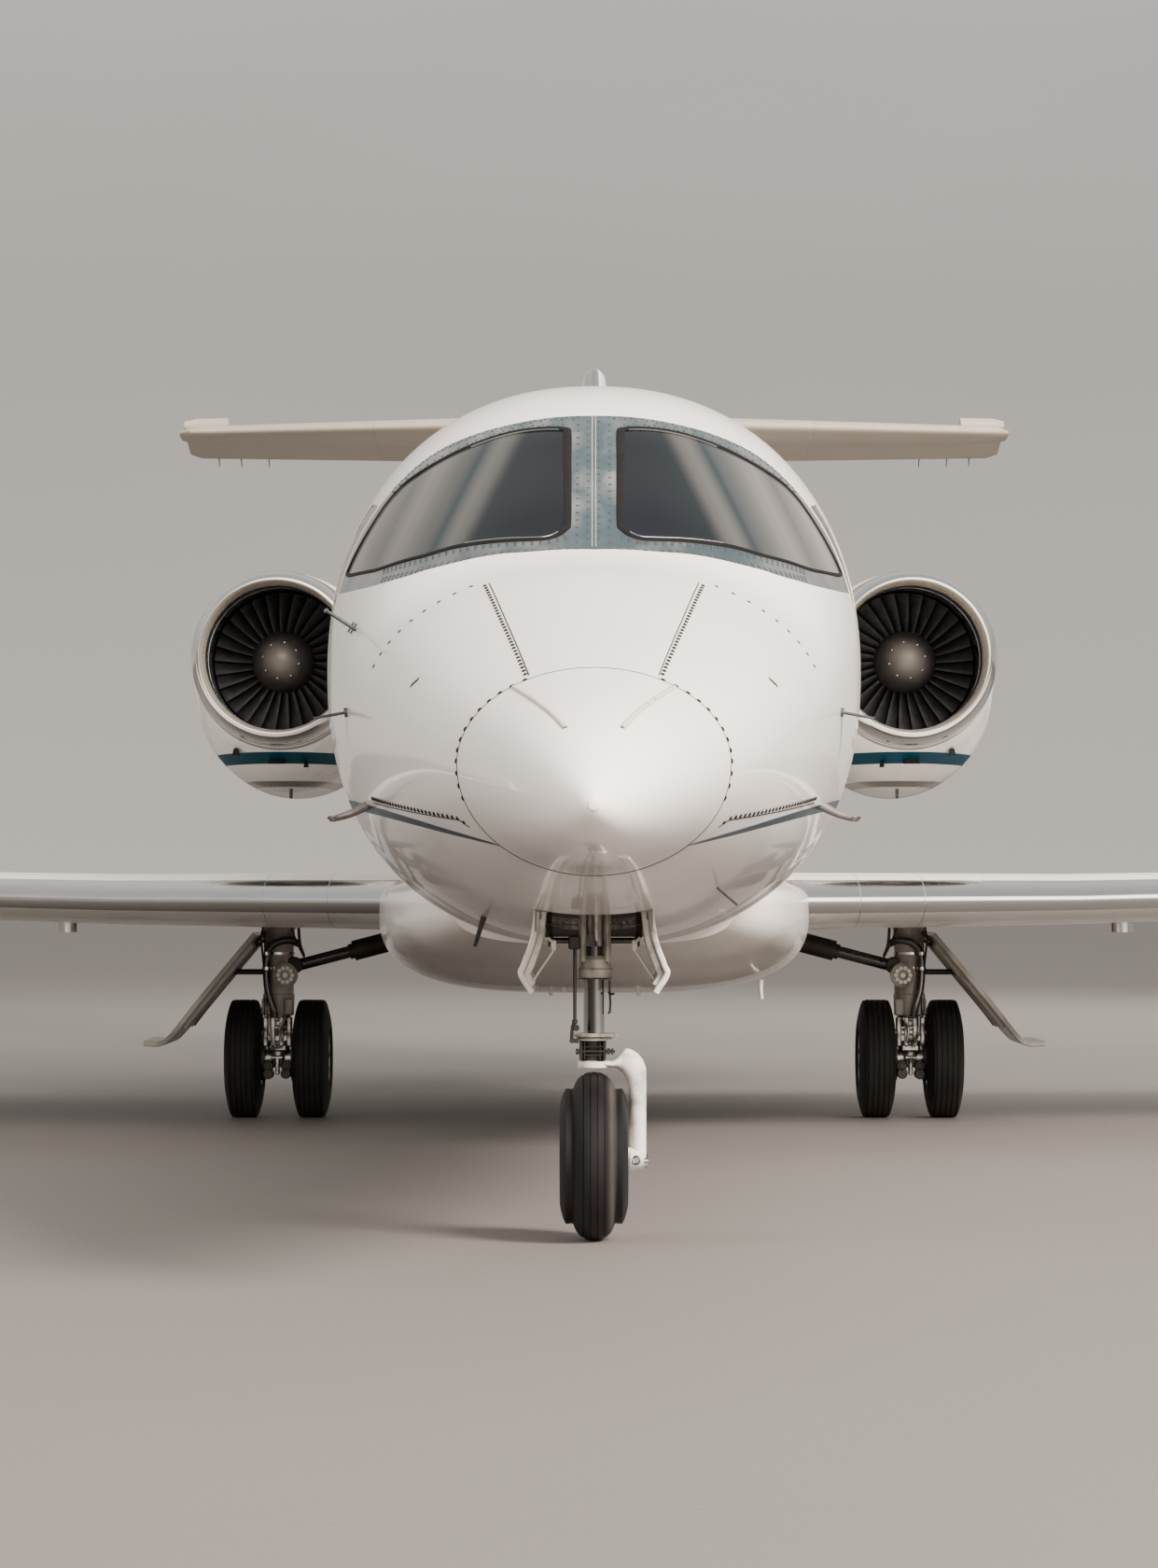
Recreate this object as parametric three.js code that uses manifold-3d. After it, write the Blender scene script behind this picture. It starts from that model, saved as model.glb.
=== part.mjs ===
// A light business jet with two engines on the rear fuselage, a low wing and a
// T-tail, standing on its landing gear. Millimetres, +Z up. The nose points
// along -Y and the left wing along +X. Inside this file Y is the station, the
// distance aft of the nose tip, and the whole jet is moved to its middle at the end.

import * as THREE from "three";
import { mergeVertices } from "three/addons/utils/BufferGeometryUtils.js";
import Module from "manifold-3d";

const wasm = await Module();
wasm.setup();

// Clearances
const SEAT = 0.3;
const FIT = 0.8;
const RUN = 8;
const PIN = 0.3;
const SHAFT_SIDES = 24;
const CUT_TOLERANCE = 0.05;
const HINGE_PIN = 7;

// Whole aircraft
const LENGTH = 14830;
const GROUND = 0;

// Fuselage sections, each two half ovals that meet at the widest height:
// station, half width, height of widest point, crown, keel, power above, power below
const HULL = [
  [0, 0, 1090, 1090, 1090, 2.0, 2.0],
  [40, 50, 1090, 1145, 1045, 2.0, 2.0],
  [150, 112, 1110, 1215, 1005, 2.0, 2.0],
  [400, 205, 1150, 1315, 970, 2.0, 2.0],
  [800, 320, 1200, 1425, 940, 2.0, 2.0],
  [1400, 465, 1280, 1577, 875, 2.0, 2.1],
  [2000, 580, 1360, 1727, 820, 2.0, 2.2],
  [2350, 640, 1410, 1815, 795, 2.0, 2.2],
  [2700, 692, 1450, 1980, 775, 2.1, 2.2],
  [3050, 735, 1490, 2140, 758, 2.2, 2.2],
  [3350, 768, 1520, 2278, 748, 2.2, 2.2],
  [3800, 803, 1555, 2410, 737, 2.2, 2.3],
  [4300, 822, 1575, 2475, 730, 2.2, 2.3],
  [5000, 825, 1580, 2495, 730, 2.2, 2.3],
  [8600, 825, 1580, 2495, 730, 2.2, 2.3],
  [9600, 775, 1625, 2475, 865, 2.2, 2.2],
  [10800, 640, 1735, 2400, 1120, 2.1, 2.1],
  [12000, 455, 1845, 2285, 1385, 2.0, 2.0],
  [13200, 250, 1930, 2135, 1665, 2.0, 2.0],
  [13900, 105, 1970, 2030, 1860, 2.0, 2.0],
];
const HULL_SIDES = 24;
const HULL_STEPS = [
  2, 15, 50, 120, 240, 450, 1200, 1650, 2000, 2550, 2800, 3050, 3300, 3600, 3800, 3930,
  4620, 5000, 8600, 9200, 9900, 10700, 11500, 12300, 13100, 13600,
];

// Where the fuselage is divided
const RADOME_END = 800;
const NOSE_END = 2350;
const FRAME_END = 3420;
const COCKPIT_END = 3800;
const CABIN_END = 8600;
const TAIL_END = 13900;
const FRAME_FOOT = 1785;
const CROWN_SEAM = 2190;
const WALL = 60;

// Glass
const GLASS_FRONT = 2;
const GLASS_BACK = 22;
const SCREEN_OUTLINE = [
  [64, 2240], [300, 2200], [578, 2078], [690, 1893], [722, 1817], [480, 1828], [64, 1862],
];
const SCREEN_CORNER = 28;
const SIDE_PANE = [
  [3475, 2035], [3475, 1745], [3745, 1745], [3745, 1985], [3700, 2060],
];
const WINDOW_STATIONS = [5150, 5800, 6450, 7100, 7750, 8300];
const WINDOW_WIDTH = 290;
const WINDOW_HEIGHT = 390;
const WINDOW_HEIGHT_MID = 1900;
const WINDOW_CORNER = 120;
const RAIL = { half: 12, thick: 6 };

// Entry door in the left side, in two leaves
const DOOR = { front: 3960, rear: 4590, foot: 1030, split: 1600, top: 2180, corner: 70 };
// Hinge lines on the skin: radius of the knuckle, distances from the doorway's top and foot
const DOOR_HINGE = { radius: 6, top: 4.8, foot: 6.1 };

// Cabin fittings
const FLOOR = { top: 1010, thick: 30, front: 2800, rear: 8500 };
const PANEL = { front: 2640, rear: 3020, foot: 1330, top: 1770 };

// Wing sections: span place, leading edge station, chord, height of chord line,
// thickness share, cant of the section in degrees
const WING = [
  [560, 6460, 2480, 858, 0.088, 0],
  [1800, 6850, 2140, 866, 0.090, 0],
  [4000, 7480, 1660, 915, 0.095, 0],
  [6050, 8080, 1210, 972, 0.098, 0],
  [6280, 8170, 1120, 985, 0.095, 12],
  [6480, 8290, 1010, 1040, 0.090, 42],
  [6590, 8440, 880, 1170, 0.085, 68],
  [6645, 8700, 640, 1480, 0.080, 80],
  [6675, 8900, 420, 1700, 0.075, 82],
];
// Drop: how far the hinge line lies below the middle of the section at its ends
const FLAP = { inner: 900, outer: 3850, share: 0.74, drop: 5 };
const AILERON = { inner: 4000, outer: 5950, share: 0.74, drop: 0 };
const GEAR_WELL = { inner: 640, outer: 1345, front: 7870, rear: 8370, roof: 845 };
const WING_JACK = { x: 2050, station: 7700, radius: 45, foot: 738, roof: 800 };
const NOSE_JACK = { station: 1150, radius: 35, foot: 885, roof: 1000 };

// Belly fairing sections: station, half width, height of widest point, keel
const FAIRING = [
  [5250, 470, 860, 722],
  [5750, 660, 860, 640],
  [6350, 760, 860, 552],
  [6900, 795, 860, 522],
  [8500, 795, 860, 522],
  [9000, 740, 900, 590],
  [9500, 620, 960, 730],
  [9850, 430, 1000, 880],
];
const FAIRING_POWER = 3.2;

// Engines
const ENGINE = { x: 1315, z: 1865 };
const ROUND = 24;
const LIP = { front: 8750, rear: 8985, throat: 298, crown: 312, outer: 366 };
const FAN = { front: 9030, face: 9230, rear: 9400, hub: 130, tip: 298, blades: 30 };
const DUCT = 314;
const CORE = { front: 9460, rear: 10950, cone: 11520, shaft: 40 };
const NOZZLE = { rear: 11780, radius: 268 };
// Cowl sections: station, radius, reach below the axis
const COWL = [
  [8985, 366, 370],
  [9250, 382, 455],
  [9600, 396, 545],
  [10100, 402, 562],
  [10700, 396, 535],
  [11250, 362, 430],
  [11780, 284, 290],
];
const PYLON = { front: 9350, chord: 1750, height: 1885, thick: 0.10, inner: 500, outer: 1000 };

// Tail: fin sections by height, then leading edge station, chord, thickness share
const FIN = [
  [2150, 10700, 2950, 0.060],
  [2450, 11330, 2480, 0.068],
  [2900, 12060, 1860, 0.078],
  [3300, 12610, 1400, 0.090],
  [3480, 12800, 1250, 0.085],
  [3545, 13000, 980, 0.040],
];
const RUDDER = { foot: 2385, top: 3060, share: 0.68 };
// Stabilizer sections: span place, leading edge station, chord, height, thickness share
const STABILIZER = [
  [0, 13035, 1300, 3285, 0.10],
  [1200, 13555, 1060, 3310, 0.10],
  [2150, 13972, 865, 3330, 0.10],
  [2210, 14067, 720, 3331, 0.06],
];
const ELEVATOR = { inner: 210, share: 0.68, droop: 14, hornInner: 1965, horn: 270 };

// Main gear, left side
const MAIN = { x: 1252, station: 8100, tyre: 233, width: 147, spacing: 268, bead: 118 };
const MAIN_STRUT = { radius: 63, top: 844.7, foot: 484, fitting: 46 };
const MAIN_AXLE = 36;
const WHEEL_SIDES = 24;
const LIGHT = { z: 565, radius: 50, front: 7985, x: 1220 };
const BRACE = { outer: [1190, 599], inner: [777, 706], radius: 24 };
const MAIN_DOOR = { top: [1330, 728], foot: [1690, 291], lip: [1765, 300], front: 7850, rear: 8350 };
const DOOR_THICK = 24;
const DOOR_LINK = { z: 576, radius: 12 };

// Nose gear
const NOSE = { station: 1950, tyre: 217.5, width: 148, chine: 88, bead: 95 };
const BAY = { front: 1740, rear: 2300, half: 146, roof: 1180 };
const CASTING = { radius: 45, foot: 677 };
const PISTON = { radius: 30, top: 900, foot: 534 };
const COLLAR = { radius: 62, foot: 515 };
const FORK_HUB = { radius: 36, foot: 446 };
const FORK_ARM = { x: 116, radius: 21, crown: 494 };
const NOSE_AXLE = 18;
// Nose gear door edge seen from the front: distance from the middle, height
const NOSE_DOOR = [[145.7, 892], [145.7, 790], [190, 706], [158, 642]];
const NOSE_DOOR_THICK = 16;

const PAINT = { color: 0xf2f2ee, roughness: 0.28, metalness: 0.0 };
const BARE = { color: 0xb9c0c6, roughness: 0.2, metalness: 0.9 };
const STEEL = { color: 0x8f9498, roughness: 0.35, metalness: 0.9 };
const TYRE = { color: 0x1b1b1c, roughness: 0.85, metalness: 0.0 };
const GLASS = { color: 0x27323b, roughness: 0.06, metalness: 0.0 };
const TRIM = { color: 0x3a3c40, roughness: 0.7, metalness: 0.0 };
const LEATHER = { color: 0xb8a58a, roughness: 0.55, metalness: 0.0 };

const jet = new THREE.Group();
jet.position.y = -LENGTH / 2;

// Closed meshes and solids

function facingOut(geometry) {
  const place = geometry.attributes.position;
  const index = geometry.index.array;
  const a = new THREE.Vector3();
  const b = new THREE.Vector3();
  const c = new THREE.Vector3();
  let volume = 0;
  for (let i = 0; i < index.length; i += 3) {
    a.fromBufferAttribute(place, index[i]);
    b.fromBufferAttribute(place, index[i + 1]);
    c.fromBufferAttribute(place, index[i + 2]);
    volume += a.dot(b.cross(c));
  }
  if (volume < 0) {
    for (let i = 0; i < index.length; i += 3) {
      [index[i + 1], index[i + 2]] = [index[i + 2], index[i + 1]];
    }
  }
  return geometry;
}

function solid(geometry) {
  const bare = geometry.clone();
  bare.deleteAttribute("normal");
  bare.deleteAttribute("uv");
  const merged = facingOut(mergeVertices(bare, 1e-3));
  return new wasm.Manifold(new wasm.Mesh({
    numProp: 3,
    vertProperties: new Float32Array(merged.attributes.position.array),
    triVerts: new Uint32Array(merged.index.array),
  }));
}

// The mesh of a solid, with edges shorter than the cutting tolerance closed up
function surface(body) {
  const mesh = body.setTolerance(CUT_TOLERANCE).getMesh();
  const geometry = new THREE.BufferGeometry();
  geometry.setAttribute("position", new THREE.BufferAttribute(new Float32Array(mesh.vertProperties), 3));
  geometry.setIndex(new THREE.BufferAttribute(new Uint32Array(mesh.triVerts), 1));
  geometry.computeVertexNormals();
  return geometry;
}

function place(name, body, finish) {
  const mesh = new THREE.Mesh(surface(body), new THREE.MeshStandardMaterial(finish));
  mesh.name = name;
  jet.add(mesh);
  return mesh;
}

// The left piece as given, and its mirror image on the right
function placePair(name, body, finish) {
  place(`${name}_left`, body, finish);
  const right = surface(body).scale(-1, 1, 1);
  const mesh = new THREE.Mesh(facingOut(right), new THREE.MeshStandardMaterial(finish));
  mesh.geometry.computeVertexNormals();
  mesh.name = `${name}_right`;
  jet.add(mesh);
}

function mirrored(body) {
  return solid(surface(body).scale(-1, 1, 1));
}

function box(x0, x1, y0, y1, z0, z1) {
  const geometry = new THREE.BoxGeometry(x1 - x0, y1 - y0, z1 - z0);
  return solid(geometry.translate((x0 + x1) / 2, (y0 + y1) / 2, (z0 + z1) / 2));
}

// A rod between two points, its radius running from one end's to the other's
function rod(from, to, radius, endRadius = radius, sides = 12) {
  const start = new THREE.Vector3(...from);
  const end = new THREE.Vector3(...to);
  const geometry = new THREE.CylinderGeometry(endRadius, radius, start.distanceTo(end), sides);
  const turn = new THREE.Quaternion().setFromUnitVectors(
    new THREE.Vector3(0, 1, 0), end.clone().sub(start).normalize());
  geometry.applyQuaternion(turn);
  const middle = start.add(end).multiplyScalar(0.5);
  return solid(geometry.translate(middle.x, middle.y, middle.z));
}

// A closed skin through rings of points that all have the same count. Each four-cornered
// patch is split along its shorter diagonal, so that mirror images split alike
function loft(rings) {
  const count = rings[0].length;
  const points = rings.flat();
  const index = [];
  for (let r = 0; r + 1 < rings.length; r++) {
    for (let i = 0; i < count; i++) {
      const j = (i + 1) % count;
      const [a, b, c, d] = [r * count + i, r * count + j, (r + 1) * count + j, (r + 1) * count + i];
      const across = points[a].distanceToSquared(points[c]) < points[b].distanceToSquared(points[d]);
      if (across) index.push(a, b, c, a, c, d);
      else index.push(a, b, d, b, c, d);
    }
  }
  const last = (rings.length - 1) * count;
  for (let i = 1; i + 1 < count; i++) {
    index.push(0, i + 1, i);
    index.push(last, last + i, last + i + 1);
  }
  const geometry = new THREE.BufferGeometry().setFromPoints(points);
  geometry.setIndex(index);
  return solid(geometry);
}

// Radius of a many-sided bore in which a shaft of the given radius turns freely
function boreFor(radius) {
  return (radius + PIN) / Math.cos(Math.PI / SHAFT_SIDES);
}

// A shaft or its bore, with enough sides to turn in the other
function shaft(from, to, radius) {
  return rod(from, to, radius, radius, SHAFT_SIDES);
}

// Pads, outlines and turned pieces

function outline(points, corner, inset = 0) {
  const ring = points.map(([x, y]) => new THREE.Vector2(x, y));
  const turn = Math.sign(THREE.ShapeUtils.area(ring));
  const moved = ring.map((point, i) => {
    const before = ring[(i + ring.length - 1) % ring.length];
    const after = ring[(i + 1) % ring.length];
    const inward = (p, q) => new THREE.Vector2(p.y - q.y, q.x - p.x).normalize().multiplyScalar(turn);
    const n1 = inward(before, point);
    const n2 = inward(point, after);
    const reach = inset / (1 + n1.dot(n2));
    return point.clone().addScaledVector(n1.add(n2), reach);
  });
  const shape = new THREE.Shape();
  moved.forEach((point, i) => {
    const before = moved[(i + moved.length - 1) % moved.length];
    const after = moved[(i + 1) % moved.length];
    const round = Math.min(corner, point.distanceTo(before) * 0.45, point.distanceTo(after) * 0.45);
    const a = point.clone().add(before.clone().sub(point).setLength(round));
    const b = point.clone().add(after.clone().sub(point).setLength(round));
    if (i === 0) shape.moveTo(a.x, a.y);
    else shape.lineTo(a.x, a.y);
    shape.quadraticCurveTo(point.x, point.y, b.x, b.y);
  });
  shape.closePath();
  return shape;
}

function extruded(shape, depth, basis, shift) {
  const geometry = new THREE.ExtrudeGeometry(shape, { depth, bevelEnabled: false, curveSegments: 2 });
  geometry.applyMatrix4(new THREE.Matrix4().makeBasis(...basis));
  return solid(geometry.translate(...shift));
}

const X_AXIS = new THREE.Vector3(1, 0, 0);
const Y_AXIS = new THREE.Vector3(0, 1, 0);
const Z_AXIS = new THREE.Vector3(0, 0, 1);

// An outline of station and height, driven through from x0 to x1
function throughSide(shape, x0, x1) {
  return extruded(shape, x1 - x0, [Y_AXIS, Z_AXIS, X_AXIS], [x0, 0, 0]);
}

// An outline of side distance and height, driven through from y0 to y1
function throughFront(shape, y0, y1) {
  return extruded(shape, y1 - y0, [X_AXIS, Z_AXIS, Y_AXIS], [0, y0, 0]);
}

// A profile of radius and station turned about a line along Y
function turnedAlong(profile, x, z, sides) {
  const points = profile.map(([radius, station]) => new THREE.Vector2(radius, station));
  return solid(new THREE.LatheGeometry(points, sides).translate(x, 0, z));
}

// A profile of radius and side distance turned about an axle along X
function turnedAcross(profile, station, z, x, sides) {
  const points = profile.map(([radius, along]) => new THREE.Vector2(radius, along));
  const geometry = new THREE.LatheGeometry(points, sides).rotateZ(-Math.PI / 2);
  return solid(geometry.translate(x, station, z));
}

// Smooth, never overshooting curve through one column of a table
function column(table, key, value, bend = (s) => s) {
  const x = table.map((row) => bend(row[key]));
  const y = table.map((row) => row[value]);
  const last = x.length - 1;
  const rise = [];
  for (let i = 0; i < last; i++) rise.push((y[i + 1] - y[i]) / (x[i + 1] - x[i]));
  const slope = y.map((_, i) => {
    if (i === 0) return rise[0];
    if (i === last) return rise[last - 1];
    if (rise[i - 1] * rise[i] <= 0) return 0;
    return 2 * rise[i - 1] * rise[i] / (rise[i - 1] + rise[i]);
  });
  return (at) => {
    const s = THREE.MathUtils.clamp(bend(at), x[0], x[last]);
    let i = 0;
    while (i < last - 1 && s > x[i + 1]) i++;
    const h = x[i + 1] - x[i];
    const t = (s - x[i]) / h;
    return (1 + 2 * t) * (1 - t) ** 2 * y[i] + t * (1 - t) ** 2 * h * slope[i]
      + t * t * (3 - 2 * t) * y[i + 1] + t * t * (t - 1) * h * slope[i + 1];
  };
}

// Fuselage

const hull = [1, 2, 3, 4, 5, 6].map((value) => column(HULL, 0, value, Math.sqrt));

function ovalPoint(angle, half, up, down, powerUp, powerDown, middle) {
  const c = Math.cos(angle);
  const s = Math.sin(angle);
  const power = s >= 0 ? powerUp : powerDown;
  const reach = s >= 0 ? up : down;
  return [
    half * Math.sign(c) * Math.abs(c) ** (2 / power),
    middle + reach * Math.sign(s) * Math.abs(s) ** (2 / power),
  ];
}

function hullRing(station, inset) {
  const [half, middle, crown, keel, above, below] = hull.map((curve) => curve(station));
  const ring = [];
  for (let i = 0; i < HULL_SIDES; i++) {
    const angle = 2 * Math.PI * (i + 0.5) / HULL_SIDES;
    const [x, z] = ovalPoint(
      angle, half - inset, crown - middle - inset, middle - keel - inset, above, below, middle);
    ring.push(new THREE.Vector3(x, station, z));
  }
  return ring;
}

// Half width of the flat-sided skin at a height
function hullHalf(station, z, inset) {
  const ring = hullRing(station, inset);
  for (let i = 0; i < HULL_SIDES; i++) {
    const a = ring[i];
    const b = ring[(i + 1) % HULL_SIDES];
    if (a.x > 0 && a.z <= z && b.z > z) return THREE.MathUtils.mapLinear(z, a.z, b.z, a.x, b.x);
  }
  return 0;
}

function hullBody(from, to, inset = 0) {
  const steps = HULL_STEPS.filter((s) => s > from + 20 && s < to - 20);
  return loft([from, ...steps, to].map((station) => hullRing(station, inset)));
}

const OUT = 2000;
const WIDE = 4000;

function shell(from, to, wall = WALL) {
  return hullBody(from, to).subtract(hullBody(from - 1, to + 1, wall));
}

function buildRadome() {
  const tip = HULL_STEPS[0];
  const steps = HULL_STEPS.filter((s) => s > tip && s < RADOME_END - 20);
  const body = loft([tip, ...steps, RADOME_END].map((station) => hullRing(station, 0)));
  place("radome", body, PAINT);
}

function buildNoseSection() {
  const bay = box(-BAY.half, BAY.half, BAY.front, BAY.rear, 0, BAY.roof);
  const pad = rod([0, NOSE_JACK.station, NOSE_JACK.foot], [0, NOSE_JACK.station, NOSE_JACK.roof],
    NOSE_JACK.radius);
  const body = hullBody(RADOME_END + SEAT, NOSE_END - SEAT).add(pad).subtract(bay);
  place("nose_section", body, PAINT);
}

function screenCut(side, inset) {
  const points = SCREEN_OUTLINE.map(([x, z]) => [side * x, z]);
  return throughFront(outline(points, SCREEN_CORNER, inset), NOSE_END, FRAME_END - 60 - inset);
}

function sidePaneCut(side, inset) {
  const shape = outline(SIDE_PANE, SCREEN_CORNER, inset);
  return side > 0 ? throughSide(shape, 300, OUT) : throughSide(shape, -OUT, -300);
}

function glassLayer(from, to) {
  return hullBody(from, to, GLASS_FRONT).subtract(hullBody(from - 1, to + 1, GLASS_BACK));
}

function buildCockpit() {
  const whole = shell(NOSE_END, COCKPIT_END - SEAT);
  const upperFront = box(-OUT, OUT, NOSE_END - 10, FRAME_END, FRAME_FOOT, WIDE);
  const lowered = box(-OUT, OUT, NOSE_END - 10, FRAME_END + SEAT, FRAME_FOOT - SEAT, WIDE);
  let frame = whole.intersect(upperFront);
  for (const side of [1, -1]) frame = frame.subtract(screenCut(side, 0));
  place("windshield_frame", frame, BARE);
  let lower = whole.subtract(lowered);
  for (const side of [1, -1]) lower = lower.subtract(sidePaneCut(side, 0));
  place("cockpit_shell", lower, PAINT);
  const layer = glassLayer(NOSE_END, COCKPIT_END);
  placePair("windshield", layer.intersect(screenCut(1, 0.5)), GLASS);
  placePair("cockpit_window", layer.intersect(sidePaneCut(1, 0.5)), GLASS);
}

function windowCut(station, inset) {
  const w = WINDOW_WIDTH / 2;
  const h = WINDOW_HEIGHT / 2;
  const z = WINDOW_HEIGHT_MID;
  const points = [[station - w, z - h], [station + w, z - h], [station + w, z + h], [station - w, z + h]];
  return throughSide(outline(points, WINDOW_CORNER, inset), 300, OUT);
}

function doorCut(foot, top, inset) {
  const points = [[DOOR.front, foot], [DOOR.rear, foot], [DOOR.rear, top], [DOOR.front, top]];
  return throughSide(outline(points, DOOR.corner, inset), 300, OUT);
}

function buildCabin() {
  const whole = shell(COCKPIT_END, CABIN_END - SEAT);
  place("cabin_crown", whole.intersect(box(-OUT, OUT, 0, LENGTH, CROWN_SEAM, WIDE)), PAINT);
  let side = whole.intersect(box(SEAT / 2, OUT, 0, LENGTH, 0, CROWN_SEAM - SEAT));
  for (const station of WINDOW_STATIONS) side = side.subtract(windowCut(station, 0));
  place("cabin_side_right", mirrored(side), PAINT);
  place("cabin_side_left", side.subtract(doorCut(DOOR.foot, DOOR.top, 0)), PAINT);
  const layer = glassLayer(COCKPIT_END, CABIN_END);
  const wallX = hullHalf(CABIN_END, WINDOW_HEIGHT_MID + RAIL.half, WALL + SEAT);
  const first = WINDOW_STATIONS[0] - RAIL.half;
  const last = WINDOW_STATIONS.at(-1) + RAIL.half;
  const low = WINDOW_HEIGHT_MID - RAIL.half;
  const high = WINDOW_HEIGHT_MID + RAIL.half;
  let panes = box(wallX - RAIL.thick, wallX, first, last, low, high);
  for (const station of WINDOW_STATIONS) {
    const stem = box(wallX - 1, wallX + WALL - GLASS_BACK / 2, station - RAIL.half, station + RAIL.half, low, high);
    panes = panes.add(layer.intersect(windowCut(station, 0.5))).add(stem);
  }
  placePair("cabin_windows", panes, GLASS);
  const leaf = (foot, top) => whole.intersect(doorCut(foot, top, RUN));
  const hinge = (z) => {
    const end = (station) => {
      const probe = box(0, OUT, station - 1, station + 1, z - 0.1, z + 0.1);
      return [whole.intersect(probe).boundingBox().max[0], station, z];
    };
    return rod(end(DOOR.front + DOOR.corner), end(DOOR.rear - DOOR.corner), DOOR_HINGE.radius);
  };
  const upper = leaf(DOOR.split - RUN / 2, DOOR.top).add(hinge(DOOR.top - DOOR_HINGE.top));
  const lower = leaf(DOOR.foot, DOOR.split + RUN / 2).add(hinge(DOOR.foot + DOOR_HINGE.foot));
  place("entry_door_upper", upper, PAINT);
  place("entry_door_lower", lower, PAINT);
}

function buildInterior() {
  const room = hullBody(NOSE_END, CABIN_END - 20, WALL + FIT);
  const deck = box(-OUT, OUT, FLOOR.front, FLOOR.rear, FLOOR.top - FLOOR.thick, FLOOR.top);
  place("cabin_floor", deck.intersect(room), TRIM);
  const board = box(-OUT, OUT, PANEL.front, PANEL.rear, PANEL.foot, PANEL.top);
  place("instrument_panel", board.intersect(room), TRIM);
  const wall = box(-OUT, OUT, FLOOR.rear + SEAT, FLOOR.rear + 40, 0, WIDE);
  place("aft_bulkhead", wall.intersect(room), TRIM);
  // Seat seen from the side, facing forward: distance aft of its middle, height above the floor
  const SEAT_SIDE = [
    [-150, 0], [150, 0], [170, 230], [300, 880], [200, 900], [120, 360], [-250, 370], [-250, 250],
    [-130, 220],
  ];
  const seat = (x, station, facing) => {
    const points = SEAT_SIDE.map(([y, z]) => [station + facing * y, FLOOR.top + SEAT + z]);
    return throughSide(outline(points, 0), x - 205, x + 205);
  };
  const rail = (x, from, to) => box(x - 20, x + 20, from, to, FLOOR.top + SEAT, FLOOR.top + 25);
  const pilots = seat(-300, 3420, 1).add(seat(300, 3420, 1))
    .add(box(-300, 300, 3300, 3340, FLOOR.top + SEAT, FLOOR.top + 25));
  place("pilot_seats", pilots, LEATHER);
  let row = rail(-330, 5000, 8200).add(rail(330, 5000, 8200))
    .add(box(-330, 330, 6700, 6740, FLOOR.top + SEAT, FLOOR.top + 25));
  const SEATS = [[5350, -1], [6500, 1], [7350, 1], [8100, 1]];
  for (const [station, facing] of SEATS) {
    for (const side of [1, -1]) row = row.add(seat(330 * side, station, facing));
  }
  place("cabin_seats", row, LEATHER);
}

function fairingBody(grow) {
  const curves = [1, 2, 3].map((value) => column(FAIRING, 0, value));
  const rings = FAIRING.map(([station]) => {
    const [half, middle, keel] = curves.map((curve) => curve(station));
    const ring = [];
    for (let i = 0; i < 32; i++) {
      const angle = 2 * Math.PI * (i + 0.5) / 32;
      const [x, z] = ovalPoint(angle, half + grow, 120 + grow, middle - keel + grow,
        2.5, FAIRING_POWER, middle);
      ring.push(new THREE.Vector3(x, station, z));
    }
    return ring;
  });
  rings[0].forEach((point) => { point.y -= grow; });
  rings.at(-1).forEach((point) => { point.y += grow; });
  return loft(rings);
}

const hullOuter = hullBody(5000, 12000, -SEAT);

function buildFairing() {
  const well = box(-OUT, OUT, GEAR_WELL.front, GEAR_WELL.rear, 0, GEAR_WELL.roof)
    .subtract(box(-GEAR_WELL.inner, GEAR_WELL.inner, 0, LENGTH, 0, WIDE));
  place("belly_fairing", fairingBody(0).subtract(hullOuter).subtract(well), PAINT);
}

// Wings and tail surfaces

const FOIL_POINTS = 7;

// Section of a wing: share along the chord and half thickness share, from the
// trailing edge over the top to the nose and back below
function foil(thick, chord) {
  const half = (u) => 5 * thick * (0.2969 * Math.sqrt(u) - 0.126 * u - 0.3516 * u ** 2
    + 0.2843 * u ** 3 - 0.1015 * u ** 4) + 2 * u / chord;
  const points = [];
  for (let i = 0; i <= FOIL_POINTS; i++) {
    const u = (1 + Math.cos(Math.PI * i / FOIL_POINTS)) / 2;
    points.push([u, half(u)]);
  }
  for (let i = FOIL_POINTS - 1; i >= 0; i--) {
    const u = (1 + Math.cos(Math.PI * i / FOIL_POINTS)) / 2;
    points.push([u, -half(u)]);
  }
  return points;
}

function wingRing([x, edge, chord, z, thick, cant]) {
  const tilt = THREE.MathUtils.degToRad(cant);
  return foil(thick, chord).map(([u, h]) => new THREE.Vector3(
    x - h * chord * Math.sin(tilt), edge + u * chord, z + h * chord * Math.cos(tilt)));
}

function finRing([z, edge, chord, thick]) {
  return foil(thick, chord).map(([u, h]) => new THREE.Vector3(h * chord, edge + u * chord, z));
}

// The space of a hinged surface: a slab behind the hinge line, with square ends,
// and a round nose about that line
function hingeSpace(from, to, noseRadius, gap, forward = 0) {
  const start = new THREE.Vector3(...from);
  const end = new THREE.Vector3(...to);
  const along = end.clone().sub(start).normalize();
  const aft = Y_AXIS.clone().addScaledVector(along, -along.y).normalize();
  const normal = new THREE.Vector3().crossVectors(along, aft);
  const length = start.distanceTo(end) - 2 * gap;
  const slab = new THREE.BoxGeometry(length, 1500 + forward, 500);
  slab.translate(length / 2 + gap, (1500 - forward) / 2, 0);
  slab.applyMatrix4(new THREE.Matrix4().makeBasis(along, aft, normal));
  slab.translate(start.x, start.y, start.z);
  const a = start.clone().addScaledVector(along, gap);
  const b = end.clone().addScaledVector(along, -gap);
  const nose = rod(a.toArray(), b.toArray(), noseRadius[0] - gap, noseRadius[1] - gap, 24);
  return solid(slab).add(nose);
}

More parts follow.
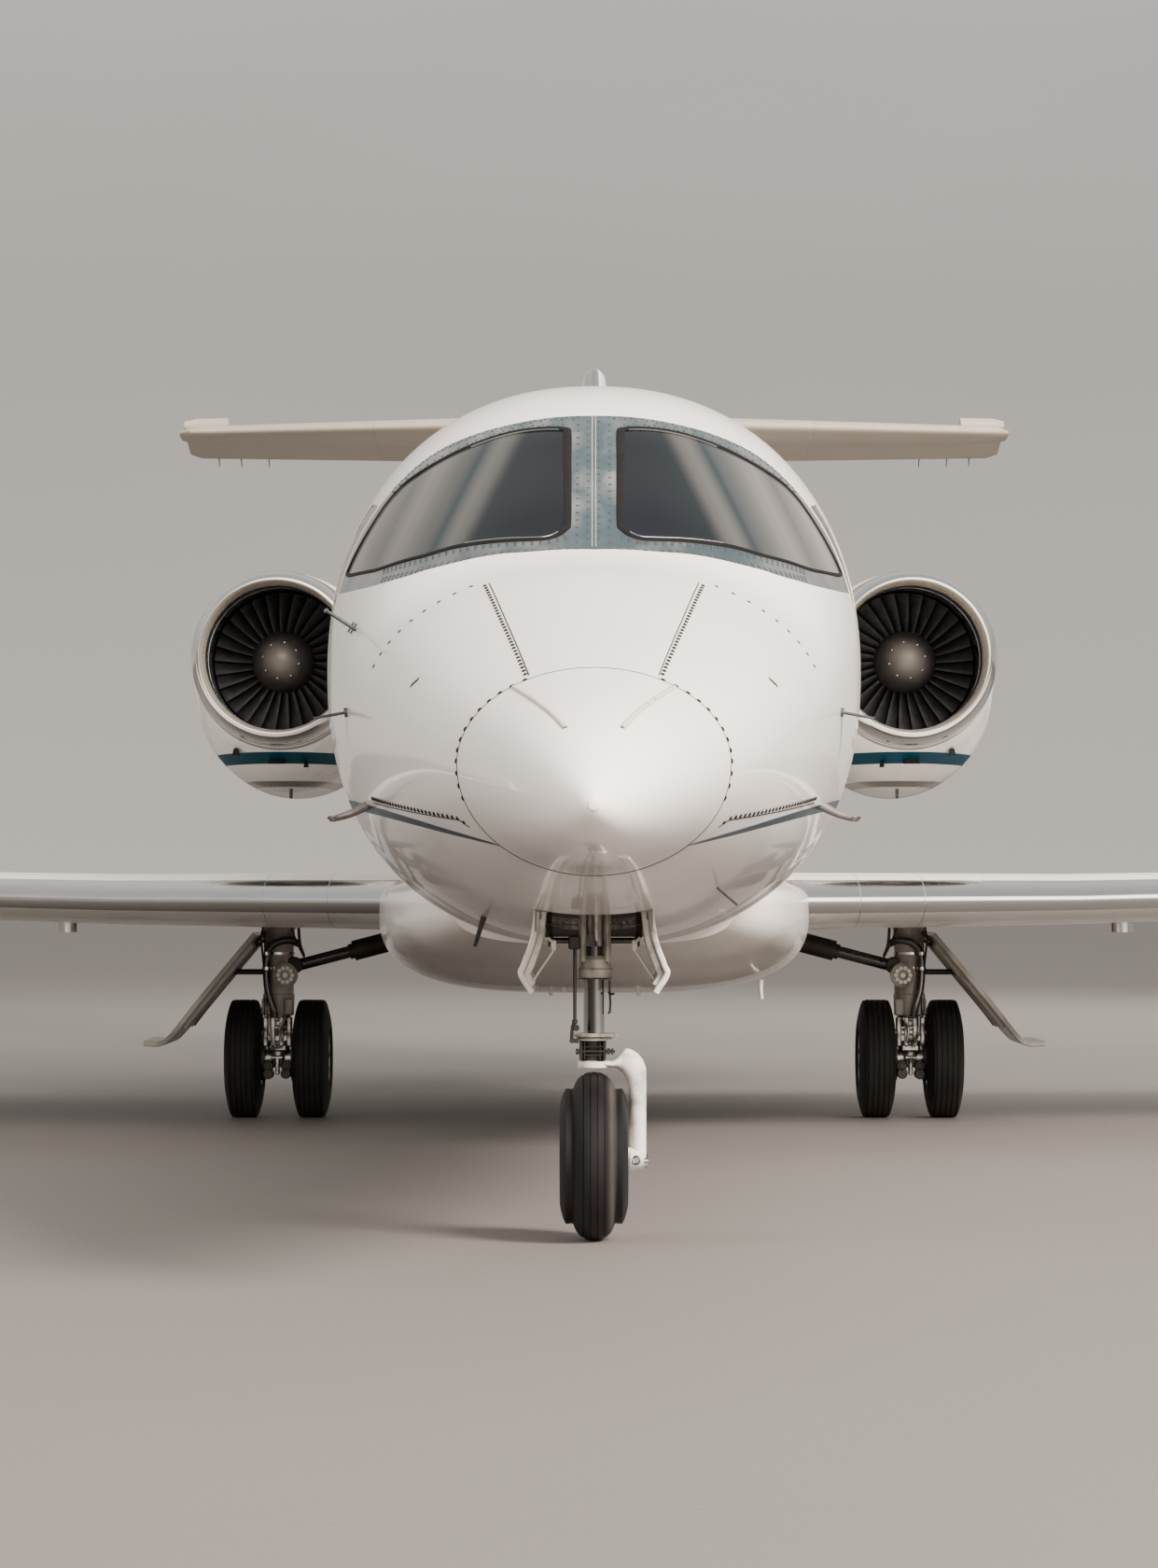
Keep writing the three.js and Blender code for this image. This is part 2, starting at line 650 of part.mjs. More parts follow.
// The pin of a hinged surface, which ends just short of the walls that hold it
function hingePin(from, to) {
  const start = new THREE.Vector3(...from);
  const end = new THREE.Vector3(...to);
  const step = end.clone().sub(start).setLength(SEAT);
  return rod(start.add(step).toArray(), end.sub(step).toArray(), HINGE_PIN);
}

function along(table, at, key = 0) {
  const curves = table[0].map((_, value) => column(table, key, value));
  return curves.map((curve) => curve(at));
}

function wingHinge(part, at) {
  const [x, edge, chord, z, thick] = along(WING, at);
  const half = foilHalf(thick, part.share) * chord;
  return { point: [x, edge + part.share * chord, z - part.drop], radius: half + RUN + 2 };
}

function foilHalf(thick, u) {
  return 5 * thick * (0.2969 * Math.sqrt(u) - 0.126 * u - 0.3516 * u ** 2
    + 0.2843 * u ** 3 - 0.1015 * u ** 4);
}

function wingPin(part) {
  return hingePin(wingHinge(part, part.inner).point, wingHinge(part, part.outer).point);
}

function wingSpace(part, gap) {
  const a = wingHinge(part, part.inner);
  const b = wingHinge(part, part.outer);
  return hingeSpace(a.point, b.point, [a.radius, b.radius], gap);
}

function buildWings() {
  const skin = loft(WING.map(wingRing));
  const well = box(GEAR_WELL.inner, GEAR_WELL.outer, GEAR_WELL.front, GEAR_WELL.rear, 0, GEAR_WELL.roof);
  const pad = rod([WING_JACK.x, WING_JACK.station, WING_JACK.foot],
    [WING_JACK.x, WING_JACK.station, WING_JACK.roof], WING_JACK.radius);
  const wing = skin.add(pad).subtract(wingSpace(FLAP, 0)).subtract(wingSpace(AILERON, 0))
    .subtract(hullOuter).subtract(fairingBody(FIT)).subtract(well);
  placePair("wing", wing, PAINT);
  placePair("flap", skin.intersect(wingSpace(FLAP, RUN)).add(wingPin(FLAP)), PAINT);
  placePair("aileron", skin.intersect(wingSpace(AILERON, RUN)).add(wingPin(AILERON)), PAINT);
}

// Engines

function cowlRing([station, radius, reach], grow = 0) {
  const ring = [];
  for (let i = 0; i < ROUND; i++) {
    const angle = 2 * Math.PI * i / ROUND;
    const down = Math.max(0, -Math.sin(angle));
    const r = radius + grow + (reach - radius) * down ** 1.6;
    ring.push(new THREE.Vector3(ENGINE.x + r * Math.cos(angle), station, ENGINE.z + r * Math.sin(angle)));
  }
  return ring;
}

function cowlBody(grow = 0) {
  return loft(COWL.map((row) => cowlRing(row, grow)));
}

function buildEngines() {
  const { x, z } = ENGINE;
  const lip = [
    [LIP.throat + 5, LIP.rear - SEAT], [LIP.throat, LIP.front + 110], [LIP.crown - 8, LIP.front + 12],
    [LIP.crown, LIP.front], [LIP.crown + 20, LIP.front + 25], [LIP.outer - 12, LIP.front + 110],
    [LIP.outer, LIP.rear - SEAT], [LIP.throat + 5, LIP.rear - SEAT],
  ];
  placePair("inlet_lip", turnedAlong(lip, x, z, ROUND), BARE);
  const duct = [
    [0, LIP.rear - 5], [LIP.throat + 5, LIP.rear - 5], [DUCT, FAN.face], [DUCT, CORE.rear],
    [NOZZLE.radius, NOZZLE.rear + 5], [0, NOZZLE.rear + 5],
  ];
  placePair("nacelle", cowlBody().subtract(turnedAlong(duct, x, z, ROUND)), PAINT);
  const core = [
    [0, CORE.front - 120], [CORE.shaft, CORE.front - 120], [CORE.shaft, CORE.front],
    [DUCT - FIT, CORE.front], [DUCT - FIT, CORE.rear - 20], [190, CORE.rear + 60], [60, CORE.cone - 80],
    [0, CORE.cone],
  ];
  placePair("engine_core", turnedAlong(core, x, z, ROUND), STEEL);
  placePair("fan", fanBody(), STEEL);
  const pylonRows = [PYLON.inner, PYLON.outer].map((at) => (
    [at, PYLON.front, PYLON.chord, PYLON.height, PYLON.thick, 0]));
  const pylon = loft(pylonRows.map(wingRing)).subtract(hullOuter).subtract(cowlBody(FIT));
  placePair("pylon", pylon, PAINT);
}

function fanBody() {
  const { x, z } = ENGINE;
  const bore = boreFor(CORE.shaft);
  const wheel = [
    [0, FAN.front], [40, FAN.front + 25], [95, FAN.front + 110], [FAN.hub, FAN.face],
    [FAN.hub, FAN.rear], [bore, FAN.rear], [bore, CORE.front - 125], [0, CORE.front - 125],
  ];
  let body = turnedAlong(wheel, x, z, ROUND);
  // Blade sections: radius, chord, stagger from the axis in degrees
  const BLADE = [[FAN.hub - 10, 110, 32], [FAN.tip, 124, 60]];
  const middle = (FAN.face + FAN.rear) / 2;
  for (let b = 0; b < FAN.blades; b++) {
    const turn = 2 * Math.PI * b / FAN.blades;
    const outward = new THREE.Vector3(Math.cos(turn), 0, Math.sin(turn));
    const sideways = new THREE.Vector3(-Math.sin(turn), 0, Math.cos(turn));
    const rings = BLADE.map(([radius, chord, stagger]) => {
      const lean = THREE.MathUtils.degToRad(stagger);
      const chordWay = Y_AXIS.clone().multiplyScalar(Math.cos(lean)).addScaledVector(sideways, Math.sin(lean));
      const thickWay = new THREE.Vector3().crossVectors(outward, chordWay);
      const centre = new THREE.Vector3(x, middle, z).addScaledVector(outward, radius);
      return [[-0.5, 0], [0, 4], [0.5, 0], [0, -4]].map(([u, t]) => (
        centre.clone().addScaledVector(chordWay, u * chord).addScaledVector(thickWay, t)));
    });
    body = body.add(loft(rings));
  }
  return body;
}

// Tail

function rudderHinge(at) {
  const [z, edge, chord, thick] = along(FIN, at);
  return { point: [0, edge + RUDDER.share * chord, z], radius: foilHalf(thick, RUDDER.share) * chord + RUN + 2 };
}

function elevatorHinge(at) {
  const [x, edge, chord, z, thick] = along(STABILIZER, at);
  return { point: [x, edge + ELEVATOR.share * chord, z],
    radius: foilHalf(thick, ELEVATOR.share) * chord + RUN + 2 };
}

function elevatorSpace(gap) {
  const a = elevatorHinge(ELEVATOR.inner);
  const b = elevatorHinge(2140);
  const slope = new THREE.Vector3(...b.point).sub(new THREE.Vector3(...a.point)).normalize();
  const past = new THREE.Vector3(...b.point).addScaledVector(slope, 300).toArray();
  const main = hingeSpace(a.point, past, [a.radius, b.radius - 4], gap);
  const c = elevatorHinge(ELEVATOR.hornInner);
  return main.add(hingeSpace(c.point, past, [c.radius, b.radius], gap, ELEVATOR.horn - gap));
}

function turnedAbout(body, from, to, degrees) {
  const start = new THREE.Vector3(...from);
  const axis = new THREE.Vector3(...to).sub(start).normalize();
  const turn = new THREE.Matrix4().makeTranslation(start)
    .multiply(new THREE.Matrix4().makeRotationAxis(axis, THREE.MathUtils.degToRad(degrees)))
    .multiply(new THREE.Matrix4().makeTranslation(start.clone().negate()));
  return solid(surface(body).applyMatrix4(turn));
}

function buildTail() {
  const hollow = loft([CABIN_END - 5, 9900, 11300, 12600].map((station) => hullRing(station, 45)));
  // Ventral fin sections down the rear of the tail cone: cant outward from straight down
  const ventral = (side) => {
    const rows = [[0, 11350, 1700], [520, 12150, 980]];
    const cant = THREE.MathUtils.degToRad(38);
    const rings = rows.map(([down, edge, chord]) => foil(0.03, chord).map(([u, h]) => {
      const x = 95 + down * Math.sin(cant) + h * chord * Math.cos(cant);
      const z = 1560 - down * Math.cos(cant) + h * chord * Math.sin(cant);
      return new THREE.Vector3(side * x, edge + u * chord, z);
    }));
    return loft(rings);
  };
  const cone = hullBody(CABIN_END, TAIL_END).add(ventral(1)).add(ventral(-1)).subtract(hollow);
  place("tail_cone", cone, PAINT);

  const finSkin = loft(FIN.map(finRing));
  const low = rudderHinge(RUDDER.foot);
  const high = rudderHinge(RUDDER.top);
  const rudderRadius = [low.radius, high.radius];
  const span = [...STABILIZER].reverse().map(([x, ...rest]) => [-x, ...rest])
    .concat(STABILIZER.slice(1));
  const plane = (grow) => loft(span.map(([x, edge, chord, z, thick]) => (
    wingRing([x, edge - grow, chord + 2 * grow, z, thick + 2 * grow / chord, 0]))));
  const outer = hullBody(8000, TAIL_END, -SEAT);
  const fin = finSkin.subtract(hingeSpace(low.point, high.point, rudderRadius, 0)).subtract(outer)
    .subtract(plane(FIT));
  place("fin", fin, PAINT);
  const rudder = finSkin.intersect(hingeSpace(low.point, high.point, rudderRadius, RUN))
    .add(hingePin(low.point, high.point));
  place("rudder", rudder, PAINT);

  const space = elevatorSpace(0);
  place("stabilizer", plane(0).subtract(space).subtract(mirrored(space)), PAINT);
  const a = elevatorHinge(ELEVATOR.inner).point;
  const b = elevatorHinge(2140).point;
  const elevator = plane(0).intersect(elevatorSpace(RUN)).add(hingePin(a, b));
  placePair("elevator", turnedAbout(elevator, a, b, -ELEVATOR.droop), PAINT);
}

// Wheels and legs

// Half of a tyre section from the bead outwards, then mirrored: radius, side distance
function tyreProfile(radius, width, bead) {
  const half = width / 2;
  const side = [
    [bead, half - 12], [(radius + bead) / 2, half], [radius - 28, half - 10],
    [radius - 7, half - 32], [radius, half - 56],
  ];
  return [...side, ...side.map(([r, x]) => [r, -x]).reverse(), side[0]];
}

function buildMainGear() {
  const { x, station, tyre } = MAIN;
  const axle = GROUND + tyre;
  for (const [name, offset] of [["outer", MAIN.spacing / 2], ["inner", -MAIN.spacing / 2]]) {
    const profile = tyreProfile(tyre, MAIN.width, MAIN.bead);
    const body = turnedAcross(profile, station, axle, x + offset, WHEEL_SIDES);
    place(`main_tyre_left_${name}`, body, TYRE);
    place(`main_tyre_right_${name}`, mirrored(body), TYRE);
  }
  const rimOut = MAIN.bead - SEAT;
  const half = MAIN.width / 2 - 12;
  const rim = [
    [0, half - 24], [64, half - 24], [rimOut - 12, half], [rimOut, half],
    [rimOut, -half], [rimOut - 12, -half], [64, 24 - half], [0, 24 - half],
  ];
  const wheels = turnedAcross(rim, station, axle, x + MAIN.spacing / 2, WHEEL_SIDES)
    .add(turnedAcross(rim, station, axle, x - MAIN.spacing / 2, WHEEL_SIDES))
    .add(shaft([x - MAIN.spacing / 2, station, axle], [x + MAIN.spacing / 2, station, axle], MAIN_AXLE));
  placePair("main_wheel", wheels, STEEL);

  const { radius, top, foot, fitting } = MAIN_STRUT;
  const bore = shaft([x - 80, station, axle], [x + 80, station, axle], boreFor(MAIN_AXLE));
  const lamp = rod([LIGHT.x, LIGHT.front, LIGHT.z], [LIGHT.x, station, LIGHT.z], LIGHT.radius);
  const brace = rod([BRACE.outer[0], station, BRACE.outer[1]], [BRACE.inner[0], station, BRACE.inner[1]],
    BRACE.radius);
  const actuator = rod([960, station, 658], [BRACE.inner[0], station, BRACE.inner[1]], 36);
  const head = rod([BRACE.inner[0], station, BRACE.inner[1] - 20],
    [BRACE.inner[0], station, GEAR_WELL.roof - SEAT], 34);
  const doorShare = (MAIN_DOOR.top[1] - DOOR_LINK.z) / (MAIN_DOOR.top[1] - MAIN_DOOR.foot[1]);
  const doorX = THREE.MathUtils.lerp(MAIN_DOOR.top[0], MAIN_DOOR.foot[0], doorShare);
  const link = rod([x, station, DOOR_LINK.z], [doorX, station, DOOR_LINK.z], DOOR_LINK.radius)
    .subtract(mainDoor(SEAT));
  const strut = rod([x, station, foot], [x, station, top], radius)
    .add(rod([x, station, axle - 30], [x, station, foot + 20], fitting))
    .add(lamp).add(brace).add(actuator).add(head).add(link).subtract(bore);
  placePair("main_strut", strut, STEEL);
  placePair("main_gear_door", mainDoor(0), PAINT);
}

function mainDoor(grow) {
  const { top, foot, lip, front, rear } = MAIN_DOOR;
  const t = DOOR_THICK / 2 + grow;
  const shape = new THREE.Shape();
  shape.moveTo(top[0] - t, top[1] - 8);
  shape.lineTo(foot[0] - t, foot[1] - 10);
  shape.lineTo(lip[0], lip[1] - 14);
  shape.lineTo(lip[0], lip[1] + 6);
  shape.lineTo(foot[0] + t + 2, foot[1] + 14);
  shape.lineTo(top[0] + t, top[1] + 8);
  shape.closePath();
  return throughFront(shape, front - grow, rear + grow);
}

function buildNoseGear() {
  const { station, tyre, width, chine, bead } = NOSE;
  const axle = GROUND + tyre;
  const half = width / 2;
  const side = [
    [bead, half - 14], [tyre - 74, half], [tyre - 40, chine],
    [tyre - 34, half - 8], [tyre - 10, half - 30], [tyre, half - 54],
  ];
  const profile = [...side, ...side.map(([r, x]) => [r, -x]).reverse(), side[0]];
  place("nose_tyre", turnedAcross(profile, station, axle, 0, WHEEL_SIDES), TYRE);
  const bore = boreFor(NOSE_AXLE);
  const rimOut = bead - SEAT;
  const rim = [
    [bore, 52], [50, 52], [56, 36], [rimOut - 10, 58], [rimOut, 58],
    [rimOut, -58], [rimOut - 10, -58], [56, -36], [50, -52], [bore, -52], [bore, 52],
  ];
  place("nose_wheel", turnedAcross(rim, station, axle, 0, WHEEL_SIDES), STEEL);

  const arm = FORK_ARM;
  const path = new THREE.CatmullRomCurve3([
    new THREE.Vector3(0, station, FORK_HUB.foot + 20),
    new THREE.Vector3(arm.x * 0.55, station, arm.crown - 20),
    new THREE.Vector3(arm.x * 0.85, station, arm.crown - 18),
    new THREE.Vector3(arm.x, station, arm.crown - 70),
    new THREE.Vector3(arm.x, station, axle + 80),
    new THREE.Vector3(arm.x, station, axle - 10),
  ]);
  const section = new THREE.Shape().absarc(0, 0, arm.radius, 0, 2 * Math.PI);
  const armBody = solid(new THREE.ExtrudeGeometry(section,
    { steps: 10, extrudePath: path, curveSegments: 4 }));
  const fork = shaft([0, station, PISTON.foot - 10], [0, station, PISTON.top], PISTON.radius)
    .add(rod([0, station, COLLAR.foot], [0, station, PISTON.foot], COLLAR.radius))
    .add(rod([0, station, FORK_HUB.foot], [0, station, COLLAR.foot + 5], FORK_HUB.radius))
    .add(armBody)
    .add(rod([arm.x - arm.radius, station, axle], [arm.x + 24, station, axle], 32))
    .add(shaft([-50, station, axle], [arm.x, station, axle], NOSE_AXLE));
  place("nose_fork", fork, PAINT);
  const casting = rod([0, station, CASTING.foot], [0, station, BAY.roof - SEAT], CASTING.radius)
    .add(rod([SEAT - BAY.half, station, 1050], [BAY.half - SEAT, station, 1050], 30))
    .subtract(shaft([0, station, 0], [0, station, PISTON.top + 5], boreFor(PISTON.radius)));
  place("nose_strut", casting, STEEL);

  const [top, knee, middle, foot] = NOSE_DOOR;
  const shape = new THREE.Shape();
  shape.moveTo(top[0] - NOSE_DOOR_THICK, top[1]);
  for (const [x, z] of [top, knee, middle, foot]) shape.lineTo(x, z);
  for (const [x, z] of [foot, middle, knee]) shape.lineTo(x - NOSE_DOOR_THICK, z);
  shape.closePath();
  const leaf = throughFront(shape, BAY.front + 30, BAY.rear - 30);
  placePair("nose_gear_door", leaf, PAINT);
}

buildRadome();
buildNoseSection();
buildCockpit();
buildCabin();
buildInterior();
buildFairing();
buildWings();
buildEngines();
buildTail();
buildMainGear();
buildNoseGear();

export default jet;
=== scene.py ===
import bmesh
import bpy
import numpy as np
from mathutils.geometry import delaunay_2d_cdt
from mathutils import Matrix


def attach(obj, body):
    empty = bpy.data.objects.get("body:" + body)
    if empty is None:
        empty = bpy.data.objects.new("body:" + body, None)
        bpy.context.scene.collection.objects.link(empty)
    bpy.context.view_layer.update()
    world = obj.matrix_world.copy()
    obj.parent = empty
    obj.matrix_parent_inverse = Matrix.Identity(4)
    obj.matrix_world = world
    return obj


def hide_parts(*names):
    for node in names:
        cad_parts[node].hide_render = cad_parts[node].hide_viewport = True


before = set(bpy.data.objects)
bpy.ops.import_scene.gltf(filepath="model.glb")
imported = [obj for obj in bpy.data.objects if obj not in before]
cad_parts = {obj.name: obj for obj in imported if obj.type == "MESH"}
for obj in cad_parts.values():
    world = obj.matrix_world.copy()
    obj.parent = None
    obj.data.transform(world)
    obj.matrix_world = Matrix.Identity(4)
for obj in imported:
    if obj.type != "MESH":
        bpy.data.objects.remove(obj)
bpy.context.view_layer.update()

# The studio
# The jet stands on a pale, slightly mottled floor under a soft dome of light and two large lamps.
# The camera is 9.56 m ahead of the nose tip and 0.914 m above the floor, as the photograph's was.

MIDDLE = 7.415
FOCAL_PIXELS, PICTURE_HEIGHT, SENSOR = 4760, 1680, 36.0
CAMERA_PLACE = (0, -16.975, 0.914)
CAMERA_TURN = (np.radians(91.324), 0, np.radians(0.193))
FLOOR_HALF = 400.0
FLOOR_COLOUR = (0.118, 0.107, 0.098)
SKY_STOPS = [(0.0, (0.2, 0.18, 0.16)), (0.47, (0.3, 0.27, 0.24)), (0.5, (0.66, 0.6, 0.54)),
    (0.56, (0.54, 0.5, 0.46)), (0.7, (0.78, 0.74, 0.7)), (1.0, (0.56, 0.56, 0.55))]
GLOW_AIM, GLOW_COLOUR = (0.32, -0.76, 0.56), (5.6, 5.1, 4.6)
BANK_COLOUR = (0.1, 0.09, 0.08)


class Wire:
    """A socket in a material. Sums on wires and numbers add Math nodes."""

    def __init__(self, socket):
        self.socket = socket
        self.tree = socket.id_data

    def node(self, kind, settings=None, values=None, out=0):
        """Adds a node of a kind, sets it, fills its sockets by name or number and gives an output."""
        made = self.tree.nodes.new("ShaderNode" + kind)
        for key, value in (settings or {}).items():
            if key == "stops":
                ramp = made.color_ramp.elements
                while len(ramp) < len(value):
                    ramp.new(1)
                for stop, (place, colour) in zip(ramp, value):
                    stop.position, stop.color = place, colour
            else:
                setattr(made, key, value)
        for key, value in (values or {}).items():
            if isinstance(value, Wire):
                self.tree.links.new(value.socket, made.inputs[key])
            else:
                made.inputs[key].default_value = value
        return Wire(made.outputs[out])

    def math(self, operation, *values):
        """A Math node on wires and numbers."""
        return self.node("Math", {"operation": operation}, dict(enumerate(values)))

    __add__ = __radd__ = lambda self, other: self.math("ADD", self, other)
    __mul__ = __rmul__ = lambda self, other: self.math("MULTIPLY", self, other)
    __sub__ = lambda self, other: self.math("SUBTRACT", self, other)
    __rsub__ = lambda self, other: self.math("SUBTRACT", other, self)
    __truediv__ = lambda self, other: self.math("DIVIDE", self, other)
    __abs__ = lambda self: self.math("ABSOLUTE", self)

    def over(self, edge, blur=0.0005):
        """1 where the wire is over the edge, 0 where it is under, with a short ramp between."""
        return self.node("MapRange", {"interpolation_type": "SMOOTHSTEP"},
            {"Value": self, "From Min": edge - blur, "From Max": edge + blur})

    def under(self, edge, blur=0.0005):
        """1 where the wire is under the edge."""
        return 1 - self.over(edge, blur)

    def near(self, centre, half, blur=0.0005):
        """1 where the wire is within half of the centre."""
        return abs(self - centre).under(half, blur)

    def largest(self, other):
        """The larger of the two."""
        return self.math("MAXIMUM", self, other)

    def noise(self, scale, detail=3, stretch=(1, 1, 1)):
        """Cloudy noise from 0 to 1 on the vector, finer or coarser along each axis by the stretch."""
        place = self.node("Mapping", {}, {"Vector": self, "Scale": stretch})
        return self.node("TexNoise", {}, {"Vector": place, "Scale": scale, "Detail": detail})

    def mix(self, low, high):
        """The colour low where the wire is 0 and high where it is 1."""
        low, high = (tone if isinstance(tone, Wire) else (*tone, 1) for tone in (low, high))
        return self.node("Mix", {"data_type": "RGBA"}, {0: self, 6: low, 7: high}, out=2)

    def ramp(self, *stops):
        """Colours at places from 0 to 1, blended between."""
        return self.node("ValToRGB", {"stops": [(place, (*tone, 1)) for place, tone in stops]}, {0: self})

    def range(self, low, high):
        """0 to 1 carried to low and high, and held between them."""
        return self.node("MapRange", {}, {"Value": self, "To Min": low, "To Max": high})

    def bump(self, distance, strength=1.0):
        """The normal of a surface raised by the wire times the distance."""
        return self.node("Bump", {}, {"Height": self, "Distance": distance, "Strength": strength})


def material(name, **constants):
    """Turns a recipe into the principled material of that name: constants on some of its sockets,
    and on others what the recipe makes of the place on the object and its axes."""
    def build(recipe):
        made = bpy.data.materials.new(name)
        made.use_nodes = True
        tree = made.node_tree
        inputs = tree.nodes["Principled BSDF"].inputs
        for key, value in constants.items():
            inputs[key.replace("_", " ")].default_value = value
        place = Wire(tree.nodes.new("ShaderNodeTexCoord").outputs["Object"])
        axes = [place.node("SeparateXYZ", {}, {0: place}, out=k) for k in range(3)]
        for key, wire in recipe(place, *axes).items():
            tree.links.new(wire.socket, inputs[key.replace("_", " ")])
        return made
    return build


def placed(name, data):
    """A new object in the scene."""
    made = bpy.data.objects.new(name, data)
    bpy.context.scene.collection.objects.link(made)
    return made


@material("floor")
def floor_finish(place, x, y, z):
    """Pale concrete, a little cloudy and finely gritty."""
    cloud = place.noise(0.35, 5)
    grain = place.noise(60, 4)
    return {"Base_Color": cloud.range(0.3, 0.7).mix(FLOOR_COLOUR, (0.15, 0.137, 0.126)),
        "Roughness": grain.range(0.55, 0.8),
        "Normal": grain.bump(0.002, 0.4)}


def floor():
    """A square at height 0."""
    corners = np.array([(-1, -1, 0), (1, -1, 0), (1, 1, 0), (-1, 1, 0)]) * FLOOR_HALF
    mesh = bpy.data.meshes.new("studio_floor")
    mesh.from_pydata(corners.tolist(), [], [(0, 1, 2, 3)])
    mesh.materials.append(floor_finish)
    placed("studio_floor", mesh)


def lamp(name, place, target, size, power, colour):
    """A soft round lamp at a place, facing its target. The dome's glow stands for it in gloss."""
    data = bpy.data.lights.new(name, "AREA")
    data.shape = "DISK"
    data.size, data.energy, data.color = size, power, colour
    made = placed(name, data)
    made.location, made.visible_glossy = place, False
    facing = np.array(target, float) - place
    flat = np.hypot(facing[0], facing[1])
    made.rotation_euler = (np.arctan2(flat, -facing[2]), 0, np.arctan2(-facing[0], facing[1]))


def sky():
    """A dome whose colour depends on height, with soft clouds and a wide glow where the sun would be
    and a dark bank low down on the camera's side, which gives polished metal something to mirror."""
    world = bpy.data.worlds.new("soft_dome")
    world.use_nodes = True
    tree = world.node_tree
    aim = Wire(tree.nodes.new("ShaderNodeTexCoord").outputs["Generated"])
    height = aim.node("SeparateXYZ", {}, {0: aim}, out=2)
    cloud = aim.noise(2.2, 4, (1, 1, 3)) - 0.5
    share = height * 0.5 + 0.5
    tint = (share + cloud * 0.16 * height.over(0.1, 0.1)).ramp(*SKY_STOPS)
    across, along = (aim.node("SeparateXYZ", {}, {0: aim}, out=k) for k in (0, 1))
    facing = across * GLOW_AIM[0] + along * GLOW_AIM[1] + height * GLOW_AIM[2]
    glow = facing.over(0.8, 0.19)
    bank = height.near(0.02, 0.05, 0.06) * along.under(-0.2, 0.3)
    tint = (glow * glow).mix((bank * 0.85).mix(tint, BANK_COLOUR), GLOW_COLOUR)
    tree.links.new(tint.socket, tree.nodes["Background"].inputs["Color"])
    tree.nodes["Background"].inputs["Strength"].default_value = 1.0
    bpy.context.scene.world = world


floor()
sky()
lamp("key_lamp", (12, -16, 13), (0, -4, 1.2), 7.0, 14500, (1.0, 0.93, 0.86))
lamp("side_lamp", (-14, -9, 9), (0, -1, 1.2), 9.0, 1500, (1.0, 0.95, 0.9))
lamp("rear_lamp", (6, 16, 11), (0, 4, 2), 9.0, 3600, (1.0, 0.96, 0.91))
camera = placed("camera", bpy.data.cameras.new("camera"))
camera.data.sensor_fit = "VERTICAL"
camera.data.sensor_height = SENSOR
camera.data.lens = FOCAL_PIXELS / PICTURE_HEIGHT * SENSOR
camera.data.clip_end = 1200
camera.location, camera.rotation_euler = CAMERA_PLACE, CAMERA_TURN
bpy.context.scene.camera = camera

# The radome
# A glass-fibre nose cone over the weather radar, painted warm white and screwed to the first frame.
# Its sections, as the whole fuselage's, are two half ovals that meet at the widest height.

WALL, SEAM, HAIRLINE = 0.06, 0.0016, 0.0003
RADOME_END, NOSE_END, COCKPIT_END, CABIN_END, TAIL_END = 0.8, 2.35, 3.8, 8.6, 13.9
STRIPE_START, STRIPE_RISE, STRIPE_RUN, STRIPE_END, STRIPE_HALF = 1.0095, 0.19, 1.9, 12.2, 0.0112
MERGED, SLIVER, ALONG_FIELD = 2e-5, 1e-6, 0.9      # distances, and agreement of two directions

# station, half width, height of widest point, crown, keel, power above, power below
LINES = np.array([
        (0.0, 0.0, 1.09, 1.09, 1.09, 2.0, 2.0),
        (0.04, 0.05, 1.09, 1.145, 1.045, 2.0, 2.0),
        (0.15, 0.112, 1.11, 1.215, 1.005, 2.0, 2.0),
        (0.4, 0.205, 1.15, 1.315, 0.97, 2.0, 2.0),
        (0.8, 0.32, 1.2, 1.425, 0.94, 2.0, 2.0),
        (1.4, 0.465, 1.28, 1.577, 0.875, 2.0, 2.1),
        (2.0, 0.58, 1.36, 1.727, 0.82, 2.0, 2.2),
        (2.35, 0.64, 1.41, 1.815, 0.795, 2.0, 2.2),
        (2.7, 0.692, 1.45, 1.98, 0.775, 2.1, 2.2),
        (3.05, 0.735, 1.49, 2.14, 0.758, 2.2, 2.2),
        (3.35, 0.768, 1.52, 2.278, 0.748, 2.2, 2.2),
        (3.8, 0.803, 1.555, 2.41, 0.737, 2.2, 2.3),
        (4.3, 0.822, 1.575, 2.475, 0.73, 2.2, 2.3),
        (5.0, 0.825, 1.58, 2.495, 0.73, 2.2, 2.3),
        (8.6, 0.825, 1.58, 2.495, 0.73, 2.2, 2.3),
        (9.6, 0.775, 1.625, 2.475, 0.865, 2.2, 2.2),
        (10.8, 0.64, 1.735, 2.4, 1.12, 2.1, 2.1),
        (12.0, 0.455, 1.845, 2.285, 1.385, 2.0, 2.0),
        (13.2, 0.25, 1.93, 2.135, 1.665, 2.0, 2.0),
        (13.9, 0.105, 1.97, 2.03, 1.86, 2.0, 2.0),
        ])


def steady(x, y, at):
    """Cubic pieces through points, each slope the harmonic mean of its two neighbours' rises."""
    rise = np.diff(y) / np.diff(x)
    a, b = rise[:-1], rise[1:]
    same = a * b > 0
    inner = np.where(same, 2 * a * b / np.where(same, a + b, 1), 0)
    slope = np.concatenate([rise[:1], inner, rise[-1:]])
    i = np.clip(np.searchsorted(x, at) - 1, 0, len(x) - 2)
    h = x[i + 1] - x[i]
    t = np.clip((at - x[i]) / h, 0, 1)
    return ((1 + 2 * t) * (1 - t) ** 2 * y[i] + t * (1 - t) ** 2 * h * slope[i]
        + t * t * (3 - 2 * t) * y[i + 1] + t * t * (t - 1) * h * slope[i + 1])


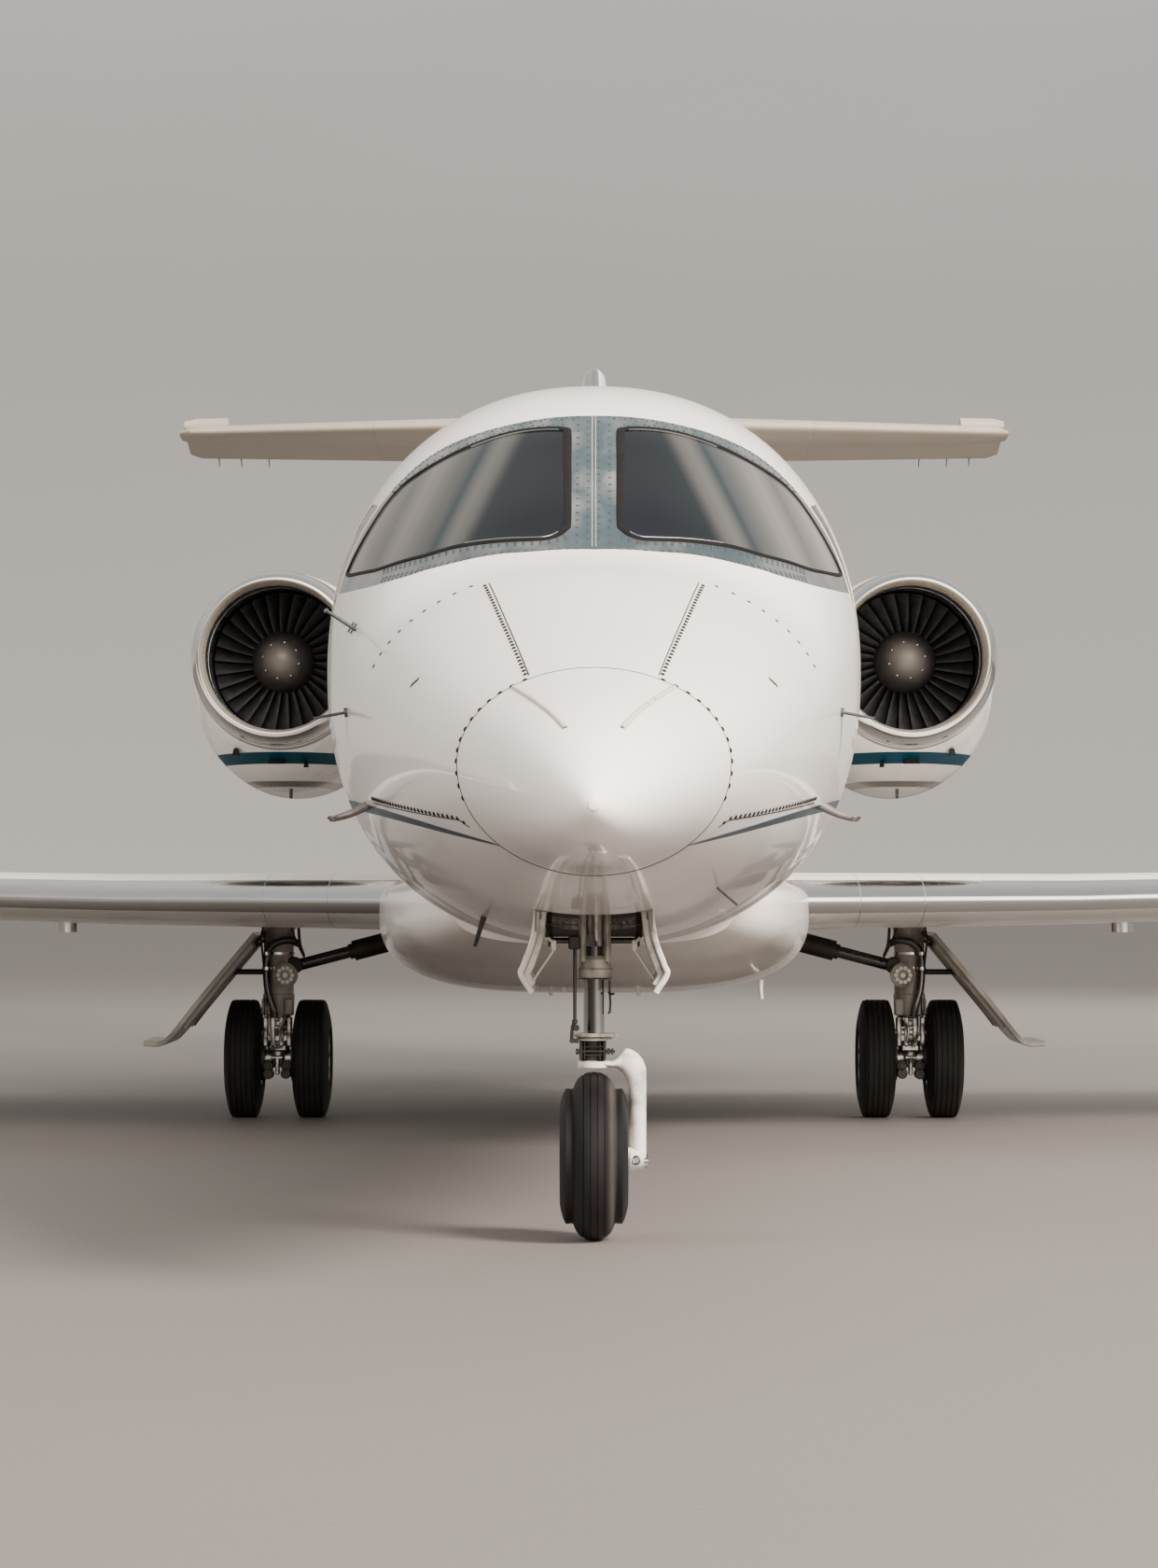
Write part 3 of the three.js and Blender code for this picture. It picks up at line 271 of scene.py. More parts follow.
def faired(values, spread=40):
    """The line averaged over a bell curve, after turning it about both of its ends."""
    reach = 4 * spread
    bell = np.exp(-0.5 * (np.arange(-reach, reach + 1) / spread) ** 2)
    head = 2 * values[0] - values[reach:0:-1]
    tail = 2 * values[-1] - values[-2:-reach - 2:-1]
    return np.convolve(np.concatenate([head, values, tail]), bell / bell.sum(), mode="valid")


ROOTS = np.linspace(0, np.sqrt(TAIL_END), 6001)
FAIRED = [faired(steady(np.sqrt(LINES[:, 0]), LINES[:, k], ROOTS)) for k in range(1, 7)]


def section(station):
    """Half width, widest height, crown, keel and the two powers at each station."""
    return [np.interp(np.sqrt(np.maximum(station, 0)), ROOTS, line) for line in FAIRED]


def hull(station, angle, inset=0.0):
    """Skin points: side distance by cosine and height by sine, each raised to 2 / power."""
    half, middle, crown, keel, above, below = section(station)
    c, s = np.cos(angle), np.sin(angle)
    power = np.where(s >= 0, above, below)
    reach = np.maximum(np.where(s >= 0, crown - middle, middle - keel) - inset, 0)
    x = np.maximum(half - inset, 0) * np.sign(c) * np.abs(c) ** (2 / power)
    z = middle + reach * np.sign(s) * np.abs(s) ** (2 / power)
    return np.stack(np.broadcast_arrays(x, station - MIDDLE, z), -1)


def unit(vectors):
    """Each vector at a length of one."""
    return vectors / np.linalg.norm(vectors, axis=-1, keepdims=True)


def oval_at(station, z):
    """Half width, widest height, and the power and reach of the half oval that a height lies in."""
    half, middle, crown, keel, above, below = section(station)
    upper = z >= middle
    return half, middle, np.where(upper, above, below), np.where(upper, crown - middle, middle - keel)


def outside(station, x, z):
    """Over zero outside the skin, under zero inside: the two powered shares of reach, less one."""
    half, middle, power, reach = oval_at(station, z)
    return (np.abs(x) / half) ** power + (np.abs(z - middle) / reach) ** power - 1


def hull_normal(points):
    """Outward directions: the rate at which outside() grows, by small steps along each axis."""
    step = 0.002
    x, z = points[..., 0], points[..., 2]
    station = np.maximum(points[..., 1] + MIDDLE, 3 * step)
    slopes = [outside(station, x + step, z) - outside(station, x - step, z),
        outside(station + step, x, z) - outside(station - step, x, z),
        outside(station, x, z + step) - outside(station, x, z - step)]
    return unit(np.stack(slopes, -1))


def loft(points, closed=False, caps=False):
    """A surface through rows of points. Rows may close on themselves; caps close both ends."""
    rows, count = points.shape[:2]
    index = np.arange(rows * count).reshape(rows, count)
    near, far = (index, np.roll(index, -1, 1)) if closed else (index[:, :-1], index[:, 1:])
    faces = np.stack([near[:-1], far[:-1], far[1:], near[1:]], -1).reshape(-1, 4)
    points = points.reshape(-1, 3)
    if caps:
        hubs = np.stack([points[index[0]].mean(0), points[index[-1]].mean(0)])
        ends = [np.column_stack([row, np.roll(row, -1), np.full((count, 2), len(points) + k)])
            for k, row in enumerate((index[0], index[-1]))]
        points, faces = np.vstack([points, hubs]), np.vstack([faces, *ends])
    return points, faces


def joined(*shapes):
    """Several shapes as one."""
    starts = np.cumsum([0] + [len(points) for points, _ in shapes])
    faces = [faces + start for (_, faces), start in zip(shapes, starts)]
    return np.vstack([points for points, _ in shapes]), np.vstack(faces)


def both(shape):
    """The shape and its image on the other side of the jet."""
    points, faces = shape
    return joined(shape, (points * (-1, 1, 1), faces[:, ::-1]))


def mesh_of(name, shape, marks={}, merge=True):
    """A mesh of the shape: values marked on its points, doubles merged, faces turned outwards."""
    mesh, solid = bpy.data.meshes.new(name), bmesh.new()
    mesh.from_pydata(shape[0].tolist(), [], [list(dict.fromkeys(face)) for face in shape[1].tolist()])
    for key, values in marks.items():
        mesh.attributes.new(key, "FLOAT", "POINT").data.foreach_set("value", np.asarray(values, np.float32))
    solid.from_mesh(mesh)
    if merge:
        bmesh.ops.remove_doubles(solid, verts=solid.verts, dist=MERGED)
        bmesh.ops.dissolve_degenerate(solid, edges=solid.edges, dist=SLIVER)
    bmesh.ops.recalc_face_normals(solid, faces=solid.faces)
    solid.to_mesh(mesh)
    solid.free()
    return mesh


def listed(items, what, width=1, kind=np.float32):
    """A value, or a row of values, of each corner, point or face of a mesh."""
    values = np.empty(len(items) * width, kind)
    items.foreach_get(what, values)
    return values.reshape(-1, width) if width > 1 else values


def piece(name, shape, finish, slot, body="airframe", stands_for=None, sharp=32, field=None, lining=None,
        marks=None):
    """An object of the shape: doubles merged, faces turned outwards, creased at sharp turns.

    A field of true directions smooths the faces that lie along it. A second material lines the
    faces that look inwards. Marks are values at the points that a material reads by name.
    """
    mesh = mesh_of(name, shape, marks or {})
    mesh.polygons.foreach_set("use_smooth", np.ones(len(mesh.polygons), bool))
    mesh.set_sharp_from_angle(angle=np.radians(sharp))
    mesh.materials.append(finish)
    if field is not None:
        corner = listed(mesh.loops, "vertex_index", 1, np.int32)
        size = listed(mesh.polygons, "loop_total", 1, np.int32)
        flat = np.repeat(listed(mesh.polygons, "normal", 3), size, axis=0)
        true = field(listed(mesh.vertices, "co", 3)[corner].astype(float))
        along = (flat * true).sum(1)
        true = np.where(along[:, None] > 0, true, -true)
        own = listed(mesh.corner_normals, "vector", 3)
        chosen = np.where(np.abs(along)[:, None] > ALONG_FIELD, true, own)
        mesh.normals_split_custom_set(chosen.tolist())
        if lining is not None:
            mesh.materials.append(lining)
            starts = np.concatenate([[0], np.cumsum(size)[:-1]])
            mesh.polygons.foreach_set("material_index", (along[starts] < ALONG_FIELD).astype(np.int32))
    made = placed(name, mesh)
    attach(made, body)
    if stands_for:
        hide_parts(stands_for)
    return made


def pair(name, shape, finish, slot, body="airframe", stands_for="", **more):
    """A piece and its image on the other side. In the names, # stands for left or right."""
    return [piece(name.replace("#", side), (shape[0] * (turn, 1, 1), shape[1]), finish, slot,
            body.replace("#", side), stands_for.replace("#", side), **more)
        for side, turn in (("left", 1), ("right", -1))]


def stripe_height(y):
    """Height of the stripe's middle line: it climbs from the radome and levels off at the door."""
    aft = (y + (MIDDLE - RADOME_END)).largest(0)
    return STRIPE_START + STRIPE_RISE * (1 - aft.math("POWER", 2.718, aft * (-1 / STRIPE_RUN)))


@material("white_enamel", Coat_Roughness=0.04, IOR=1.5)
def paint(place, x, y, z):
    """White enamel with a faint orange peel, dust patches low down mixed with a painted brown reflection of the
    ground, and the dark teal stripe.
    """
    aft = y + (MIDDLE - RADOME_END)
    thick = aft.math("POWER", (aft * 0.71).largest(0), 0.4) * STRIPE_HALF
    stripe = (thick - abs(z - stripe_height(y))).over(0, 0.0007) * aft.over(0, 0.001) * y.under(STRIPE_END - MIDDLE)
    tint = place.noise(1.3, 4).mix((0.88, 0.835, 0.795), (0.93, 0.895, 0.865))
    # Below 1 m, cloudy dust patches; below 0.78 m, an even brown that is a painted reflection of the ground. Both
    # tint the lower hull tan.
    grime_and_ground_reflection = place.noise(3.0, 6, (1, 0.35, 1)).over(0.55, 0.2) * z.under(1.0, 0.25)
    tint = (grime_and_ground_reflection * 0.35 + z.under(0.78, 0.14) * 0.3).mix(tint, (0.5, 0.44, 0.38))
    return {"Base_Color": stripe.mix(tint, (0.004, 0.045, 0.085)),
        "Roughness": place.noise(2.5, 5).range(0.18, 0.3) + stripe * 0.1, "Metallic": stripe * 0.75,
        "Coat_Weight": (1 - stripe) * 0.6, "Normal": place.noise(260, 2).bump(0.00006, 0.5)}




def whole_turn(count):
    """Even angles round a circle."""
    return np.linspace(0, 2 * np.pi, count, endpoint=False)


def hull_band(front, rear, count, sides=160):
    """The skin's rings between two stations, closed at both ends."""
    roots = np.linspace(np.sqrt(front), np.sqrt(rear), count)
    angle = whole_turn(sides)
    return loft(hull(roots[:, None] ** 2, angle[None]), closed=True, caps=True)


piece("radome_skin", hull_band(0.0022, RADOME_END - SEAM, 90), paint, "composite_white",
    stands_for="radome", field=hull_normal)

# The nose section
# Riveted aluminium skins over frames, in one barrel from the radome to the windshield, with the
# nose gear's bay let in from below. Its walls are ribbed sheet.

BAY_HALF, BAY_FRONT, BAY_REAR, BAY_ROOF = 0.146, 1.74, 2.3, 1.18
ARC = 0.72              # metres of skin to a radian, to draw a section flat


def inside_loops(points, loops):
    """True where a point lies inside an odd number of the loops' edges, counted to its right."""
    odd = np.zeros(len(points), bool)
    for loop in loops:
        a, b = loop, np.roll(loop, -1, 0)
        cross = (a[None, :, 1] > points[:, 1, None]) != (b[None, :, 1] > points[:, 1, None])
        rise = np.where(b[:, 1] == a[:, 1], 1, b[:, 1] - a[:, 1])
        at = a[None, :, 0] + (points[:, 1, None] - a[None, :, 1]) * (b - a)[None, :, 0] / rise
        odd ^= (cross & (at > points[:, 0, None])).sum(1) % 2 == 1
    return odd


def dense(loop, step):
    """The loop with points added along its edges, none further apart than the step."""
    loop = np.asarray(loop, float)
    ends = np.roll(loop, -1, 0)
    parts = np.maximum(np.ceil(np.linalg.norm(ends - loop, axis=1) / step), 1).astype(int)
    return np.vstack([a + (b - a) * np.arange(n)[:, None] / n for a, b, n in zip(loop, ends, parts)])


def panel(loops, step=0.028, depth=WALL, chart=hull, both_sides=True, lift=0.0):
    """A skin panel: flat outlines (station, angle x ARC) filled with even triangles and wrapped on
    the hull, with a second skin at the depth below it and walls round every edge."""
    loops = [dense(loop, step * 0.7) for loop in loops]
    edge = np.vstack(loops)
    starts = np.cumsum([0] + [len(loop) for loop in loops])
    rings = [(np.arange(len(loop)) + start, np.roll(np.arange(len(loop)), -1) + start)
        for loop, start in zip(loops, starts)]
    low, high = edge.min(0), edge.max(0)
    across = np.arange(low[0] + step / 2, high[0], step)
    up = np.arange(low[1] + step / 2, high[1], step * 0.87)
    u, v = np.meshgrid(across, up)
    u = u + (np.arange(len(up)) % 2)[:, None] * step / 2
    inner = np.column_stack([u.ravel(), v.ravel()])
    inner = inner[inside_loops(inner, loops)]
    gap = np.concatenate([np.linalg.norm(part[:, None] - edge[None], axis=2).min(1)
            for part in np.array_split(inner, max(len(inner) // 2000, 1))])
    flat = np.vstack([edge, inner[gap > step * 0.45]])
    edges = [pair for near, far in rings for pair in zip(near.tolist(), far.tolist())]
    flat, _, faces, *_ = delaunay_2d_cdt([tuple(p) for p in flat.tolist()], edges, [], 0, 1e-9)
    flat = np.array([tuple(p) for p in flat])
    faces = np.array(faces)
    faces = faces[inside_loops(flat[faces].mean(1), loops)]
    outer = chart(flat[:, 0], flat[:, 1] / ARC, -lift)
    under = chart(flat[:, 0], flat[:, 1] / ARC, depth)
    count = len(flat)
    pairs = np.sort(np.vstack([faces[:, [0, 1]], faces[:, [1, 2]], faces[:, [2, 0]]]), axis=1)
    pairs, uses = np.unique(pairs, axis=0, return_counts=True)
    rim = pairs[uses == 1]
    if both_sides:
        rim = rim[np.abs(outer[rim, 0]).max(1) > 1e-5]
    walls = np.column_stack([rim[:, 0], rim[:, 1], rim[:, 1] + count, rim[:, 0] + count])
    solid = [faces[:, [0, 1, 2, 2]], faces[:, [2, 1, 0, 0]] + count, walls]
    shape = (np.vstack([outer, under]), np.vstack(solid))
    return both(shape) if both_sides else shape


def angle_at_side(station, x, upper=False):
    """Angle round the section where the skin is x from the middle, above or below."""
    half, *_, above, below = section(station)
    power = above if upper else below
    angle = np.arccos(np.clip(x / half, 0, 1) ** (power / 2))
    return angle if upper else -angle


def angle_at_height(station, z):
    """Angle round the section where the left skin is at a height."""
    _, middle, power, reach = oval_at(station, z)
    return np.sign(z - middle) * np.arcsin(np.clip(np.abs(z - middle) / reach, 0, 1) ** (power / 2))


UNDER, OVER = -np.pi / 2 * ARC, np.pi / 2 * ARC
front, rear = RADOME_END + SEAM, NOSE_END - HAIRLINE
bay_side = np.linspace(BAY_FRONT, BAY_REAR, 24)
bay_edge = np.column_stack([bay_side, angle_at_side(bay_side, BAY_HALF) * ARC])
nose_outline = [(front, UNDER), (BAY_FRONT, UNDER), *bay_edge, (BAY_REAR, UNDER), (rear, UNDER),
    (rear, OVER), (front, OVER)]
piece("nose_skin", panel([nose_outline], depth=0.03), paint, "paint_white", field=hull_normal,
    stands_for="nose_section")


def clouded(name, cloud, tones, rough, grain=None, **constants):
    """A material of cloudy noise alone. A cloud is its scale, detail and stretch. Tones are two
    colours or the stops of a ramp. Rough is low, high and, where it differs, its own cloud; grain
    is the height and strength of a bump and its cloud."""
    @material(name, **constants)
    def made(place, x, y, z):
        wire = place.noise(*cloud)
        given = {"Base_Color": wire.mix(*tones) if len(tones) == 2 else wire.ramp(*tones),
            "Roughness": (place.noise(*rough[2:]) if rough[2:] else wire).range(*rough[:2])}
        if grain:
            given["Normal"] = place.noise(*grain[2:]).bump(*grain[:2])
        return given
    return made


def box_shape(low, high, bevel=0.0):
    """A box between two corners (side, station, height), its upright edges and rims bevelled."""
    low, high = np.array(low) - (0, MIDDLE, 0), np.array(high) - (0, MIDDLE, 0)
    rows = []
    for z, cut in ((low[2], bevel), (low[2] + bevel, 0), (high[2] - bevel, 0), (high[2], bevel)):
        a, b = low + cut, high - cut
        rows.append([(a[0] + bevel, a[1], z), (b[0] - bevel, a[1], z), (b[0], a[1] + bevel, z),
                (b[0], b[1] - bevel, z), (b[0] - bevel, b[1], z), (a[0] + bevel, b[1], z),
                (a[0], b[1] - bevel, z), (a[0], a[1] + bevel, z)])
    return loft(np.array(rows), closed=True, caps=True)


bay_metal = clouded("bay_sheet", (6, 5), ((0.1, 0.1, 0.095), (0.26, 0.25, 0.23)), (0.35, 0.7, 11, 4),
    (0.0008, 0.5, 30, 3), Metallic=0.4)     # zinc-primed sheet, grey and oily


def bay_lining():
    """Four thin walls, a roof and a row of ribs on each side wall."""
    low, high, t = 0.8, BAY_ROOF + 0.02, 0.004
    y0, y1, h = BAY_FRONT, BAY_REAR, BAY_HALF
    parts = [box_shape((-h - t, y0 - t, low), (-h, y1 + t, high)),
        box_shape((-h, y0 - t, low + 0.05), (h, y0, high)),
        box_shape((-h, y1, low - 0.02), (h, y1 + t, high)),
        box_shape((-h, y0, high - t), (h, y1, high))]
    parts.append((parts[0][0] * (-1, 1, 1), parts[0][1][:, ::-1]))
    for y in np.linspace(y0 + 0.05, y1 - 0.05, 6):
        rib = box_shape((h - 0.012, y - 0.004, low + 0.03), (h, y + 0.004, high - 0.01), 0.001)
        parts.append(both(rib))
    for z in (0.9, 1.02, 1.12):
        parts.append(box_shape((-h, y1 - 0.012, z - 0.004), (h, y1, z + 0.004), 0.001))
    return joined(*parts)


piece("nose_bay_lining", bay_lining(), bay_metal, "bare_metal", sharp=20)

# The windshield frame
# One polished and riveted aluminium frame round both panes, with a wide post between them. Its
# foot sweeps down and back to the side windows, and its rear edge crosses the crown.

PANE_CORNER = 0.012
# points of the foot and of the rear edge, from the middle outwards: station, side distance
FRAME_FOOT = np.array([(2.353, 0.0), (2.38, 0.158), (2.42, 0.248), (2.478, 0.375), (2.529, 0.446),
        (2.617, 0.531), (2.804, 0.621), (3.1, 0.697), (3.43, 0.75)])
FRAME_FOOT_HEIGHT = np.array([1.815, 1.813, 1.81, 1.794, 1.78, 1.761, 1.751, 1.757, 1.773])
FRAME_REAR = np.array([(3.383, 0.0), (3.388, 0.13), (3.394, 0.24), (3.417, 0.334), (3.441, 0.405),
        (3.462, 0.46), (3.469, 0.52), (3.46, 0.59), (3.452, 0.625)])
# outline of the left pane in the view from ahead: side distance, height
PANE = np.array([(0.0635, 2.068), (0.0655, 2.222), (0.08, 2.241), (0.133, 2.246), (0.24, 2.235), (0.347, 2.201),
        (0.455, 2.15), (0.548, 2.094), (0.57, 2.073), (0.601, 2.037), (0.643, 1.97), (0.68, 1.905),
        (0.712, 1.842), (0.721, 1.82), (0.7, 1.806), (0.651, 1.799), (0.591, 1.799), (0.481, 1.817),
        (0.378, 1.839), (0.275, 1.849), (0.149, 1.851), (0.099, 1.862), (0.072, 1.884), (0.0625, 1.911)])


def station_seen(x, z, low=1.2, high=4.4):
    """Station where a line of sight from straight ahead at (x, z) meets the skin, by halving."""
    low, high = np.full(np.shape(x), low), np.full(np.shape(x), high)
    for _ in range(36):
        middle = (low + high) / 2
        out = outside(middle, x, z) > 0
        low, high = np.where(out, middle, low), np.where(out, high, middle)
    return (low + high) / 2


def angle_seen(station, x, z):
    """Angle round the section of the skin point at (x, z)."""
    half, middle, power, reach = oval_at(station, z)
    c = (np.abs(x) / half) ** (power / 2) * np.sign(x)
    s = (np.abs(z - middle) / reach) ** (power / 2) * np.sign(z - middle)
    return np.arctan2(s, c)


def curve_through(points, count):
    """A Catmull-Rom curve through the points."""
    points = np.asarray(points, float)
    padded = np.vstack([2 * points[0] - points[1], points, 2 * points[-1] - points[-2]])
    t = np.linspace(0, len(points) - 1, count)
    i = np.minimum(t.astype(int), len(points) - 2)
    t = (t - i)[:, None]
    a, b, c, d = padded[i], padded[i + 1], padded[i + 2], padded[i + 3]
    return 0.5 * (2 * b + (c - a) * t + (2 * a - 5 * b + 4 * c - d) * t ** 2
        + (3 * b - a - 3 * c + d) * t ** 3)


def offset(loop, distance):
    """The closed outline moved inwards by the distance, each point along its own bisector."""
    before, after = loop - np.roll(loop, 1, 0), np.roll(loop, -1, 0) - loop
    along = unit(unit(before) + unit(after))
    side = np.column_stack([-along[:, 1], along[:, 0]])
    turn = np.sign((loop[:, 0] * np.roll(loop[:, 1], -1) - np.roll(loop[:, 0], -1) * loop[:, 1]).sum())
    return loop + side * distance * turn


def drawn_flat(x, z):
    """Points seen from ahead, as (station, angle x ARC)."""
    station = station_seen(x, z)
    return np.column_stack([station, angle_seen(station, x, z) * ARC])


def walked_along(line):
    """Distance walked along a line at each of its points."""
    return np.concatenate([[0], np.cumsum(np.linalg.norm(np.diff(line, axis=0), axis=1))])


def softened(loop, radius, step=0.004):
    """The closed outline as even points, averaged over a bell curve so that its corners round."""
    around = np.vstack([loop, loop[:1]])
    walked = walked_along(around)
    at = np.linspace(0, walked[-1], int(walked[-1] / step), endpoint=False)
    even = np.column_stack([np.interp(at, walked, around[:, k]) for k in (0, 1)])
    reach = int(2 * radius / step)
    bell = np.exp(-0.5 * (np.arange(-reach, reach + 1) * step / radius / 0.55) ** 2)
    longer = np.vstack([even[-reach:], even, even[:reach]])
    return np.column_stack([np.convolve(longer[:, k], bell / bell.sum(), "valid") for k in (0, 1)])


def pane_edge(shrink=0.0):
    """The left pane's outline on the skin, moved inwards by the shrink."""
    knots = drawn_flat(*PANE.T)
    loop = curve_through(np.vstack([knots, knots[:1]]), 260)[:-1]
    return offset(softened(loop, PANE_CORNER), shrink)


@material("brushed_frame", Metallic=0.85)
def frame_metal(place, x, y, z):
    """Brushed aluminium with long streaks that run up and down; their teal, grey and dark tones, the dark patches
    and the darker foot are painted reflections.
    """
    streak, cloud, outer = place.noise(12, 6, (1, 0.25, 0.25)), place.noise(6, 5), abs(x).over(0.45, 0.12)
    streak = streak * (1 - outer) + outer * (cloud * 0.35 + 0.36)
    # The teal, grey and dark tones of the streaks are painted reflections over the brushed grain.
    tint = streak.ramp((0.34, (0.13, 0.21, 0.24)), (0.5, (0.31, 0.34, 0.35)), (0.66, (0.56, 0.56, 0.55)))
    # Darker teal patches, and a darker foot below 1.84 m: painted reflections too.
    patch = cloud.over(0.52, 0.1) * (1 - outer) * 0.8
    tint = (z.under(1.84, 0.05) * (1 - outer) * 0.6).mix(patch.mix(tint, (0.11, 0.18, 0.21)), (0.06, 0.1, 0.115))
    return {"Base_Color": tint,
        "Roughness": streak.range(0.22, 0.42),
        "Normal": (place.noise(160, 2, (1, 0.05, 0.05)) * (1 - outer)).bump(0.0001, 0.5)}



foot = curve_through(np.column_stack([FRAME_FOOT, FRAME_FOOT_HEIGHT]), 60)
foot_line = np.column_stack([foot[:, 0], angle_seen(foot[:, 0], foot[:, 1], foot[:, 2]) * ARC])
foot_line[0, 1] = OVER
aft = curve_through(FRAME_REAR, 40)
aft_line = np.column_stack([aft[:, 0], angle_at_side(aft[:, 0], aft[:, 1], upper=True) * ARC])
frame_loop = np.vstack([foot_line, aft_line[::-1]])
piece("windshield_frame_skin", panel([frame_loop, pane_edge()], step=0.02, depth=0.03), frame_metal,
    "bare_metal", field=hull_normal, stands_for="windshield_frame")

# The windshield
# Two curved, laminated and slightly smoky panes, each bedded in a black rubber gasket and held by
# countersunk rivets round the frame. Bright retaining strips show along the top and foot.

GASKET_WIDTH, GASKET_NARROW, GASKET_HEIGHT = 0.021, 0.012, 0.004
PANE_THICK, PANE_SUNK = 0.02, 0.002
RIVET, RIVET_HEIGHT, RIVET_STEP, ROW_SHIFT, POST_STEP = 0.005, 0.0024, 0.027, 0.011, 0.024
RIVETS_FROM, RIVETS_TO = 0.075, 0.59               # side distances between which rivets show


def bead(loop, width, height, chart=hull):
    """A strip along the outline, inwards from it: a rounded section rising from under the skin."""
    width = np.broadcast_to(width, len(loop))[:, None]
    across = [share * width for share in (0, 0, 0.12, 0.35, 0.65, 0.88, 1, 1)]
    rise = np.array([-4, 0.2, 0.8, 1, 1, 0.8, 0.2, -4]) * height
    rows = [chart(*(offset(loop, d) / (1, ARC)).T, -h) for d, h in zip(across, rise)]
    return loft(np.array(rows + rows[:1]), closed=True)


def rod(path, radius, sides=12):
    """A tube: rings of the radius square to the path, closed at both ends."""
    path = np.asarray(path, float)
    along = unit(np.gradient(path, axis=0))
    flat = np.linalg.svd(path - path.mean(0))[2][2]
    side = unit(np.cross(along, flat))
    up = np.cross(side, along)
    turn = whole_turn(sides)[None, :, None]
    radius = np.broadcast_to(radius, len(path))[:, None, None]
    rings = path[:, None] + radius * (np.cos(turn) * side[:, None] + np.sin(turn) * up[:, None])
    return loft(rings, closed=True, caps=True)


def studs(points, normals, radius, height, sides=6):
    """Round heads: for each point a buried ring, a ring at half height and a top, on its normal."""
    points, normals = np.asarray(points), np.asarray(normals)
    side = unit(np.cross(normals, np.eye(3)[np.abs(normals).argmin(1)]))
    up = np.cross(normals, side)
    turn = whole_turn(sides)[None, :, None]
    circle = np.cos(turn) * side[:, None] + np.sin(turn) * up[:, None]
    lifted = lambda share: (points + normals * height * share)[:, None]
    rings = [lifted(-1.0) + circle * radius, lifted(0.35) + circle * radius,
        lifted(0.9) + circle * radius * 0.6]
    heads = np.concatenate([np.concatenate(rings, 1), lifted(-1.0), lifted(1.0)], 1)
    k = np.arange(sides)
    n = (k + 1) % sides
    base, top = np.full(sides, 3 * sides), np.full(sides, 3 * sides + 1)
    one = np.vstack([np.column_stack([k, n, n + sides, k + sides]),
            np.column_stack([k + sides, n + sides, n + 2 * sides, k + 2 * sides]),
            np.column_stack([k, base, base, n]),
            np.column_stack([k + 2 * sides, n + 2 * sides, top, top])])
    starts = np.arange(len(points))[:, None, None] * heads.shape[1]
    return heads.reshape(-1, 3), (one[None] + starts).reshape(-1, 4)


def spaced(line, gap, start=0.0):
    """Even points along an open line, a gap apart."""
    line = np.asarray(line, float)
    walked = walked_along(line)
    at = np.arange(start + gap / 2, walked[-1], gap)
    return np.column_stack([np.interp(at, walked, line[:, k]) for k in range(line.shape[1])])


def on_hull(flat):
    """Skin points and outward directions of flat (station, angle x ARC) points."""
    points = hull(flat[:, 0], flat[:, 1] / ARC)
    return points, hull_normal(points)


def two_sides(points, normals):
    """The points and directions, and their images on the other side."""
    return np.vstack([points, points * (-1, 1, 1)]), np.vstack([normals, normals * (-1, 1, 1)])


def gasket_width(loop):
    """Wide along the post, narrowing towards the outer end of the pane."""
    side = hull(loop[:, 0], loop[:, 1] / ARC)[:, 0]
    return np.interp(side, (0.0, 0.34, 0.66), (GASKET_WIDTH, GASKET_WIDTH, GASKET_NARROW))


@material("windshield_glass", IOR=1.22)
def windshield_glass(place, x, y, z):
    """Navy near the post, then slanting pale and dark streaks painted into the colour as reflections of clouds,
    paler towards the outer end.
    """
    slant = abs(x) + (z - 2.0) * 0.377
    slant = slant + (place.node("CombineXYZ", {}, {0: slant}).noise(9, 4) - 0.5) * 0.1
    # The slanting pale and dark bands in this ramp are painted reflections of the sky.
    tint = slant.ramp((0.16, (0.002, 0.003, 0.006)), (0.27, (0.003, 0.006, 0.008)), (0.34, (0.066, 0.064, 0.06)),
        (0.39, (0.01, 0.018, 0.022)), (0.45, (0.062, 0.062, 0.06)), (0.5, (0.115, 0.11, 0.104)),
        (0.55, (0.055, 0.056, 0.054)), (0.62, (0.17, 0.155, 0.142)), (0.75, (0.26, 0.24, 0.225)))
    return {"Base_Color": tint, "Roughness": slant.range(0.05, 0.14), "Alpha": slant.range(0.94, 0.96)}


@material("smoky_glass_painted_reflections", IOR=1.52, Coat_Weight=1.0, Coat_Roughness=0.02)
def glass(place, x, y, z):
    """Smoky glass with soft upright pale streaks painted in as reflections."""
    # The pale upright streaks are painted reflections.
    streak = place.noise(5.5, 3, (1, 0.5, 0.1)).over(0.5, 0.22)
    return {"Base_Color": streak.mix((0.008, 0.011, 0.015), (0.09, 0.095, 0.095)),
        "Roughness": streak.range(0.02, 0.12),
        "Alpha": streak.range(0.8, 0.92)}


sealant = clouded("sealant", (60, 4), ((0.42, 0.35, 0.28), (0.62, 0.54, 0.45)), (0.4, 0.7))
# On rivet and screw heads this dark is painted shade round each head; the vanes and icing probe that share it are
# dark metal.
rivet_metal = clouded("rivet_heads", (60, 2), ((0.015, 0.018, 0.02), (0.1, 0.105, 0.105)), (0.2, 0.4), Metallic=0.3)
rubber = clouded("black_rubber", (20, 4), ((0.0035, 0.0035, 0.004), (0.01, 0.0095, 0.009)), (0.5, 0.75, 35, 3),
    (0.0002, 0.4, 300, 2), IOR=1.3)
bright = clouded("polished_aluminium", (14, 6), ((0.66, 0.65, 0.63), (0.8, 0.79, 0.77)), (0.08, 0.22),
    (0.002, 0.25, 3.5, 2), Metallic=1.0)

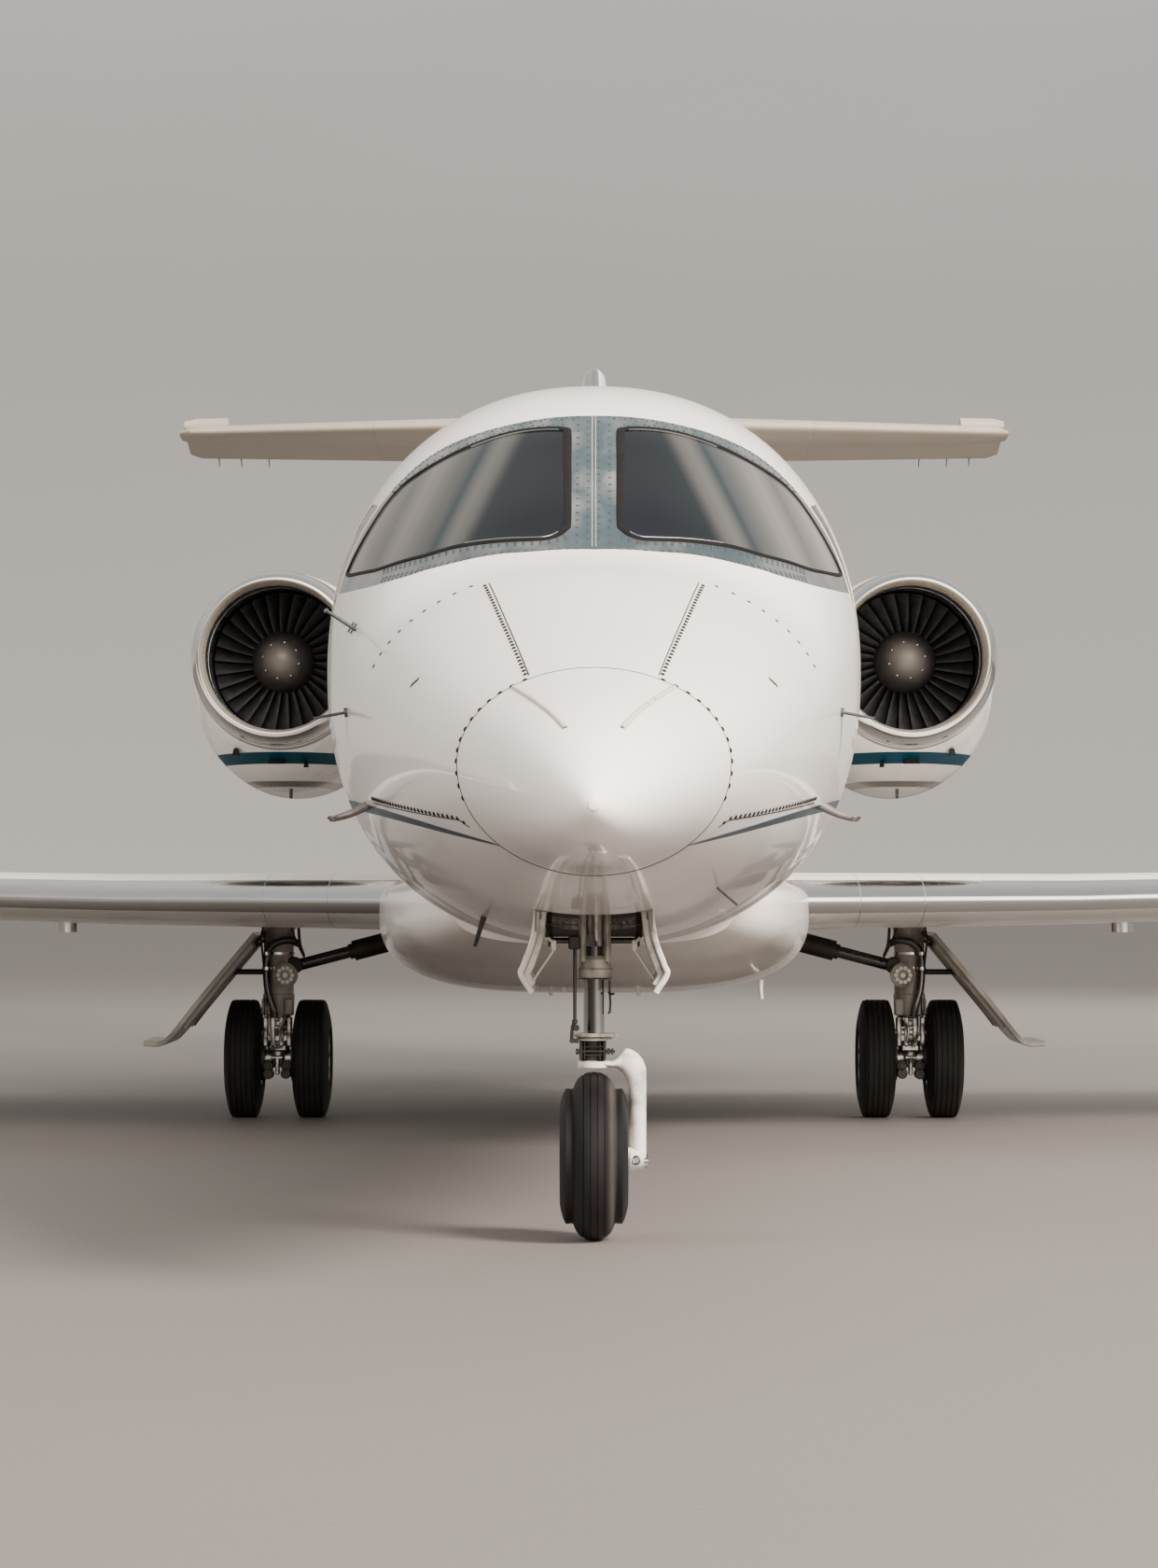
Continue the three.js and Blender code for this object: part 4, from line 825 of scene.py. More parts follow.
pane = panel([pane_edge(GASKET_NARROW * 0.5)], step=0.022, depth=PANE_THICK, both_sides=False,
    lift=-PANE_SUNK)
pair("windshield_pane_#", pane, windshield_glass, "glass", field=hull_normal, stands_for="windshield_#")
edge = pane_edge(-0.001)
piece("windshield_gaskets", both(bead(edge, gasket_width(edge), GASKET_HEIGHT)), rubber, "tyre")
inner = offset(edge, gasket_width(edge)[:, None] + 0.0025)
seen = hull(inner[:, 0], inner[:, 1] / ARC, -0.0005)
strips = []
for middle in (seen[:, 2] > 2.11, seen[:, 2] < 1.882):
    run = seen[middle & (seen[:, 0] < 0.36) & (seen[:, 0] > 0.098)]
    strips.append(rod(run[np.argsort(run[:, 0])][::3], 0.0024, 6))
piece("windshield_retainers", both(joined(*strips)), bright, "bare_metal")


def frame_rivets():
    """Staggered rows round the panes, along the foot and rear edges, and down the post."""
    rows = []
    for away, start in ((-0.01, 0), (-0.024, ROW_SHIFT)):
        row = spaced(offset(pane_edge(), away), RIVET_STEP, start)
        rows.append(row[on_hull(row)[0][:, 0] > RIVETS_FROM])
    for away, start in ((0.012, 0), (0.028, ROW_SHIFT)):
        rows.append(spaced(foot_line[2:] + (0, away), RIVET_STEP, start))
        rows.append(spaced(aft_line[1:] - (away, 0), RIVET_STEP, start))
    heights = np.arange(1.845, 2.262, POST_STEP)
    for x, shift in ((0.015, POST_STEP / 2), (0.045, 0)):
        rows.append(drawn_flat(np.full(len(heights), x), heights + shift))
    flat = np.vstack(rows)
    keep = inside_loops(flat, [frame_loop]) & ~inside_loops(flat, [offset(pane_edge(), -0.006)])
    keep &= on_hull(flat)[0][:, 0] < RIVETS_TO
    return studs(*two_sides(*on_hull(flat[keep])), RIVET, RIVET_HEIGHT)


piece("windshield_rivets", frame_rivets(), rivet_metal, "bare_metal", sharp=60)
post = np.array([(0.0, z) for z in np.linspace(1.83, 2.285, 30)])
post_line = hull(station_seen(*post.T), np.full(30, np.pi / 2))
piece("windshield_post_seams", joined(rod(post_line + (0.005, 0, 0), 0.001, 6),
        rod(post_line - (0.005, 0, 0), 0.001, 6)), sealant, "bare_metal")

# The cockpit shell
# The skin under and behind the windshield frame, with a quarter window each side. The same enamel
# covers it, and its inside is lined with pale trim.

FRAME_GAP = 0.0009
QUARTER_WINDOW = [(3.475, 2.035), (3.475, 1.745), (3.745, 1.745), (3.745, 1.985), (3.7, 2.06)]


@material("cabin_lining")
def trim(place, x, y, z):
    """Pale pressed trim with a fine leathery grain."""
    grain = place.node("TexVoronoi", {"feature": "DISTANCE_TO_EDGE"}, {"Vector": place, "Scale": 340})
    return {"Base_Color": place.noise(2, 3).mix((0.47, 0.43, 0.37), (0.56, 0.52, 0.46)),
        "Roughness": place.noise(9, 3).range(0.55, 0.75),
        "Normal": grain.bump(0.0006, 0.5)}




def drawn_beside(outline, radius, shrink=0.0):
    """An outline given in the side view (station, height), with rounded corners, on the left skin."""
    loop = offset(softened(np.asarray(outline, float), radius), shrink)
    return np.column_stack([loop[:, 0], angle_at_height(loop[:, 0], loop[:, 1]) * ARC])


quarter = drawn_beside(QUARTER_WINDOW, 0.03)
shell_loop = [(NOSE_END + HAIRLINE, UNDER), (COCKPIT_END - HAIRLINE, UNDER),
    (COCKPIT_END - HAIRLINE, OVER), *(aft_line + (FRAME_GAP, 0)),
    *(foot_line[::-1] + (-FRAME_GAP, -FRAME_GAP)), (NOSE_END + HAIRLINE, OVER)]
shell_loop = [p if k < 3 else (p[0], min(p[1], OVER)) for k, p in enumerate(shell_loop)]
piece("cockpit_skin", panel([shell_loop, quarter]), paint, "paint_white", field=hull_normal,
    stands_for="cockpit_shell", lining=trim)
pane = panel([offset(quarter, 0.004)], step=0.022, depth=0.012, both_sides=False, lift=-PANE_SUNK)
pair("quarter_pane_#", pane, glass, "glass", field=hull_normal, stands_for="cockpit_window_#")
piece("quarter_window_gaskets", both(bead(offset(quarter, -0.001), 0.006, 0.0008)), sealant, "tyre")

# The cabin
# A pressurised barrel of riveted skins, split along the window belt's top, with six windows each
# side, an entry door in two leaves on the left, and pale trim inside.

CROWN_SEAM = 2.19
WINDOW_STATIONS = (5.15, 5.8, 6.45, 7.1, 7.75, 8.3)
WINDOW_WIDE, WINDOW_TALL, WINDOW_HEIGHT, WINDOW_CORNER = 0.29, 0.39, 1.9, 0.12
DOOR_FRONT, DOOR_REAR, DOOR_FOOT, DOOR_SPLIT, DOOR_TOP = 3.96, 4.59, 1.03, 1.6, 2.18
DOOR_CORNER, DOOR_GAP, DOOR_END = 0.07, 0.004, 0.0065

stations = np.linspace(COCKPIT_END + HAIRLINE, CABIN_END - HAIRLINE, 60)
belt = np.column_stack([stations, angle_at_height(stations, CROWN_SEAM) * ARC])
crown_loop = [*belt + (0, HAIRLINE), (stations[-1], OVER), (stations[0], OVER)]
piece("cabin_crown_skin", panel([crown_loop], 0.045), paint, "paint_white", field=hull_normal,
    stands_for="cabin_crown", lining=trim)


def window_outline(station, shrink=0.0):
    """A tall window with round corners, on the left skin."""
    w, t = WINDOW_WIDE / 2, WINDOW_TALL / 2
    corners = [(station + a * w, WINDOW_HEIGHT + b * t) for a, b in ((-1, -1), (1, -1), (1, 1), (-1, 1))]
    return drawn_beside(corners, WINDOW_CORNER * 0.8, shrink)


def door_outline(low, high, shrink=0.0):
    """A door leaf's outline between two heights, on the left skin."""
    corners = [(DOOR_FRONT, low), (DOOR_REAR, low), (DOOR_REAR, high), (DOOR_FRONT, high)]
    return drawn_beside(corners, DOOR_CORNER * 0.6, shrink)


windows = [window_outline(station) for station in WINDOW_STATIONS]
side_loop = [(stations[0], UNDER), (stations[-1], UNDER), *(belt[::-1] - (0, HAIRLINE))]
doorway = door_outline(DOOR_FOOT, DOOR_TOP)
for side, holes, turn in (("left", [doorway], 1), ("right", [], -1)):
    points, faces = panel([side_loop, *windows, *holes], 0.04, both_sides=False)
    piece(f"cabin_skin_{side}", (points * (turn, 1, 1), faces), paint, "paint_white",
        field=hull_normal, stands_for=f"cabin_side_{side}", lining=trim)
panes = joined(*[panel([window_outline(station, 0.003)], 0.03, 0.012, both_sides=False, lift=-PANE_SUNK)
        for station in WINDOW_STATIONS])
pair("cabin_panes_#", panes, glass, "glass", field=hull_normal, stands_for="cabin_windows_#")
seals = joined(*[bead(offset(loop, -0.001), 0.009, 0.002) for loop in windows])
piece("cabin_window_seals", both(seals), rubber, "tyre")
for leaf, low, high in (("upper", DOOR_SPLIT, DOOR_TOP - DOOR_END), ("lower", DOOR_FOOT + DOOR_END, DOOR_SPLIT)):
    piece(f"door_skin_{leaf}", panel([door_outline(low, high, DOOR_GAP)], 0.04, both_sides=False),
        paint, "paint_white", body=f"door_{leaf}", field=hull_normal,
        stands_for=f"entry_door_{leaf}", lining=trim)

# The tail cone
# The last barrel tapers up to the tail, and carries the engines, the fin and two ventral fins.

VENTRAL_FINS = np.array([(0.0, 11.35, 1.7), (0.52, 12.15, 0.98)])
VENTRAL_CANT, VENTRAL_SIDE, VENTRAL_HEIGHT, VENTRAL_THICK = np.radians(38), 0.095, 1.56, 0.03

tail = hull_band(CABIN_END + HAIRLINE, TAIL_END, 110)
piece("tail_skin", tail, paint, "paint_white", field=hull_normal, stands_for="tail_cone")


def foil(u, thick, blunt=0.0):
    """Half thickness of a four-digit wing section at a share of its chord, in chords."""
    return 5 * thick * (0.2969 * np.sqrt(u) - 0.126 * u - 0.3516 * u ** 2 + 0.2843 * u ** 3
        - 0.1015 * u ** 4) + blunt * u


def foil_round(count=40):
    """Shares of chord round a section: from the rear, over the top to the nose and back below."""
    turn = whole_turn(2 * count)
    return (1 + np.cos(turn)) / 2, np.where(turn <= np.pi, 1.0, -1.0)


def ventral_fin():
    """Sections down the fin's length, each a slim foil canted out from the tail's foot."""
    u, face = foil_round(24)
    down, edge, chord = (VENTRAL_FINS[:, k][:, None] for k in range(3))
    half = foil(u, VENTRAL_THICK, 0.002)[None] * face[None] * chord
    out = np.array([np.sin(VENTRAL_CANT), 0, -np.cos(VENTRAL_CANT)])
    across = np.array([np.cos(VENTRAL_CANT), 0, np.sin(VENTRAL_CANT)])
    base = np.array([VENTRAL_SIDE, -MIDDLE, VENTRAL_HEIGHT])
    points = base + down[..., None] * out + half[..., None] * across
    return loft(points + (edge + u * chord)[..., None] * np.array([0, 1, 0]), closed=True, caps=True)


piece("ventral_fins", both(ventral_fin()), paint, "paint_white")

# The belly fairing
# A smooth glass-fibre tub round the wing's root and the gear wells.

FAIRING = np.array([(5.25, 0.47, 0.86, 0.722), (5.75, 0.66, 0.86, 0.64), (6.35, 0.76, 0.86, 0.552),
        (6.9, 0.795, 0.86, 0.522), (8.5, 0.795, 0.86, 0.522), (9.0, 0.74, 0.9, 0.59),
        (9.5, 0.62, 0.96, 0.73), (9.85, 0.43, 1.0, 0.88)])
FAIRING_UP, FAIRING_POWERS = 0.12, (2.5, 3.2)


def ringed(x, station, z, caps=True):
    """Closed rings of points given by side distance, station and height."""
    return loft(np.stack(np.broadcast_arrays(x, station - MIDDLE, z), -1), closed=True, caps=caps)


def fairing():
    """Sections of two half ovals, flat-bottomed, faired from nose to tail of the tub."""
    station = np.linspace(FAIRING[0, 0], FAIRING[-1, 0], 120)
    half, middle, keel = (steady(FAIRING[:, 0], FAIRING[:, k], station)[:, None] for k in (1, 2, 3))
    angle = whole_turn(144)[None]
    c, s = np.cos(angle), np.sin(angle)
    power = np.where(s >= 0, *FAIRING_POWERS)
    reach = np.where(s >= 0, FAIRING_UP, middle - keel)
    x = half * np.sign(c) * np.abs(c) ** (2 / power)
    z = middle + reach * np.sign(s) * np.abs(s) ** (2 / power)
    return ringed(x, station[:, None], z)


piece("belly_fairing_skin", fairing(), paint, "composite_white", stands_for="belly_fairing", sharp=50)

# The wings
# Riveted box wings with a polished, heated leading edge that sweeps up into winglets. Flaps and
# ailerons hang on the rear spar and turn in rounded coves.

# side distance, leading edge station, chord, height, thickness share, cant in degrees
WING = np.array([(0.56, 6.46, 2.48, 0.858, 0.088, 0), (1.8, 6.85, 2.14, 0.866, 0.09, 0),
        (4.0, 7.48, 1.66, 0.915, 0.095, 0), (6.05, 8.08, 1.21, 0.972, 0.098, 0),
        (6.28, 8.17, 1.12, 0.985, 0.095, 12), (6.48, 8.29, 1.01, 1.04, 0.09, 42),
        (6.59, 8.44, 0.88, 1.17, 0.085, 68), (6.645, 8.7, 0.64, 1.48, 0.08, 80),
        (6.675, 8.9, 0.42, 1.7, 0.075, 82)])
FLAP_SPAN, AILERON_SPAN, FLAP_SHARE = (0.9, 3.85), (4.0, 5.95), 0.74
COVE_GAP, END_GAP = 0.009, 0.007
# joints between skins: side distance or share of the chord, and half width
WING_JOINTS = ((0.97, 0.0012), (1.21, 0.0012), (2.45, 0.001), (3.7, 0.001), (4.95, 0.001))
SHARE_JOINTS = ((0.086, 0.0006), (0.35, 0.0005))
JACK_PAD = (2.05, 7.7, 0.738, 0.045)
WELL_LOW, WELL_HIGH = (0.64, 7.87, 0.4), (1.345, 8.37, 0.845)


def between(table, at):
    """Rows of a table of sections at places along its first column, on straight lines."""
    return np.column_stack([np.interp(at, table[:, 0], column) for column in table.T])


def foil_points(rows, u, height):
    """Points at a share of each section's chord and a height over it, the section canted."""
    x, edge, chord, z, _, cant = (column[:, None] for column in rows.T)
    tilt = np.radians(cant)
    y = edge + u * chord - MIDDLE
    return np.stack(np.broadcast_arrays(x - height * np.sin(tilt), y, z + height * np.cos(tilt)), -1)


def foil_height(rows, u):
    """Height of the skin over the chord line at a share of the chord."""
    return foil(u, rows[:, 4:5]) * rows[:, 2:3] + 0.002 * u


def closed_below(u, height):
    """The rings of an upper side, closed by their images below the chord."""
    return np.concatenate([u, u[:, -2:0:-1]], 1), np.concatenate([height, -height[:, -2:0:-1]], 1)


def fixed_skin(rows, cut, share, count=30, rear=9):
    """Rings of a wing. Where it is cut, its rear ends in a hollow arc round the hinge line."""
    chord, cut = rows[:, 2:3], np.asarray(cut)[:, None]
    half = foil_height(rows, np.full((len(rows), 1), share))
    arc = half + COVE_GAP
    edge = share - np.sqrt(arc ** 2 - half ** 2) / chord
    t = np.linspace(0, 1, rear)[None]
    lean = np.arcsin(half / arc) * t
    whole = 1 - (1 - edge) * t
    behind = np.where(cut, share - arc * np.cos(lean) / chord, whole)
    high = np.where(cut, arc * np.sin(lean), foil_height(rows, whole))
    ahead = edge * (1 - np.linspace(0, 1, count)[None, 1:]) ** 2
    u, height = closed_below(np.concatenate([behind, ahead], 1),
        np.concatenate([high, foil_height(rows, ahead)], 1))
    skin = loft(foil_points(rows, u, height), closed=True, caps=True)
    return skin, np.append((u * np.sign(height)).ravel(), [0.5, 0.5])


def hinged_skin(rows, share, count=10, round_count=12):
    """Rings of a flap: the skin behind the hinge line, and a round nose about that line."""
    share = np.broadcast_to(share, len(rows))[:, None]
    half = foil_height(rows, share)
    rear = 1 - (1 - share) * np.linspace(0, 1, count)[None]
    turn = np.linspace(0, np.pi / 2, round_count)[None, 1:]
    nose = share - half * np.sin(turn) / rows[:, 2:3]
    upper = np.concatenate([foil_height(rows, rear), half * np.cos(turn)], 1)
    return loft(foil_points(rows, *closed_below(np.concatenate([rear, nose], 1), upper)), closed=True, caps=True)


@material("wing_enamel", Coat_Weight=0.3, Coat_Roughness=0.08)
def wing_paint(place, x, y, z):
    """Enamel with a polished leading edge, thin joints between skins and rows of flush rivets."""
    share = place.node("Attribute", {"attribute_name": "share"}, out=2)
    side = abs(x)
    polished = share.over(-0.022, 0.0015) * share.under(0.085, 0.0015)
    joints = side.near(*WING_JOINTS[0])
    for place_and_half in WING_JOINTS[1:]:
        joints = joints.largest(side.near(*place_and_half))
    for at, half in SHARE_JOINTS:
        joints = joints.largest(abs(share).near(at, half, 0.0004))
    across, beat = side / 0.028, abs(share) * 200
    dots = (across.math("FRACT", across) - 0.5).math("POWER", across.math("FRACT", across) - 0.5, 2)
    row = beat.near(0.1 * 200, 0.6, 0.3).largest(beat.near(0.335 * 200, 0.6, 0.3))
    rivets = dots.under(0.02, 0.01) * row
    tint = place.noise(1.6, 4).mix((0.8, 0.775, 0.735), (0.87, 0.85, 0.815))
    metal = place.noise(2.2, 3, (1, 4, 1)).mix((0.6, 0.6, 0.61), (0.78, 0.775, 0.765))
    tint = (rivets * 0.35).mix(polished.mix(tint, metal), (0.25, 0.24, 0.22))
    rough = place.noise(3, 5)
    return {"Base_Color": (joints * 0.8).mix(tint, (0.06, 0.06, 0.058)),
        "Metallic": polished * (1 - joints),
        "Roughness": rough.range(0.24, 0.4) - polished * 0.16,
        "Normal": (place.noise(3.2, 2, (1, 3, 1)) * 0.0018 - joints * 0.001).bump(1.0, 0.6)}




def carve(made, *shapes, operation="DIFFERENCE"):
    """Cuts the shapes out of a finished object, or keeps what they share with it."""
    for shape in shapes:
        cutter = placed("cutter", mesh_of("cutter", shape, merge=False))
        made.modifiers.new("cut", "BOOLEAN").object = cutter
        made.modifiers["cut"].operation = operation
        bpy.context.view_layer.update()
        ready = made.evaluated_get(bpy.context.evaluated_depsgraph_get())
        made.data = bpy.data.meshes.new_from_object(ready)
        made.modifiers.clear()
        bpy.data.objects.remove(cutter)


def wing():
    """The wing's rings from root to winglet tip, doubled where a cove starts or ends."""
    (a, b), (c, d) = FLAP_SPAN, AILERON_SPAN
    at = np.array([0.56, a, a, 1.8, 2.9, b, b, c, c, 5.0, d, d, 6.0])
    cut = np.array([0, 0, 1, 1, 1, 1, 0, 0, 1, 1, 1, 0, 0], bool)
    winglet = curve_through(WING[3:], 48)
    winglet[:, 4] = np.clip(winglet[:, 4], 0.07, 0.1)
    return fixed_skin(np.vstack([between(WING, at), winglet]), np.append(cut, np.zeros(48, bool)), FLAP_SHARE)


def turned(profile, centre, count=64, reach=None):
    """A profile of (station, radius) turned about a line along Y. Its ends close on the line or on
    each other. A reach stretches it downwards: radius below the line, per profile point."""
    profile = np.asarray(profile, float)
    angle = whole_turn(count)[None]
    radius = np.broadcast_to(profile[:, 1:], (len(profile), count))
    if reach is not None:
        low = np.maximum(0, -np.sin(angle)) ** 1.6
        radius = radius + (np.asarray(reach)[:, None] - radius) * low
    x, z = centre[0] + radius * np.cos(angle), centre[1] + radius * np.sin(angle)
    return ringed(x, profile[:, :1], z, caps=False)


wing_shape, wing_share = wing()
pad_line = np.array([(0, 0, 0), (0, 0, 0.06)]) + (JACK_PAD[0], JACK_PAD[1] - MIDDLE, JACK_PAD[2])
pad = rod(pad_line, JACK_PAD[3], 32)
wing_skins = pair("wing_skin_#", wing_shape, wing_paint, "paint_white", stands_for="wing_#",
    marks={"share": wing_share})
for made, turn in zip(wing_skins, (1, -1)):
    corners = np.array([WELL_LOW, WELL_HIGH]) * (turn, 1, 1)
    carve(made, box_shape(corners.min(0), corners.max(0)))
pair("wing_jack_pad_#", pad, bright, "bare_metal")
for name, (inner, outer), between_ends in (("flap", FLAP_SPAN, (1.8, 2.9)), ("aileron", AILERON_SPAN, (5.0,))):
    rows = between(WING, np.array([inner + END_GAP, *between_ends, outer - END_GAP]))
    pair(f"{name}_skin_#", hinged_skin(rows, FLAP_SHARE), paint, "paint_white", f"{name}_#_body", f"{name}_#")

# The tail
# A swept fin with the stabilizer across its top, in a T. The elevators droop on their down stop
# and carry horn balances at their tips; the rudder hangs between two walls of the fin.

# height, leading edge station, chord, thickness share
FIN = np.array([(2.15, 10.7, 2.95, 0.06), (2.45, 11.33, 2.48, 0.068), (2.9, 12.06, 1.86, 0.078),
        (3.3, 12.61, 1.4, 0.09), (3.48, 12.79, 1.26, 0.098), (3.512, 12.81, 1.24, 0.092),
        (3.53, 12.845, 1.19, 0.076), (3.54, 12.89, 1.12, 0.052), (3.545, 12.96, 1.0, 0.014)])
RUDDER_SPAN, TAIL_SHARE = (2.385, 3.06), 0.68
# side distance, leading edge station, chord, height, thickness share
STABILIZER = np.array([(0, 13.035, 1.3, 3.285, 0.1), (1.2, 13.555, 1.06, 3.31, 0.1),
        (2.15, 13.972, 0.865, 3.33, 0.1), (2.21, 14.067, 0.72, 3.331, 0.06)])
ELEVATOR_INNER, HORN_INNER, HORN_REACH, DROOP = 0.21, 1.965, 0.27, 14


def fin_rows(heights):
    """The fin as a wing stood on end: no side distance, canted a quarter turn."""
    rows = between(FIN, np.asarray(heights))
    none = np.zeros(len(rows))
    return np.column_stack([none, rows[:, 1], rows[:, 2], rows[:, 0], rows[:, 3], none + 90])


def stabilizer_rows(places):
    """The stabilizer as a wing without cant."""
    rows = between(STABILIZER, np.asarray(places))
    return np.column_stack([rows, np.zeros(len(rows))])


def spun(points, start, end, degrees):
    """Points turned about the line from start to end: Rodrigues' formula."""
    axis = unit(end - start)
    arm, turn = points - start, np.radians(degrees)
    return (start + arm * np.cos(turn) + np.cross(axis, arm) * np.sin(turn)
        + axis * (arm @ axis)[..., None] * (1 - np.cos(turn)))


def hinge_room(start, end, reach, gap):
    """The room of a hinged surface: a slab behind its hinge line with square ends, and a round nose."""
    along = unit(end - start)
    aft = unit(np.array([0, 1, 0]) - along * along[1])
    out = np.cross(along, aft)
    turn = np.linspace(np.pi / 2, 3 * np.pi / 2, 17)[:, None]
    behind = np.array([(0, -0.25), (1.5, -0.25), (1.5, -0.12), (1.5, 0), (1.5, 0.12), (1.5, 0.25), (0, 0.25)])
    rings = [point + np.vstack([(aft * np.cos(turn) + out * np.sin(turn)) * (radius - gap), behind @ [aft, out]])
        for point, radius in ((start + along * gap, reach[0]), (end - along * gap, reach[1]))]
    return loft(np.array(rings), closed=True, caps=True)


def hinge_line(rows):
    """The ends of the line about which a tail surface turns, between two sections."""
    return foil_points(rows, np.full((2, 1), TAIL_SHARE), 0)[:, 0]


ends = fin_rows(RUDDER_SPAN)
hinge = hinge_line(ends)
reach = foil_height(ends, np.full((2, 1), TAIL_SHARE))[:, 0] + COVE_GAP + 0.002
fin_places = [2.15, 2.3, 2.45, 2.75, 2.9, 3.3, 3.42, 3.48, 3.512, 3.53, 3.54, 3.545]
fin_shape, fin_share = fixed_skin(fin_rows(fin_places), [False] * 12, TAIL_SHARE)
fin = piece("fin_skin", fin_shape, wing_paint, "paint_white", stands_for="fin", marks={"share": fin_share})
carve(fin, hinge_room(*hinge, reach, 0))
rudder_shape, _ = fixed_skin(fin_rows(fin_places[:6]), [False] * 6, TAIL_SHARE)
rudder = piece("rudder_skin", rudder_shape, paint, "paint_white", body="rudder_body", stands_for="rudder")
carve(rudder, hinge_room(*hinge, reach, 0.009), operation="INTERSECT")


@material("tail_enamel_painted_shade", Coat_Weight=0.2, Coat_Roughness=0.1)
def shaded_tail_paint(place, x, y, z):
    """Cream enamel painted down to dark tan all over as shade and reflected ground, with a few dirty joints."""
    cloud = place.noise(1.8, 5)
    joints = abs(x).near(0.2, 0.001).largest(abs(x).near(1.15, 0.001))
    # The dark tan tones are painted shade and a painted reflection of the ground.
    tint = (joints * 0.7).mix(cloud.mix((0.35, 0.295, 0.235), (0.47, 0.41, 0.335)), (0.1, 0.09, 0.08))
    return {"Base_Color": tint, "Roughness": place.noise(3, 4).range(0.3, 0.45),
        "Normal": place.noise(260, 2).bump(0.00006, 0.5)}


inner_rows = stabilizer_rows([0, ELEVATOR_INNER, ELEVATOR_INNER, 0.7, 1.2, 1.7, HORN_INNER + 0.004])
half_plane, _ = fixed_skin(inner_rows, [False] * 2 + [True] * 5, TAIL_SHARE)
outer_rows = stabilizer_rows([HORN_INNER, 2.06, 2.15, 2.18, 2.2, 2.21])
horn_share = TAIL_SHARE - HORN_REACH / outer_rows[:, 2]
tip_plane, _ = fixed_skin(outer_rows, [True] * 6, horn_share.min() - 0.01)
stabilizer = both(joined(half_plane, tip_plane))
piece("stabilizer_skin", stabilizer, shaded_tail_paint, "paint_white", stands_for="stabilizer")
main_rows = stabilizer_rows([ELEVATOR_INNER + END_GAP, 0.7, 1.2, 1.7, HORN_INNER + 0.02])
horn_rows = stabilizer_rows([HORN_INNER + END_GAP, 2.06, 2.15, 2.18, 2.2, 2.209])
horn_nose = TAIL_SHARE - (HORN_REACH - 0.012) / horn_rows[:, 2]
elevator = joined(hinged_skin(main_rows, TAIL_SHARE), hinged_skin(horn_rows, horn_nose))
elevator = (spun(elevator[0], *hinge_line(stabilizer_rows([ELEVATOR_INNER, 2.14])), -DROOP), elevator[1])
pair("elevator_skin_#", elevator, shaded_tail_paint, "paint_white", "elevator_#_body", "elevator_#")

# The engines
# Two turbofans on pylons. Each has a polished lip, a painted cowl that deepens below to house the
# gearbox, thirty twisted fan blades and a spinner with eight screws.

ENGINE = (1.315, 1.865)
LIP_FRONT, LIP_REAR, THROAT, HIGHLIGHT, LIP_OUTER = 8.75, 8.985, 0.298, 0.318, 0.366
FAN_FRONT, FAN_FACE, FAN_REAR, HUB, BLADES = 9.03, 9.23, 9.4, 0.13, 30
DUCT, NOZZLE_REAR, NOZZLE, LINER_FRONT, COWL_JOINTS = 0.314, 11.78, 0.268, 8.875, (9.62, 10.75)
# station, radius, reach below the axis
COWL = np.array([(8.985, 0.366, 0.37), (9.25, 0.382, 0.455), (9.6, 0.396, 0.545), (10.1, 0.402, 0.562),
        (10.7, 0.396, 0.535), (11.25, 0.362, 0.43), (11.78, 0.284, 0.29)])
# radius, chord, stagger in degrees
BLADE = np.array([(0.115, 0.108, 30), (0.2, 0.116, 45), (0.296, 0.122, 60)])
PYLON = np.array([(0.5, 9.35, 1.75, 1.885, 0.1, 0), (1.0, 9.35, 1.75, 1.885, 0.1, 0)])
ENGINE_STRIPE, ENGINE_STRIPE_HALF, ENGINE_BAND, ENGINE_BAND_HALF = 1.456, 0.023, 1.353, 0.012


def lip():
    """A rim of two quarter ellipses that meet at the foremost ring, closed at the rear."""
    turn = np.linspace(0, np.pi, 40)
    out = np.where(turn < np.pi / 2, HIGHLIGHT - THROAT, LIP_OUTER - HIGHLIGHT)
    radius = HIGHLIGHT - out * np.cos(turn)
    station = LIP_REAR - SEAM - (LIP_REAR - LIP_FRONT) * np.sin(turn) ** 0.9
    profile = np.column_stack([station, radius])
    return turned(np.vstack([profile, profile[:1]]), ENGINE, 96)


def cowl():
    """The cowl's outside, its exit's edge and the duct inside, as one closed wall."""
    station = np.linspace(LIP_REAR + SEAM, NOZZLE_REAR, 60)
    radius, reach = (steady(COWL[:, 0], COWL[:, k], station) for k in (1, 2))
    inside = np.array([(NOZZLE_REAR, NOZZLE), (11.2, 0.3), (10.9, DUCT), (9.3, DUCT), (LIP_REAR + SEAM, THROAT)])
    profile = np.vstack([np.column_stack([station, radius]), inside])
    low = np.concatenate([reach, inside[:, 1]])
    return turned(np.vstack([profile, profile[:1]]), ENGINE, 96, np.append(low, low[0]))


def blades():
    """Cambered, twisted sections along the radius, repeated round the hub."""
    radius = np.linspace(BLADE[0, 0], BLADE[-1, 0], 9)
    chord, stagger = (np.interp(radius, BLADE[:, 0], BLADE[:, k])[:, None] for k in (1, 2))
    turn = whole_turn(16)[None]
    u = np.cos(turn) / 2
    thick = 0.0065 - 0.0045 * (radius[:, None] - radius[0]) / (radius[-1] - radius[0])
    bow = 0.09 * chord * (1 - 4 * u ** 2) + thick * np.sin(turn) * np.sqrt(1 - 0.6 * (u + 0.1) ** 2)
    lean = np.radians(stagger)
    axial = (FAN_FACE + FAN_REAR) / 2 + u * chord * np.cos(lean) - bow * np.sin(lean)
    across = u * chord * np.sin(lean) + bow * np.cos(lean)
    swing = across / radius[:, None]
    parts = []
    for start in np.arange(BLADES) * 2 * np.pi / BLADES:
        x = ENGINE[0] + radius[:, None] * np.cos(start + swing)
        z = ENGINE[1] + radius[:, None] * np.sin(start + swing)
        parts.append(ringed(x, axial, z))
    return joined(*parts)


